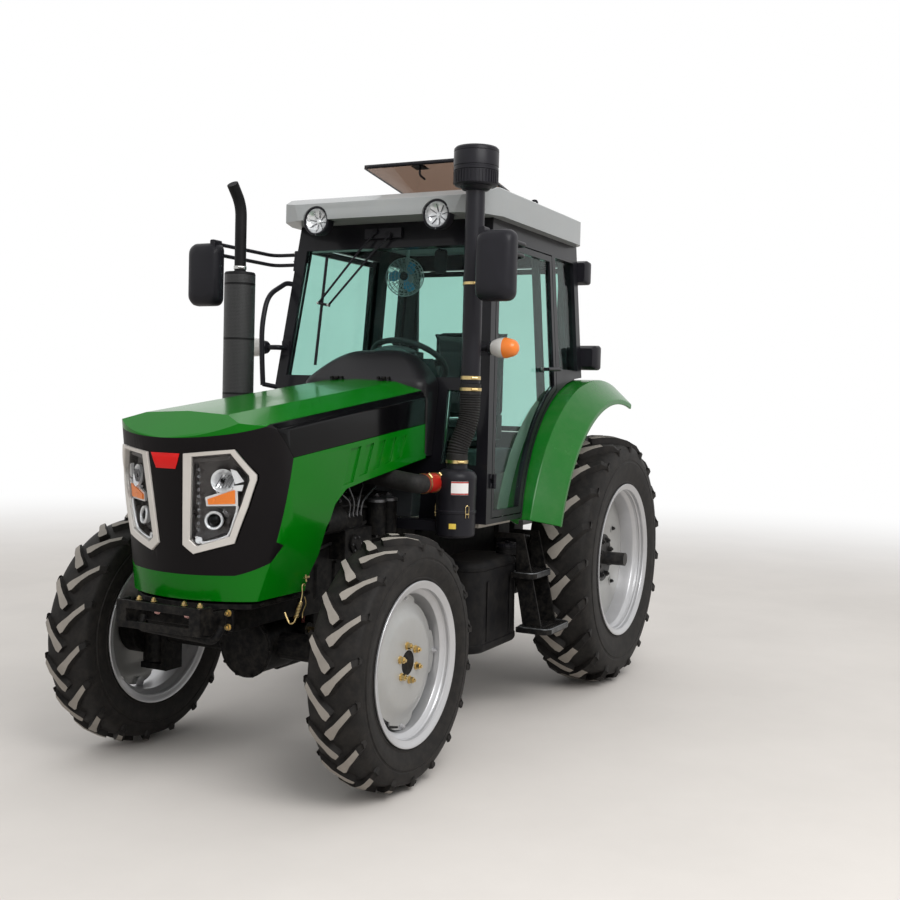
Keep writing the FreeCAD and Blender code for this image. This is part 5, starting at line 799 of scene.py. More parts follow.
# Air intake: pipe, precleaner with its vanes, hose, air cleaner and its red coupling.
def intake():
    c = (1442, 583, 0)
    p = Piece()
    p.paint(0).lathe(c, (0, 0, 1), [(1634, 36), (1634, 44), (2500, 44), (2503, 43.9), (2508, 60), (2523, 74),
                                    (2526, 94), (2532, 99), (2590, 99), (2592, 102.5), (2602, 102.8), (2604, 100),
                                    (2610, 100), (2612, 102.8), (2672, 102.8), (2676, 101), (2678, 102.8),
                                    (2690, 102), (2698, 94), (2700, 80), (2700, 0.5), (2530, 0.5), (2530, 30),
                                    (1640, 30)], 64)
    for k in range(40):
        a = 2 * math.pi * k / 40
        q = [(1442 + r * math.cos(a + s), 583 + r * math.sin(a + s)) for r, s in
             ((97, -0.03), (102.6, -0.03), (102.6, 0.03), (97, 0.03))]
        p.loft([[(x, y, 2534) for x, y in q], [(x, y, 2588) for x, y in q]])
    p.lathe(c, (0, 0, 1), [(2094, 44), (2094, 47), (2120, 47), (2120, 44)], 40)
    p.paint(1)
    clamp(p, (1442, 583, 1658), (0, 0, 1), 44.2, 16)
    clamp(p, (1442, 583, 2086), (0, 0, 1), 44.2, 12)
    p.tube([(1442, 538, 2086), (1410, 520, 2086)], 6, 10)
    p.done("intake_stack", "tractor", [MOULD, GOLD], slot="intake_plastic", smooth=32, replaces=["intake_pipe"])
    h = Piece()
    path = smooth_path([(1442, 583, 1630), (1442, 583, 1470), (1484, 545, 1330), (1484, 545, 1262)], 14, 62)
    pts = [Vector(q) for q in path]
    length = sum((b - a).length for a, b in zip(pts, pts[1:]))
    fine, radii = [], []
    steps = 132
    for i in range(steps + 1):
        s = length * i / steps
        for a, b in zip(pts, pts[1:]):
            if s <= (b - a).length + 1e-6 or b is pts[-1]:
                fine.append(tuple(a + (b - a).normalized() * min(s, (b - a).length)))
                break
            s -= (b - a).length
        share = i / steps
        smooth_end = share < 0.13 or share > 0.87
        radii.append(49 if smooth_end else (49.5, 47.0, 44.5, 47.0)[i % 4])
    h.paint(0).tube(fine, radii, 40)
    h.paint(1)
    clamp(h, (1442, 583, 1606), (0, 0, 1), 49.4, 14)
    clamp(h, (1484, 545, 1276), (0, 0, 1), 49.4, 14)
    h.done("corrugated_hose", "tractor", [RUBBER, GOLD], slot="hose_rubber", smooth=60, replaces=["intake_hose"])
    a = Piece()
    can = (1484, 545, 0)
    a.paint(0).lathe(can, (0, 0, 1), [(930, 0.5), (930, 62), (936, 84), (944, 90), (1040, 91), (1044, 94),
                                      (1054, 94), (1058, 90.5), (1120, 90.5), (1124, 92), (1188, 92), (1196, 93.5),
                                      (1212, 93), (1230, 82), (1240, 66), (1244, 50), (1262, 48), (1262, 0.5)], 56)
    a.lathe((1484, 470, 1180), (1, 0, 0), [(0, 0.5), (0, 43), (70, 44), (72, 0.5)], 36)
    a.box((1424, 1504), (240, 545), (952, 998))
    for angle in (60, 180, 300):
        t = math.radians(angle)
        d = Vector((math.cos(t), math.sin(t), 0))
        base = Vector((1484, 545, 1049)) + d * 93
        a.paint(1)
        side = Vector((-d.y, d.x, 0))
        a.tube([tuple(base + side * 8 + Vector((0, 0, -24))), tuple(base + side * 9 + Vector((0, 0, 26))),
                tuple(base + Vector((0, 0, 34))), tuple(base - side * 9 + Vector((0, 0, 26))),
                tuple(base - side * 8 + Vector((0, 0, -24)))], 1.6, 6)
        a.tube([tuple(base - side * 9 + Vector((0, 0, -6))), tuple(base + side * 9 + Vector((0, 0, -6)))], 3.4, 8)
    for low, high, first, last, m in ((1130, 1190, 12, 62, 2), (976, 1000, 8, 28, 3)):
        ring = [[(1484 + r * math.cos(math.radians(g)), 545 + r * math.sin(math.radians(g)), z)
                 for z in (low, high)]
                for r, g in [(93.2, first + (last - first) * i / 8) for i in range(9)]]
        for b0, b1 in zip(ring, ring[1:]):
            q = [a.vert(b0[0]), a.vert(b1[0]), a.vert(b1[1]), a.vert(b0[1])]
            a.paint(m).face(q)
    for z in (1134, 1186):
        ring = [[(1484 + r * math.cos(math.radians(g)), 545 + r * math.sin(math.radians(g)), z + d)
                 for d in (-3, 3)]
                for r, g in [(93.5, 12 + 50 * i / 8) for i in range(9)]]
        for b0, b1 in zip(ring, ring[1:]):
            a.paint(4).face([a.vert(b0[0]), a.vert(b1[0]), a.vert(b1[1]), a.vert(b0[1])])
    c = (1484, 470, 1180)
    a.paint(4).lathe(c, (1, 0, 0), [(70, 0.5), (70, 43.5), (76, 44), (104, 42), (132, 44), (160, 42), (184, 43.8),
                                    (190, 43.5), (190, 0.5)],
                     40)
    a.paint(1)
    clamp(a, (1484 + 80, 470, 1180), (1, 0, 0), 44, 12)
    clamp(a, (1484 + 180, 470, 1180), (1, 0, 0), 44, 12)
    a.paint(5).tube(smooth_path([(1668, 470, 1180), (1726, 470, 1182), (1728, 330, 1200), (1728, 142, 1225)], 10,
                                70), 43, 24)
    a.done("air_cleaner_set", "tractor", [MOULD, GOLD, WHITE_LABEL, YELLOW_LABEL, RED_HOSE, RUBBER],
           slot="intake_plastic", smooth=35, replaces=["air_cleaner"])


intake()


# Exhaust: the manifold and elbow, the muffler in its perforated shield, and the bent stack.
def perforated(name):
    """Black sheet with rows of dark round holes about the muffler's upright axis."""
    m = material(name, (0.020, 0.020, 0.021), rough=0.42, spread=0.2, scale=8.0)
    t = m.node_tree
    shader = t.nodes["Principled BSDF"]
    place = node_of(t, "ShaderNodeTexCoord")
    offset = node_of(t, "ShaderNodeVectorMath", operation="SUBTRACT")
    offset.inputs[1].default_value = tuple(P(1794, -460, 0))
    t.links.new(place.outputs["Object"], offset.inputs[0])
    parts = node_of(t, "ShaderNodeSeparateXYZ")
    t.links.new(offset.outputs[0], parts.inputs[0])
    turn = node_of(t, "ShaderNodeMath", operation="ARCTAN2")
    t.links.new(parts.outputs["Y"], turn.inputs[0])
    t.links.new(parts.outputs["X"], turn.inputs[1])
    around = node_of(t, "ShaderNodeMath", operation="MULTIPLY")
    t.links.new(turn.outputs[0], around.inputs[0])
    around.inputs[1].default_value = 36 / math.pi
    up = node_of(t, "ShaderNodeMath", operation="MULTIPLY")
    t.links.new(parts.outputs["Z"], up.inputs[0])
    up.inputs[1].default_value = 72 / 0.45
    shift = node_of(t, "ShaderNodeMath", operation="PINGPONG")
    t.links.new(up.outputs[0], shift.inputs[0])
    shift.inputs[1].default_value = 1.0
    slide = node_of(t, "ShaderNodeMath", operation="MULTIPLY_ADD")
    t.links.new(shift.outputs[0], slide.inputs[0])
    slide.inputs[1].default_value = 0.5
    t.links.new(around.outputs[0], slide.inputs[2])
    flat = node_of(t, "ShaderNodeCombineXYZ")
    t.links.new(slide.outputs[0], flat.inputs["X"])
    t.links.new(up.outputs[0], flat.inputs["Y"])
    cells = node_of(t, "ShaderNodeTexVoronoi", voronoi_dimensions="2D")
    cells.inputs["Scale"].default_value = 1.0
    cells.inputs["Randomness"].default_value = 0.0
    t.links.new(flat.outputs[0], cells.inputs["Vector"])
    hole = node_of(t, "ShaderNodeMapRange")
    hole.inputs["From Min"].default_value = 0.30
    hole.inputs["From Max"].default_value = 0.38
    t.links.new(cells.outputs["Distance"], hole.inputs["Value"])
    mix = node_of(t, "ShaderNodeMix", data_type="RGBA")
    mix.inputs[6].default_value = (0.0008, 0.0008, 0.0008, 1)
    mix.inputs[7].default_value = (0.030, 0.030, 0.031, 1)
    t.links.new(hole.outputs["Result"], mix.inputs[0])
    t.links.new(mix.outputs[2], shader.inputs["Base Color"])
    bump = node_of(t, "ShaderNodeBump", Strength=0.8, Distance=0.002)
    t.links.new(hole.outputs["Result"], bump.inputs["Height"])
    t.links.new(bump.outputs["Normal"], shader.inputs["Normal"])
    return m


SHIELD = perforated("muffler_shield")


def exhaust():
    p = Piece()
    c = (1794, -460, 0)
    p.paint(0).box((1598, 2079), (-280, -210), (1022, 1098))
    for k in range(4):
        x = 1640 + 125 * k
        p.tube(smooth_path([(x, -205, 1060), (x, -250, 1060), (x + (1794 - x) * 0.3, -268, 1062)], 5, 30), 30, 16)
        p.paint(2).bolt((x + 34, -281, 1085), (0, -1, 0), 14)
        p.bolt((x - 34, -281, 1036), (0, -1, 0), 14)
        p.paint(0)
    p.tube(smooth_path([(1794, -216, 1100), (1794, -460, 1100), (1794, -460, 1500)], 10, 70), 34.5, 24)
    p.lathe(c, (0, 0, 1), [(1230, 30), (1230, 46), (1243, 46), (1243, 30)], 32)
    p.paint(1).lathe(c, (0, 0, 1), [(1512, 60), (1512, 71.8), (2118, 71.8), (2118, 60)], 72)
    p.paint(0).lathe(c, (0, 0, 1), [(1500, 30), (1500, 66), (1506, 71), (1514, 71.9), (1518, 71.9), (1518, 60),
                                    (1512, 30)], 56)
    p.lathe(c, (0, 0, 1), [(2112, 30), (2112, 71.9), (2118, 71.9), (2126, 68), (2130, 40), (2130, 24)], 56)
    stack = smooth_path([(1794, -460, 2118), (1794, -460, 2438), (1861.7, -460, 2524.7)], 14, 95)
    p.tube(stack, 27, 28, caps=False)
    p.tube(stack[-2:], 24, 28)
    p.paint(2)
    clamp(p, (1794, -460, 2148), (0, 0, 1), 27, 14)
    for z in (1560, 1815, 2070):
        p.paint(0).lathe(c, (0, 0, 1), [(z - 5, 70), (z - 5, 72), (z + 5, 72), (z + 5, 70)], 56)
    p.done("exhaust_set", "tractor", [EXHAUST, SHIELD, BARE], slot="exhaust_black", smooth=32, replaces=["exhaust"])


exhaust()


# Wiper, grab rail and door handles.
def cab_trim():
    p = Piece()
    pivot = [(-84, 2382), (-7, 2359)]
    foot = [(-378, 2029), (-316, 2018)]
    for (y0, z0), (y1, z1) in zip(pivot, foot):
        p.paint(0).tube([on_screen(y0, z0, 26), on_screen(y0 + (y1 - y0) * 0.25, z0 + (z1 - z0) * 0.25, 34),
                         on_screen(y1, z1, 26)], 6, 8)
        p.disc(on_screen(y0, z0, 4), (1, 0, TAN_FRONT), 15, 30, 16)
    p.tube([on_screen(-384, 2031, 24), on_screen(-310, 2016, 24)], 7, 8)
    p.paint(1).bolt(on_screen(-378, 2029, 28), (1, 0, 0.15), 10)
    p.bolt(on_screen(-316, 2018, 28), (1, 0, 0.15), 10)
    blade = [on_screen(-363 - 3 * t, 2267 - 552 * t, 17) for t in [i / 6 for i in range(7)]]
    p.paint(0).tube(blade, 6, 8)
    p.tube([on_screen(-363 - 3 * t, 2267 - 552 * t, 9) for t in (0, 0.5, 1)], 5, 6)
    p.box((1176, 1192), (-150, 60), (2352, 2400))
    # Curved grab rail on the right post.
    rail = smooth_path([(1175, -566, 2132), (1215, -600, 2140), (1380, -600, 2060), (1425, -600, 1900),
                        (1417, -600, 1733), (1405, -600, 1607)], 8, 70)
    p.tube(rail, 13, 14)
    p.tube([(1405, -600, 1612), (1345, -560, 1600)], 12, 12)
    p.done("screen_trim", "tractor", [MOULD, BARE], smooth=40)
    for name, sign in (("left", 1), ("right", -1)):
        d = Piece()
        ends = [on_cab_side(455, 1733, 30), on_cab_side(620, 1728, 30)]
        pts = [(x, sign * y, z) for x, y, z in ends]
        d.paint(0).tube([pts[0], tuple((Vector(pts[0]) * 0.5 + Vector(pts[1]) * 0.5)), pts[1]], [10, 11, 9], 12)
        for q in pts:
            d.tube([q, (q[0], q[1] - sign * 30, q[2])], 9, 12)
        d.paint(1).disc((pts[1][0] + 22, pts[1][1] - sign * 26, pts[1][2] - 2), (0, sign, 0.07), 11, 9, 16)
        d.done("door_handle_" + name, "door_" + name, [MOULD, BARE], smooth=40)


cab_trim()


# Cowl: its hump with rounded front corners.
def profile(table, at):
    """A value read from a table of (position, value), eased between its rows."""
    for (a, va), (b, vb) in zip(table, table[1:]):
        if at <= b:
            t = max(0.0, (at - a) / (b - a))
            return va + (vb - va) * t
    return table[-1][1]


def cowl():
    half = [(1290, 338), (1580, 341), (1625, 339), (1648, 332), (1668, 318), (1690, 298), (1712, 276), (1734, 252),
            (1752, 226), (1768, 196), (1780, 160), (1787, 122), (1790, 92)]
    front = [(1290, 1450), (1626, 1450), (1640, 1444), (1700, 1390), (1750, 1344), (1774, 1318), (1784, 1300),
             (1790, 1276)]
    rings = []
    for z in [1290, 1400, 1500, 1580, 1610, 1626, 1640, 1652, 1665, 1680, 1695, 1710, 1725, 1740, 1752, 1762, 1770,
              1777, 1783, 1787, 1789, 1790]:
        h, f = profile(half, z), profile(front, z)
        back = 1535 - z * TAN_FRONT + 3
        r = min(60, f - back - 2, h * 0.5)
        right = [(f - r + r * math.cos(a),
                  -h + r - r * math.sin(a))
                 for a in [math.pi / 2 * (1 - i / 8) for i in range(9)]]
        ring = [(back, -h)] + right + [(x, -y) for x, y in right[::-1]] + [(back, h)]
        rings.append([(x, y, z) for x, y in ring])
    p = Piece()
    p.loft(rings)
    for y in (-130, 130):
        p.paint(1)
        p.tube([(1453, y - 34, 1650), (1453, y - 22, 1650)], 9, 14)
        p.tube([(1453, y + 22, 1650), (1453, y + 34, 1650)], 9, 14)
        p.paint(0)
        for s in (-28, 28):
            p.box((1430, 1462), (y + s - 5, y + s + 5), (1600, 1648))
    for y in (-230, 0, 230):
        p.paint(1).bolt((1451, y, 1560), (1, 0, 0), 12)
    p.done("cowl_hump", "tractor", [COWL, STEEL_BLACK], slot="cab_black", smooth=38, replaces=["cowl"])


COWL = material("cowl_satin", (0.009, 0.0085, 0.010), rough=0.38, spread=0.15, scale=5.0, grain=0.05,
                grain_scale=300.0, specular=0.3)
cowl()

# The hinge barrels of the hood are black.
top = bpy.data.objects["hood_top_soft"]
top.data.materials.append(STEEL_BLACK)
for face in top.data.polygons:
    c = top.matrix_world @ face.center
    if c.x < 0.545 and 0.08 < abs(c.y) < 0.19 and c.z > 1.6:
        face.material_index = 1


# Fuel tank: a moulding with round corners, a filler neck and a ribbed cap.
def fuel_tank():
    p = Piece()
    levels = [(350, 22), (354, 10), (364, 2), (372, 0), (392, 0), (396, 4), (700, 8), (742, 10), (748, 5),
              (762, 5), (768, 10), (780, 17), (787, 28), (790, 44)]
    p.paint(0).loft([[(x, y, z) for x, y in rounded(1060, 445, 270 - d, 145 - d, 95 - d * 0.6, 14)] for z,
                     d in levels])
    for x in (930, 1190):
        p.loft([[(x + a, 588.5 - d, z) for a, d in ((-16, 0), (-10, -1.4), (10, -1.4), (16, 0), (10, 4), (-10, 4))]
                for z, d in ((400, 0), (690, 5))])
    c = (855, 530, 0)
    p.lathe(c, (0, 0, 1), [(786, 0.5), (786, 57), (800, 57), (803, 54), (812, 54), (814, 57), (820, 57), (822, 52),
                           (822, 0.5)], 48)
    p.paint(1).lathe(c, (0, 0, 1), [(822, 0.5), (822, 50), (836, 50), (841, 46), (844, 34), (844, 0.5)], 48)
    for k in range(24):
        a = 2 * math.pi * k / 24
        q = [(855 + r * math.cos(a + s), 530 + r * math.sin(a + s)) for r,
             s in ((49, -0.06), (54, -0.045), (54, 0.045), (49, 0.06))]
        p.loft([[(x, y, 824) for x, y in q], [(x, y, 838) for x, y in q]])
    p.box((838, 872), (522, 538), (843, 850))
    p.done("fuel_tank_moulding", "tractor", [TANK, MOULD, STEEL_BLACK], slot="tank_plastic", smooth=34,
           replaces=["fuel_tank"])


fuel_tank()


# Serrated tops of the steps.
def treads():
    p = Piece()
    for x0, x1, y0, y1, z in ((672, 975, 640, 815, 442), (708, 960, 600, 725, 708)):
        # The rim round each tread and the slats on its outer side take the lighter edge steel, a painted highlight
        # along the tread's edges.
        p.paint(0)
        edge = rounded((x0 + x1) / 2, (y0 + y1) / 2, (x1 - x0) / 2 - 3, (y1 - y0) / 2 - 3, 42, 7)
        p.tube([(x, y, z + 1) for x, y in edge], 3.5, 6, close=True)
        rows = 5
        for r in range(rows):
            y = y0 + 22 + (y1 - y0 - 44) * r / (rows - 1)
            cut = 26 if r in (0, rows - 1) else 8
            n = int((x1 - x0 - 2 * cut) / 22)
            for k in range(n):
                x = x0 + cut + 22 * (k + 0.5) + (11 if r % 2 and k < n - 1 else 0)
                p.paint(1).loft([[(x - 7, y - 7, z - 0.5), (x + 7, y - 7, z - 0.5), (x + 7, y + 7, z - 0.5),
                                  (x - 7, y + 7, z - 0.5)],
                                 [(x - 3.5, y - 3, z + 5), (x + 3.5, y - 3, z + 5), (x + 3.5, y + 3, z + 5),
                                  (x - 3.5, y + 3, z + 5)]])
        for k in range(int((x1 - x0 - 70) / 16)):
            x = x0 + 40 + 16 * k
            p.paint(0).loft([[(x, y1 - 1, z - 22), (x + 9, y1 - 1, z - 22), (x + 9, y1 + 0.5, z - 22),
                              (x, y1 + 0.5, z - 22)],
                             [(x, y1 - 1, z - 2), (x + 9, y1 - 1, z - 2), (x + 9, y1 + 0.5, z - 2),
                              (x, y1 + 0.5, z - 2)]])
    p.done("step_treads", "tractor", [EDGE_STEEL, STEEL_BLACK], smooth=30, mirror=True)


# Metal for the treads' rims, coloured much lighter than the black tread: a painted highlight on real serrated
# edges.
EDGE_STEEL = material("edge_highlight_steel", (0.16, 0.165, 0.17), rough=0.35, metal=0.7, spread=0.4, scale=30.0, grain=0.1)
treads()


# Seat: cloth-covered pads on a bellows base.
def cushion(name, box_mm, lean, channels, cap):
    """A pad swollen by a cloth simulation inside its box, with sewn channels and piping."""
    (x0, x1), (y0, y1), (z0, z1) = box_mm
    mid = Vector(((x0 + x1) / 2, (y0 + y1) / 2, (z0 + z1) / 2))
    hx, hy, hz = (x1 - x0) / 2, (y1 - y0) / 2, (z1 - z0) / 2
    bm = bmesh.new()
    bmesh.ops.create_cube(bm, size=2)
    bmesh.ops.subdivide_edges(bm, edges=bm.edges, cuts=9, use_grid_fill=True)
    for v in bm.verts:
        x, y, z = v.co
        # Sides pull in between the corners.
        pinch = 1 - 0.05 * (1 - x * x) * abs(y) ** 3
        v.co = Vector((x * (hx - 12) * (1 - 0.045 * (1 - y * y) * abs(x) ** 3), y * (hy - 10) * pinch,
                       z * (hz - (20 if z > 0 else 6) * (0.55 + 0.45 * max(abs(x), abs(y)) ** 4))))
    mesh = bpy.data.meshes.new(name)
    for v in bm.verts:
        v.co = v.co / 1000
    bm.to_mesh(mesh)
    bm.free()
    obj = bpy.data.objects.new(name, mesh)
    bpy.context.scene.collection.objects.link(obj)
    remesh = obj.modifiers.new("even", "REMESH")
    remesh.mode = "VOXEL"
    remesh.voxel_size = 0.0075
    depsgraph = bpy.context.evaluated_depsgraph_get()
    fine = bpy.data.meshes.new_from_object(obj.evaluated_get(depsgraph))
    obj.modifiers.clear()
    obj.data = fine
    start = [v.co.copy() for v in fine.vertices]
    cloth = obj.modifiers.new("swell", "CLOTH")
    s = cloth.settings
    s.quality = 4
    s.mass = 0.3
    s.tension_stiffness = s.compression_stiffness = 12
    s.shear_stiffness = 6
    s.bending_stiffness = 0.4
    s.use_pressure = True
    s.uniform_pressure_force = 4
    s.effector_weights.gravity = 0
    group = obj.vertex_groups.new(name="held")
    group.add([v.index for v in fine.vertices if v.co.z < -(hz - 9) / 1000], 1.0, "REPLACE")
    s.vertex_group_mass = "held"
    scene = bpy.context.scene
    for f in range(1, 21):
        scene.frame_set(f)
    swollen = obj.evaluated_get(bpy.context.evaluated_depsgraph_get()).to_mesh()
    end = [v.co.copy() for v in swollen.vertices]
    obj.modifiers.clear()
    obj.vertex_groups.clear()
    scene.frame_set(1)
    for v, a, b in zip(fine.vertices, start, end):
        d = b - a
        if d.length > cap / 1000:
            d = d.normalized() * cap / 1000
        v.co = a + d
    # Sewn channels pull the top in along lines.
    for v in fine.vertices:
        if v.co.z > 0:
            for kind, at in channels:
                t = (v.co.y if kind == "y" else v.co.x) * 1000 - at
                v.co.z -= 0.007 * math.exp(-(t / 9) ** 2)
    tilt = Matrix.Rotation(math.radians(lean), 4, "Y")
    fine.transform(Matrix.Translation(P(*mid)) @ tilt)
    fine.materials.clear()
    fine.materials.append(FABRIC)
    for p in fine.polygons:
        p.use_smooth = True
    sub = obj.modifiers.new("fine", "SUBSURF")
    sub.levels = sub.render_levels = 1
    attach(obj, "tractor")
    # Piping round the upper edge, laid on the swollen surface.
    tree = BVHTree.FromPolygons([v.co.copy() for v in fine.vertices], [list(q.vertices) for q in fine.polygons])
    turn = Matrix.Translation(P(*mid)) @ tilt
    piping = Piece()
    line = []
    for x, y in rounded(0, 0, hx - 15, hy - 13, 60, 8):
        aim = turn @ (Vector((x, y, hz * 0.55)) / 1000)
        near = tree.find_nearest(aim)[0]
        line.append((near.x * 1000 + REAR_AXLE_X, near.y * 1000, near.z * 1000))
    piping.tube(line, 4, 8, close=True)
    piping.done(name + "_piping", "tractor", MOULD, smooth=60)
    return obj


def seat():
    p = Piece()
    levels = []
    for k in range(13):
        d = 0 if k % 2 else 14
        levels.append((1184 + 10.5 * k, d))
    p.paint(0).loft([[(x, y, z) for x, y in rounded(475, 0, 142 - d, 147 - d, 26, 6)] for z, d in levels])
    p.paint(1).loft([[(x, y, z) for x, y in rounded(475, 0, 147, 150, 20, 5)] for z in (1180, 1190)])
    p.loft([[(x, y, z) for x, y in rounded(500, 0, 180, 200, 30, 5)] for z in (1312, 1334)])
    # Back shell, hinge covers and the slide lever.
    p.loft([[(x, y, z) for y, z in rounded(0, 1700, w, h, 50, 6)] for x, w,
            h in ((268, 200, 225), (262, 212, 240))])
    for s in (1, -1):
        p.loft([[(x, s * y, z) for x, z in ((300, 1350), (380, 1350), (352, 1480), (300, 1480))]
                for y in (214, 228)])
    p.tube(smooth_path([(640, 120, 1322), (720, 120, 1318), (760, 120, 1330)], 5, 20), 6, 8)
    p.done("seat_base", "tractor", [RUBBER, TRIM], slot="seat_fabric", smooth=35, replaces=["seat"])
    cushion("seat_cushion", ((302, 778), (-238, 238), (1334, 1444)), 0, [("y", -80), ("y", 80), ("x", 90)], 24)
    cushion("seat_back", ((39, 563), (-228, 228), (1652, 1748)), 79.65, [("x", -120), ("x", 60), ("y", 0)], 24)


seat()


# Cab interior: head liner, visor, fan, trims, dials, levers, pedals and the wheel's grip.
def interior():
    p = Piece()
    liner = [(x, y) for x, y in rounded(590, 0, 500, 520, 60, 6)]
    p.paint(0).loft([[(x, y, 2424) for x, y in liner], [(590 + (x - 590) * 0.94, y * 0.93, 2405) for x, y in liner],
                     [(590 + (x - 590) * 0.86, y * 0.84, 2404) for x, y in liner],
                     [(590 + (x - 590) * 0.84, y * 0.82, 2412) for x, y in liner]])
    # Front console above the windscreen, with air outlets.
    p.loft([[(x, y, z) for x, z in ((1020, 2424), (1146, 2424), (1140, 2350), (1060, 2340),
                                    (1024, 2384))] for y in (-500, 500)])
    for y in (-330, -110, 110, 330):
        p.paint(1).lathe((1058, y, 2352), (-0.5, 0, -0.9),
                         [(-6, 0.5), (-6, 30), (2, 36), (6, 34), (6, 28), (0, 26), (0, 0.5)], 28)
        for s in (-14, 0, 14):
            p.loft([[(1058 + a, y + s + b, 2346) for a, b in ((-26, -2), (18, -2), (18, 2), (-26, 2))],
                    [(1052 + a, y + s + b, 2338) for a, b in ((-26, -2), (18, -2), (18, 2), (-26, 2))]])
    # Rear-view mirror and its stem.
    p.paint(1).tube([(1046, 186, 2345), (1010, 186, 2300), (1000, 186, 2290)], 6, 8)
    p.loft([[(x, y, z) for y, z in rounded(186, 2252, 34 * k, 62 * k, 20)] for x,
            k in ((992, 0.9), (998, 1.0), (1008, 0.95), (1013, 0.75))])
    # Corner trims inside the posts.
    for s in (1, -1):
        for x, w, z0, z1 in ((84, 62, 1420, 2400), (452, 24, 1300, 2390)):
            ring0 = [(x - w / 2, s * (712 - z0 * TAN_SIDE - 54), z0),
                     (x + w / 2, s * (712 - z0 * TAN_SIDE - 54), z0),
                     (x + w / 2 - 4, s * (712 - z0 * TAN_SIDE - 84), z0),
                     (x - w / 2, s * (712 - z0 * TAN_SIDE - 104), z0)]
            ring1 = [(a, s * (abs(b) - (z1 - z0) * TAN_SIDE), z1) for a, b, c in ring0]
            p.paint(2).loft([ring0, ring1])
    p.done("cab_lining", "tractor", [LINER, MOULD, TRIM], slot="interior_black", bevel=0.003, smooth=35)
    f = Piece()
    c = Vector((856, -100, 2196))
    axis = Vector((0.94, 0.32, 0.05)).normalized()
    u = axis.orthogonal().normalized()
    w = axis.cross(u)
    for r, shift in ((100, 0), (88, 13), (70, 20), (50, 25), (30, 28), (88, -22), (70, -27), (50, -30), (30, -31)):
        ring = [tuple(c + axis * shift + (u * math.cos(a) + w * math.sin(a)) * r)
                for a in [2 * math.pi * i / 36 for i in range(36)]]
        f.paint(0).tube(ring, 3.2 if r == 100 else 1.8, 5, close=True)
    for i in range(24):
        a = 2 * math.pi * i / 24
        d = u * math.cos(a) + w * math.sin(a)
        f.tube([tuple(c + axis * 29 + d * 24), tuple(c + axis * 24 + d * 58), tuple(c + axis * 12 + d * 90),
                tuple(c + d * 99)], 1.6, 4)
        f.tube([tuple(c - axis * 32 + d * 24), tuple(c - axis * 28 + d * 60), tuple(c - axis * 20 + d * 90),
                tuple(c + d * 99)], 1.6, 4)
    f.paint(1).lathe(tuple(c), tuple(axis), [(24, 0.5), (26, 20), (29, 22), (33, 19), (34, 8), (34, 0.5)], 28)
    f.paint(2).lathe(tuple(c), tuple(axis), [(-6, 0.5), (-6, 20), (10, 20), (16, 12), (17, 0.5)], 24)
    for k in range(3):
        rows = []
        for i in range(7):
            t = i / 6
            r = 16 + 68 * t
            a0 = math.radians(120 * k + 18 * t)
            spread = math.radians(26 + 34 * math.sin(math.pi * min(1, t * 1.1)))
            row = []
            for j in range(7):
                s = j / 6 - 0.5
                a = a0 + spread * s
                d = u * math.cos(a) + w * math.sin(a)
                row.append(tuple(c + d * r + axis * (s * -22)))
            rows.append([q for q in row] + [tuple(Vector(q) - axis * 1.5) for q in row[::-1]])
        f.paint(2).loft(rows)
    f.paint(0).lathe(tuple(c), tuple(axis), [(-86, 0.5), (-86, 30), (-78, 34), (-40, 34), (-34, 26), (-34, 0.5)],
                     28)
    stand = c - axis * 60
    f.tube([tuple(stand + Vector((0, 0, 30))), tuple(stand + Vector((-6, 0, 110))), (stand.x - 10, stand.y, 2408)],
           9, 10)
    f.disc((stand.x - 10, stand.y, 2400), (0, 0, 1), 30, 6, 20)
    f.done("cab_fan", "tractor", [GREY_PLASTIC, MOULD, BLUE], smooth=45)
    d = Piece()
    # Instrument hood with its dials, on the dash.
    hood = []
    for x, k in ((1082, 0.97), (1090, 1.0), (1150, 1.0), (1176, 0.96), (1186, 0.86)):
        hood.append([(x, 150 * k * math.cos(a) if abs(math.cos(a)) < 1 else 150 * k,
                      1700 + 122 * k * math.sin(a) ** 0.7)
                     for a in [math.pi * i / 20 for i in range(21)]])
    d.paint(0).loft(hood)
    for y, r in ((-78, 30), (0, 40), (78, 30)):
        d.paint(1).lathe((1083, y, 1738), (-1, 0, 0.1),
                         [(-4, 0.5), (-4, r), (3, r + 3), (5, r + 1), (3, r - 3), (-1, r - 5), (-1, 0.5)], 32)
        for k in range(9):
            a = math.radians(-30 + 30 * k)
            d.paint(3).tube([(1079.5, y + (r - 9) * math.cos(a), 1738 + (r - 9) * math.sin(a)),
                             (1079.5, y + (r - 5) * math.cos(a), 1738 + (r - 5) * math.sin(a))], 0.9, 4)
        d.paint(4).tube([(1079, y, 1738), (1079, y + (r - 10) * 0.7, 1738 + (r - 10) * 0.7)], 1.2, 4)
    for k in range(6):
        d.paint(1).loft([[(1060 + a * 0.7, -130 + 46 * k + b, 1672 + a) for a,
                          b in ((-12, -14), (12, -14), (12, 14), (-12, 14))],
                         [(1053 + a * 0.7, -130 + 46 * k + b, 1676 + a) for a,
                          b in ((-9, -11), (9, -11), (9, 11), (-9, 11))]])
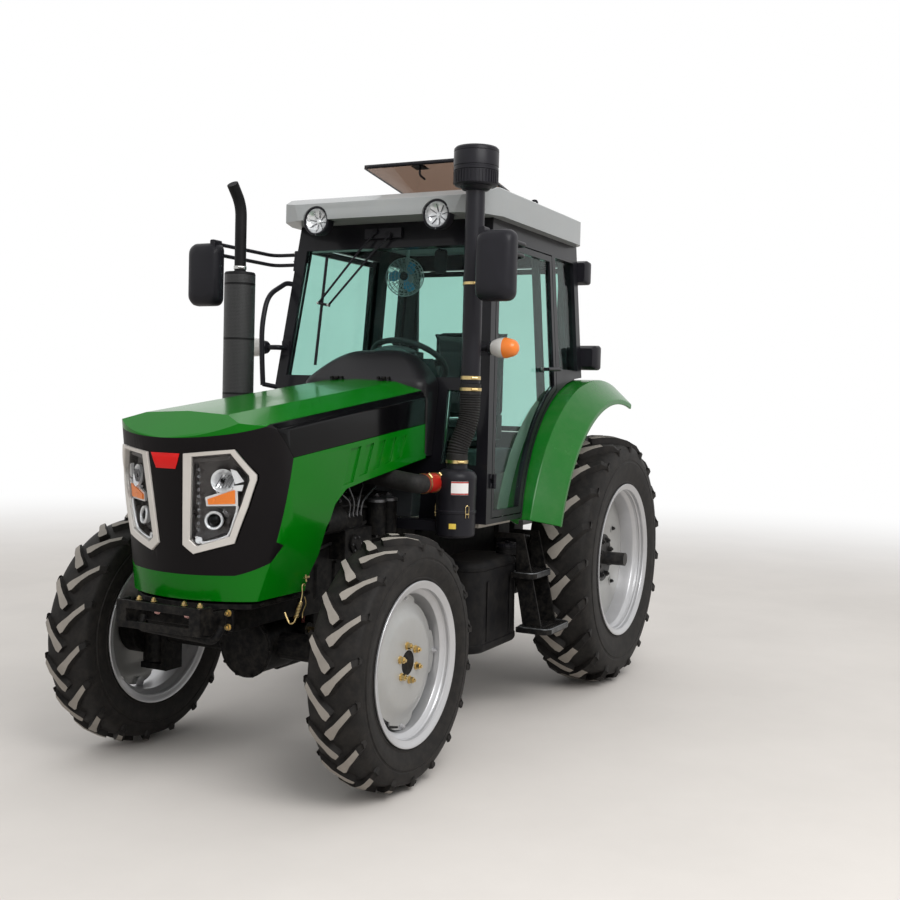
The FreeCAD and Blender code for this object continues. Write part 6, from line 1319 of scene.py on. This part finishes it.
    # Levers, pedals and side console.
    for x, y, z, lean, tall in ((690, -318, 1300, -30, 210), (760, -330, 1300, 20, 160), (620, -330, 1300, 0, 130),
                                (900, 60, 984, -60, 470)):
        d.paint(1).lathe((x, y, z), (0, 0, 1),
                         [(0, 0.5), (0, 34), (8, 30), (20, 26), (26, 18), (40, 13), (46, 8), (46, 0.5)], 20)
        d.paint(2).tube([(x, y, z), (x + lean, y, z + tall)], 6, 10)
        d.paint(1).lathe((x + lean, y, z + tall), (0, 0, 1),
                         [(-16, 0.5), (-16, 9), (0, 17), (22, 21), (38, 18), (46, 8), (47, 0.5)], 20)
    for y in (-330, 330):
        d.paint(0).loft([[(cx, cy, z) for cx, cy in rounded(650, y, 210 * k, 62 * k, 26, 5)] for z,
                         k in ((1180, 1.0), (1290, 0.98), (1304, 0.9))])
    for y in (-170, -110, 160):
        d.paint(1).tube(smooth_path([(1060, y, 1300), (1020, y, 1150), (955, y, 1105)], 5, 40), 8, 8)
        d.loft([[(x, y + b, z) for b in (-32, 32) for x,
                 z in (((975, 1080), (935, 1122)) if b < 0 else ((935, 1122), (975, 1080)))],
                [(x + 9, y + b, z + 9) for b in (-32, 32) for x,
                 z in (((975, 1080), (935, 1122)) if b < 0 else ((935, 1122), (975, 1080)))]])
    d.done("dash_fittings", "tractor", [DASH, MOULD, BARE, WHITE_LABEL, RED], slot="interior_black", bevel=0.0,
           smooth=40)
    # The wheel's hub and grip.
    turn = Matrix.Rotation(math.radians(-32), 3, "Y")

    def on_wheel(a, b, c_):
        q = turn @ Vector((a, b, c_))
        return (965 + q.x, q.y, 1745 + q.z)

    g = Piece()
    rim_line = [on_wheel(195 * math.cos(a), 195 * math.sin(a),
                         0) for a in [2 * math.pi * i / 72 for i in range(72)]]
    g.paint(0).tube(rim_line, [14.8 + (0.5 if i % 3 else -0.4) for i in range(72)], 14, close=True)
    hub = [on_wheel(0, 0, z) for z in (-30, -14, 0, 10, 16)]
    g.tube(hub, [36, 52, 54, 46, 30], 28)
    for a0 in (90, 180, 270, 0):
        a = math.radians(a0)
        if a0 == 180:
            continue
        rows = []
        for r, w_, h in ((40, 26, 10), (110, 17, 7), (186, 20, 8)):
            rows.append([on_wheel(r * math.cos(a) - s * w_ * math.sin(a), r * math.sin(a) + s * w_ * math.cos(a), z)
                         for s, z in ((-1, -h), (1, -h), (0.8, h), (-0.8, h))])
        g.loft(rows)
    g.tube([on_wheel(0, 0, -168), on_wheel(0, 0, -30)], [27, 24], 24)
    g.paint(1).tube([on_wheel(-8, 52, -90), on_wheel(-14, 190, -78)], [5, 7], 8)
    g.tube([on_wheel(-8, -52, -90), on_wheel(-14, -170, -78)], [5, 7], 8)
    g.done("wheel_grip", "tractor", [TRIM, MOULD], slot="interior_black", smooth=45, replaces=["steering_wheel"])


GREY_PLASTIC = material("grey_plastic", (0.42, 0.45, 0.47), rough=0.45, spread=0.08)
DASH = material("dash_soft", (0.10, 0.115, 0.12), rough=0.6, spread=0.12, scale=6.0, grain=0.3, grain_scale=420.0)
interior()


DULL = material("dull_steel", (0.13, 0.13, 0.135), rough=0.4, metal=0.85, spread=0.3, scale=20.0, grain=0.1)


# Engine bay: fuel lines, belt drive, hoses, wires and bolts.
def engine_bay():
    p = Piece()
    for k in range(4):
        x = 1840 + 32 * k
        hx = 1640 + 150 * k
        p.paint(0).tube(smooth_path([(x, 252, 1038), (x, 262, 1100), (hx, 236, 1180 + 8 * k), (hx, 150, 1236)], 6,
                                    34), 4, 8)
        p.bolt((x, 252, 1036), (0, 0, 1), 12, 18)
        p.paint(1).tube([(hx, 158, 1236), (hx, 120, 1290)], 13, 12)
    # Rocker cover, head bolts and sump bolts.
    p.paint(1).loft([[(x, y, z) for x, y in rounded(1850, 0, 340 - d, 120 - d, 40, 5)] for z,
                     d in ((1288, 0), (1296, 4), (1300, 14))])
    for k in range(10):
        x = 1510 + 74 * k
        for s in (1, -1):
            p.paint(0).bolt((x, s * 207, 1106), (0, s, 0), 14)
            if k < 8:
                p.bolt((1560 + 66 * k, s * 209, 656), (0, s, 0), 13)
    # Ribs cast on the block's sides.
    for s in (1, -1):
        for x in (1560, 1700, 1980, 2120):
            p.paint(1).loft([[(x + a, s * 209, z) for a, z in ((-12, 700), (12, 700), (12, 850), (-12, 850))],
                             [(x + a, s * 219, z) for a, z in ((-6, 712), (6, 712), (6, 838), (-6, 838))]])
    # Crank pulley, belt and fan blades.
    p.paint(1).lathe((2226, 0, 830), (1, 0, 0),
                     [(0, 0.5), (0, 80), (10, 84), (16, 76), (22, 84), (30, 80), (34, 40), (34, 0.5)], 40)
    p.lathe((2226, 0, 1033), (1, 0, 0), [(0, 0.5), (0, 60), (8, 62), (14, 56), (20, 62), (28, 60), (28, 0.5)], 36)
    belt = []
    for cy, cz, r, a0, a1 in ((0, 830, 80, 200, 350), (268, 1040, 44, -20, 80), (0, 1033, 60, 100, 170)):
        belt += [(2242, cy + r * math.cos(math.radians(a)), cz + r * math.sin(math.radians(a)))
                 for a in [a0 + (a1 - a0) * i / 8 for i in range(9)]]
    p.paint(2).tube(belt, 6, 6, close=True)
    p.paint(1).lathe((2232, 268, 1040), (1, 0, 0),
                     [(0, 0.5), (0, 46), (6, 48), (12, 42), (18, 48), (22, 46), (22, 0.5)], 28)
    for k in range(8):
        a = 2 * math.pi * k / 8
        d, e = Vector((0, math.cos(a), math.sin(a))), Vector((0, -math.sin(a), math.cos(a)))
        c = Vector((2390, 0, 1033))
        rows = []
        for r, w_ in ((50, 22), (130, 34), (212, 40)):
            q = c + d * r
            rows.append([tuple(q + e * w_ + Vector((16, 0, 0))), tuple(q - e * w_ - Vector((14, 0, 0))),
                         tuple(q - e * w_ - Vector((17, 0, 0))), tuple(q + e * w_ + Vector((13, 0, 0)))])
        p.loft(rows)
    # Radiator hoses, air hose and wiring.
    p.paint(2).tube(smooth_path([(2150, 60, 1286), (2230, 90, 1300), (2360, 150, 1290), (2442, 150, 1262)], 8, 60),
                    24, 16)
    p.tube(smooth_path([(2200, -150, 760), (2300, -170, 740), (2400, -190, 790), (2442, -190, 810)], 8, 60), 26, 16)
    p.paint(1).lathe((2262, 100, 1299), (1, 0.25, 0), [(-8, 24), (-8, 27), (8, 27), (8, 24)], 24)
    for y, z, r in ((214, 1000, 9), (222, 930, 7), (216, 1070, 6), (-216, 980, 8)):
        line = [(1500 + 90 * i, y + 8 * math.sin(i * 1.9 + z), z + 14 * math.sin(i * 1.3 + y)) for i in range(8)]
        p.paint(2).tube(smooth_path(line, 5, 50), r, 10)
    p.tube(smooth_path([(1470, 300, 905), (1520, 320, 780), (1660, 270, 700), (1760, 230, 690)], 8, 90), 10, 10)
    p.tube(smooth_path([(1460, 360, 912), (1500, 400, 820), (1480, 380, 700), (1400, 300, 640)], 8, 90), 8, 10)
    p.tube(smooth_path([(1430, 330, 905), (1480, 360, 760), (1600, 300, 620), (1720, 220, 610)], 8, 90), 12, 12)
    # Fuel filters' heads, drain cocks and the pump's fittings.
    for x in (1598, 1698):
        p.paint(0).lathe((x, 252, 1088), (0, 0, 1), [(0, 0.5), (0, 46), (12, 46), (16, 30), (24, 12), (26, 0.5)],
                         24)
        p.bolt((x, 252, 1108), (0, 0, 1), 16)
        p.tube([(x, 252, 940), (x, 252, 926)], [10, 6], 10)
    p.paint(1).lathe((1946, 292, 925), (0, 1, 0), [(0, 0.5), (0, 40), (8, 40), (12, 26), (20, 22), (21, 0.5)], 24)
    for a0 in range(0, 360, 60):
        p.paint(0).bolt((1946 + 32 * math.cos(math.radians(a0)), 299, 925 + 32 * math.sin(math.radians(a0))),
                        (0, 1, 0), 8)
    p.paint(3).lathe((1739, 279, 720), (0, 1, 0),
                     [(-62, 0.5), (-62, 50), (-50, 51), (0, 51), (6, 44), (8, 20), (8, 0.5)], 28)
    p.done("engine_fittings", "tractor", [DULL, ENGINE, RUBBER, TRIM], slot="engine_iron", smooth=35)


engine_bay()


# Front end: bracket bolts, hood latch, steering cylinder, axle covers.
def front_end():
    p = Piece()
    for y in (-112, -41, 104, 177):
        p.paint(0).bolt((2838, y, 768), (0, 0, 1), 17, 12)
    for y in (-61, 83):
        p.paint(3).bolt((2790, y, 722), (1, 0, 0), 15, 12)
    p.paint(1).tube(smooth_path([(2760, -160, 690), (2790, -150, 652), (2800, 215, 640), (2770, 226, 690)], 6, 24),
                    15, 16)
    for s in (1, -1):
        for z in (690, 742):
            p.paint(0).bolt((2740 + 15, s * 245, z), (1, 0, 0), 18)
        for x in (2290, 2400, 2500, 2610):
            p.paint(1).bolt((x, s * 281, 762), (0, s, 0), 15)
    # Differential cover with its ring of bolts, and the steering cylinder behind the axle.
    p.paint(1).lathe((2206, 0, 509), (1, 0, 0),
                     [(100, 0.5), (100, 128), (112, 130), (118, 120), (128, 96), (136, 50), (138, 0.5)], 44)
    for k in range(10):
        a = 2 * math.pi * k / 10
        p.paint(1).bolt((2318, 122 * math.cos(a), 509 + 122 * math.sin(a)), (1, 0, 0), 13)
    p.paint(1).tube([(2085, -150, 560), (2085, 150, 560)], 27, 24)
    p.paint(0).tube([(2085, -235, 560), (2085, 235, 560)], 13, 16)
    for s in (-150, 150):
        p.paint(1).tube([(2085, s - 8, 560), (2085, s + 8, 560)], 32, 24)
        p.paint(2).tube(smooth_path([(2085, s * 0.85, 588), (2085, s * 0.85, 640), (2000, s * 0.6, 690)], 6, 40),
                        8, 8)
    p.done("front_fittings", "tractor", [GOLD, IRON, RUST, PINK], slot="chassis_iron", smooth=35)
    h = Piece()
    for s in (1, -1):
        q = Vector((2381, s * 338, 838))
        h.paint(0).tube([tuple(q + Vector((-16, 0, 0))), tuple(q + Vector((16, 0, 0)))], 5, 8)
        h.tube([tuple(q + Vector((0, -s * 4, 10))), tuple(q + Vector((0, 0, -18)))], 4, 8)
    h.done("latch_eyes", "hood", GOLD, smooth=40)
    k = Piece()
    for s in (1, -1):
        a = Vector((2398, s * 336, 806))
        hook = [a + Vector((-10, 0, 0)), a + Vector((-2, 0, 10)), a + Vector((10, 0, 2)), a + Vector((6, 0, -30)),
                a + Vector((14, 0, -52)), a + Vector((18, 0, -60))]
        k.paint(0).tube(smooth_path([tuple(q) for q in hook], 5, 12), 3.2, 8)
        coil = []
        for i in range(90):
            t = i / 89
            ang = 2 * math.pi * 11 * t
            coil.append((2416 + 16 * t + 8 * math.cos(ang), s * (336 - 10 * t) + 8 * math.sin(ang), 744 - 62 * t))
        k.tube(coil, 1.7, 6)
        k.tube([(2416, s * 336, 748), (2416, s * 336, 742)], [4, 8], 10)
        k.tube(smooth_path([(2432, s * 326, 682), (2438, s * 322, 664), (2438, s * 300, 656),
                            (2438, s * 276, 700)], 5, 14), 4, 8)
        k.tube(smooth_path([(2380, s * 330, 760), (2372, s * 334, 730), (2392, s * 330, 700),
                            (2386, s * 326, 676)], 5, 14), 2.5, 6)
    k.done("hood_latches", "tractor", GOLD, smooth=40)


PINK = material("primer_pale", (0.55, 0.30, 0.27), rough=0.55, spread=0.2, scale=30.0)
RUST = material("primer_red", (0.20, 0.035, 0.025), rough=0.6, spread=0.3, scale=30.0, grain=0.2)
front_end()


# Hood: the seal at its rear edge.
def hood_trim():
    p = Piece()
    seal = []
    for k in range(25):
        t = k / 24
        z = 1010 + (1600 - 1010) * t
        if SIDE_FACES.ray_cast(P(1474, 2000, z - 8), Vector((0, -1, 0)))[0]:
            seal.append((1463, min(on_side(1474, z)[1] + 1, 369), z))
    for s in (1, -1):
        p.paint(0).tube([(x, s * y, z) for x, y, z in seal if y > 200], 6, 8)
    p.done("hood_seal", "hood", RUBBER, smooth=60)
    # Radiator behind it: side rails, tanks, fins and a filler cap.
    q = Piece()
    q.paint(0).box((2529, 2536), (-258, -226), (768, 1298))
    q.box((2529, 2536), (226, 258), (768, 1298))
    q.box((2529, 2538), (-226, 226), (1246, 1298))
    q.box((2529, 2538), (-226, 226), (768, 812))
    for k in range(31):
        z = 818 + 14 * k
        q.paint(1).box((2529, 2533), (-226, 226), (z, z + 5))
    for y in (-150, -75, 0, 75, 150):
        q.paint(0).box((2529, 2535), (y - 2, y + 2), (812, 1246))
    q.paint(2).lathe((2470, 120, 1299), (0, 0, 1), [(0, 0.5), (0, 22), (4, 24), (12, 24), (16, 20), (16, 0.5)], 20)
    q.done("radiator_face", "tractor", [STEEL_BLACK, DULL, MOULD], slot="radiator_black", smooth=35, bevel=0.001)


hood_trim()


# Roof: gutter, hatch latch and loop.
def roof_trim():
    p = Piece()
    foot = faces_of("roof").ray_cast(P(86, 300, 4000), Vector((0, 0, -1)))[0].z * 1000
    low, high = foot + 20, foot + 128
    p.paint(0).tube(smooth_path([(86, 284, low), (86, 284, high), (86, 316, high), (86, 316, low)], 6, 16), 7, 10)
    p.lathe((86, 300, foot), (0, 0, 1), [(-3, 0.5), (-3, 40), (6, 40), (14, 34), (24, 30), (26, 26), (26, 0.5)], 28)
    p.done("roof_loop", "tractor", MOULD, smooth=40)
    h = Piece()
    slope = math.tan(math.radians(8.4))

    def on_hatch(x, y, up):
        return (x, y, 2670 + (x - 430) * slope + up)

    edge = rounded(700, 0, 268, 298, 40, 6)
    h.paint(0).tube([on_hatch(x, y, 11) for x, y in edge], 7, 8, close=True)
    h.loft([[on_hatch(x, y, 22.5) for x, y in rounded(900, 0, 34, 40, 10, 4)],
            [on_hatch(x, y, 27) for x, y in rounded(900, 0, 26, 32, 10, 4)]])
    h.tube(smooth_path([on_hatch(905, 0, 0), on_hatch(905, 0, -26), on_hatch(850, 0, -30)], 5, 12), 6, 8)
    h.done("hatch_trim", "hatch", MOULD, smooth=40)


roof_trim()


# Rear: couplers of the hydraulics, their shields and a blank plate.
def rear_end():
    p = Piece()
    for k in range(4):
        y = -105 + 70 * k
        p.paint(1).lathe((-262, y, 968), (-1, 0, 0.2),
                         [(-40, 16), (0, 16), (4, 20), (20, 20), (22, 14), (30, 14), (30, 0.5), (-40, 0.5)], 20)
        p.paint(2).lathe((-290, y, 974), (-1, 0, 0.2), [(0, 0.5), (0, 18), (12, 18), (16, 10), (16, 0.5)], 16)
    p.paint(0).loft([[(x, y, z) for y, z in ((-140, 930), (140, 930), (140, 1000), (-140, 1000))]
                     for x in (-262, -222)])
    p.loft([[(x, y, z) for y, z in rounded(0, 620, 115, 10, 6, 3)] for x in (-330, -262)])
    for s in (1, -1):
        p.loft([[(x, s * y, z) for x, z in ((-330, 612), (-262, 612), (-262, 520), (-300, 560))]
                for y in (106, 114)])
    for a0 in range(0, 360, 45):
        a = math.radians(a0)
        p.paint(1).bolt((-262, 96 * math.cos(a), 560 + 96 * math.sin(a) * 0.6), (-1, 0, 0), 12)
    p.paint(3).loft([[(x, y, z) for y, z in rounded(-330, 1500, 62, 44, 8, 4)] for x in (40, 34)])
    p.done("rear_fittings", "tractor", [STEEL_BLACK, BARE, RED_HOSE, WHITE_LABEL], slot="chassis_iron", smooth=35)


rear_end()


# Floor, light and camera
def stage_plane(name, size, z, colour, rough):
    bm = bmesh.new()
    bmesh.ops.create_grid(bm, x_segments=1, y_segments=1, size=size)
    mesh = bpy.data.meshes.new(name)
    bm.to_mesh(mesh)
    bm.free()
    obj = bpy.data.objects.new(name, mesh)
    obj.location.z = z
    bpy.context.scene.collection.objects.link(obj)
    m = bpy.data.materials.new(name)
    m.use_nodes = True
    t = m.node_tree
    shader = t.nodes["Principled BSDF"]
    shader.inputs["Roughness"].default_value = rough
    shader.inputs["Specular IOR Level"].default_value = 0.15
    place = node_of(t, "ShaderNodeTexCoord")
    patches = node_of(t, "ShaderNodeTexNoise", Scale=0.9, Detail=8.0, Roughness=0.62)
    t.links.new(place.outputs["Object"], patches.inputs["Vector"])
    ramp = node_of(t, "ShaderNodeValToRGB")
    low, high = ramp.color_ramp.elements
    low.position, high.position = 0.3, 0.75
    low.color = [c * 0.95 for c in colour] + [1]
    high.color = [c * 1.04 for c in colour] + [1]
    t.links.new(patches.outputs["Fac"], ramp.inputs["Fac"])
    t.links.new(ramp.outputs["Color"], shader.inputs["Base Color"])
    # Seen by the camera, the floor fades into the white background far from the object.
    far = node_of(t, "ShaderNodeVectorMath", operation="LENGTH")
    t.links.new(place.outputs["Object"], far.inputs[0])
    fade = node_of(t, "ShaderNodeMapRange", interpolation_type="SMOOTHSTEP")
    fade.inputs["From Min"].default_value = FADE[0]
    fade.inputs["From Max"].default_value = FADE[1]
    t.links.new(far.outputs["Value"], fade.inputs["Value"])
    path = node_of(t, "ShaderNodeLightPath")
    both = node_of(t, "ShaderNodeMath", operation="MULTIPLY")
    t.links.new(path.outputs["Is Camera Ray"], both.inputs[0])
    t.links.new(fade.outputs["Result"], both.inputs[1])
    white = node_of(t, "ShaderNodeEmission")
    white.inputs["Color"].default_value = (1, 1, 1, 1)
    mix = node_of(t, "ShaderNodeMixShader")
    t.links.new(both.outputs[0], mix.inputs[0])
    t.links.new(shader.outputs[0], mix.inputs[1])
    t.links.new(white.outputs[0], mix.inputs[2])
    t.links.new(mix.outputs[0], t.nodes["Material Output"].inputs["Surface"])
    mesh.materials.append(m)
    return obj


FADE = (4.5, 13.0)
stage_plane("floor", 60, 0.0, (0.66, 0.62, 0.58), 0.75)
world = bpy.data.worlds.new("studio")
bpy.context.scene.world = world
world.use_nodes = True
wt = world.node_tree
background = wt.nodes["Background"]
background.inputs["Color"].default_value = (1, 1, 1, 1)
background.inputs["Strength"].default_value = 1.0
# What lights the object is softer near the horizon; the camera, metal and glass see plain white.
sky = node_of(wt, "ShaderNodeBackground")
sky_place = node_of(wt, "ShaderNodeTexCoord")
sky_parts = node_of(wt, "ShaderNodeSeparateXYZ")
wt.links.new(sky_place.outputs["Generated"], sky_parts.inputs[0])
height = node_of(wt, "ShaderNodeMapRange")
height.inputs["From Min"].default_value = -0.1
height.inputs["From Max"].default_value = 0.8
height.inputs["To Min"].default_value = 0.42
height.inputs["To Max"].default_value = 1.05
wt.links.new(sky_parts.outputs["Z"], height.inputs["Value"])
wt.links.new(height.outputs["Result"], sky.inputs["Strength"])
sky.inputs["Color"].default_value = (0.97, 0.985, 1, 1)
paths = node_of(wt, "ShaderNodeLightPath")
seen = node_of(wt, "ShaderNodeMath", operation="MAXIMUM")
wt.links.new(paths.outputs["Is Camera Ray"], seen.inputs[0])
wt.links.new(paths.outputs["Is Glossy Ray"], seen.inputs[1])
shown = node_of(wt, "ShaderNodeMath", operation="MAXIMUM")
wt.links.new(seen.outputs[0], shown.inputs[0])
wt.links.new(paths.outputs["Is Transmission Ray"], shown.inputs[1])
choice = node_of(wt, "ShaderNodeMixShader")
wt.links.new(shown.outputs[0], choice.inputs[0])
wt.links.new(sky.outputs[0], choice.inputs[1])
wt.links.new(background.outputs[0], choice.inputs[2])
wt.links.new(choice.outputs[0], wt.nodes["World Output"].inputs["Surface"])


def area(name, place, aim, size, power, colour=(1, 1, 1)):
    light = bpy.data.lights.new(name, "AREA")
    light.shape = "RECTANGLE"
    light.size, light.size_y = size
    light.energy = power
    light.color = colour
    obj = bpy.data.objects.new(name, light)
    obj.location = place
    obj.rotation_euler = (Vector(aim) - Vector(place)).to_track_quat("-Z", "Y").to_euler()
    bpy.context.scene.collection.objects.link(obj)
    return obj


area("key", (3.5, 4.5, 5.5), (0, 0, 1.0), (4, 3), 260)

camera = bpy.data.cameras.new("camera")
camera.sensor_width = 36
camera.lens = 46.24
camera.clip_start = 0.1
camera.clip_end = 200
cam = bpy.data.objects.new("camera", camera)
yaw, pitch, roll = math.radians(206.74), math.radians(2.44), math.radians(-1.48)
ahead = Vector((math.cos(yaw) * math.cos(pitch), math.sin(yaw) * math.cos(pitch), -math.sin(pitch)))
right = Vector((math.sin(yaw), -math.cos(yaw), 0))
down = ahead.cross(right)
right_r = right * math.cos(roll) + down * math.sin(roll)
down_r = down * math.cos(roll) - right * math.sin(roll)
cam.matrix_world = Matrix.Translation((6.202 - 0.940, 2.885, 1.552)) @ \
    Matrix((right_r, -down_r, -ahead)).transposed().to_4x4()
bpy.context.scene.collection.objects.link(cam)
bpy.context.scene.camera = cam
bpy.context.scene.view_settings.view_transform = "Standard"
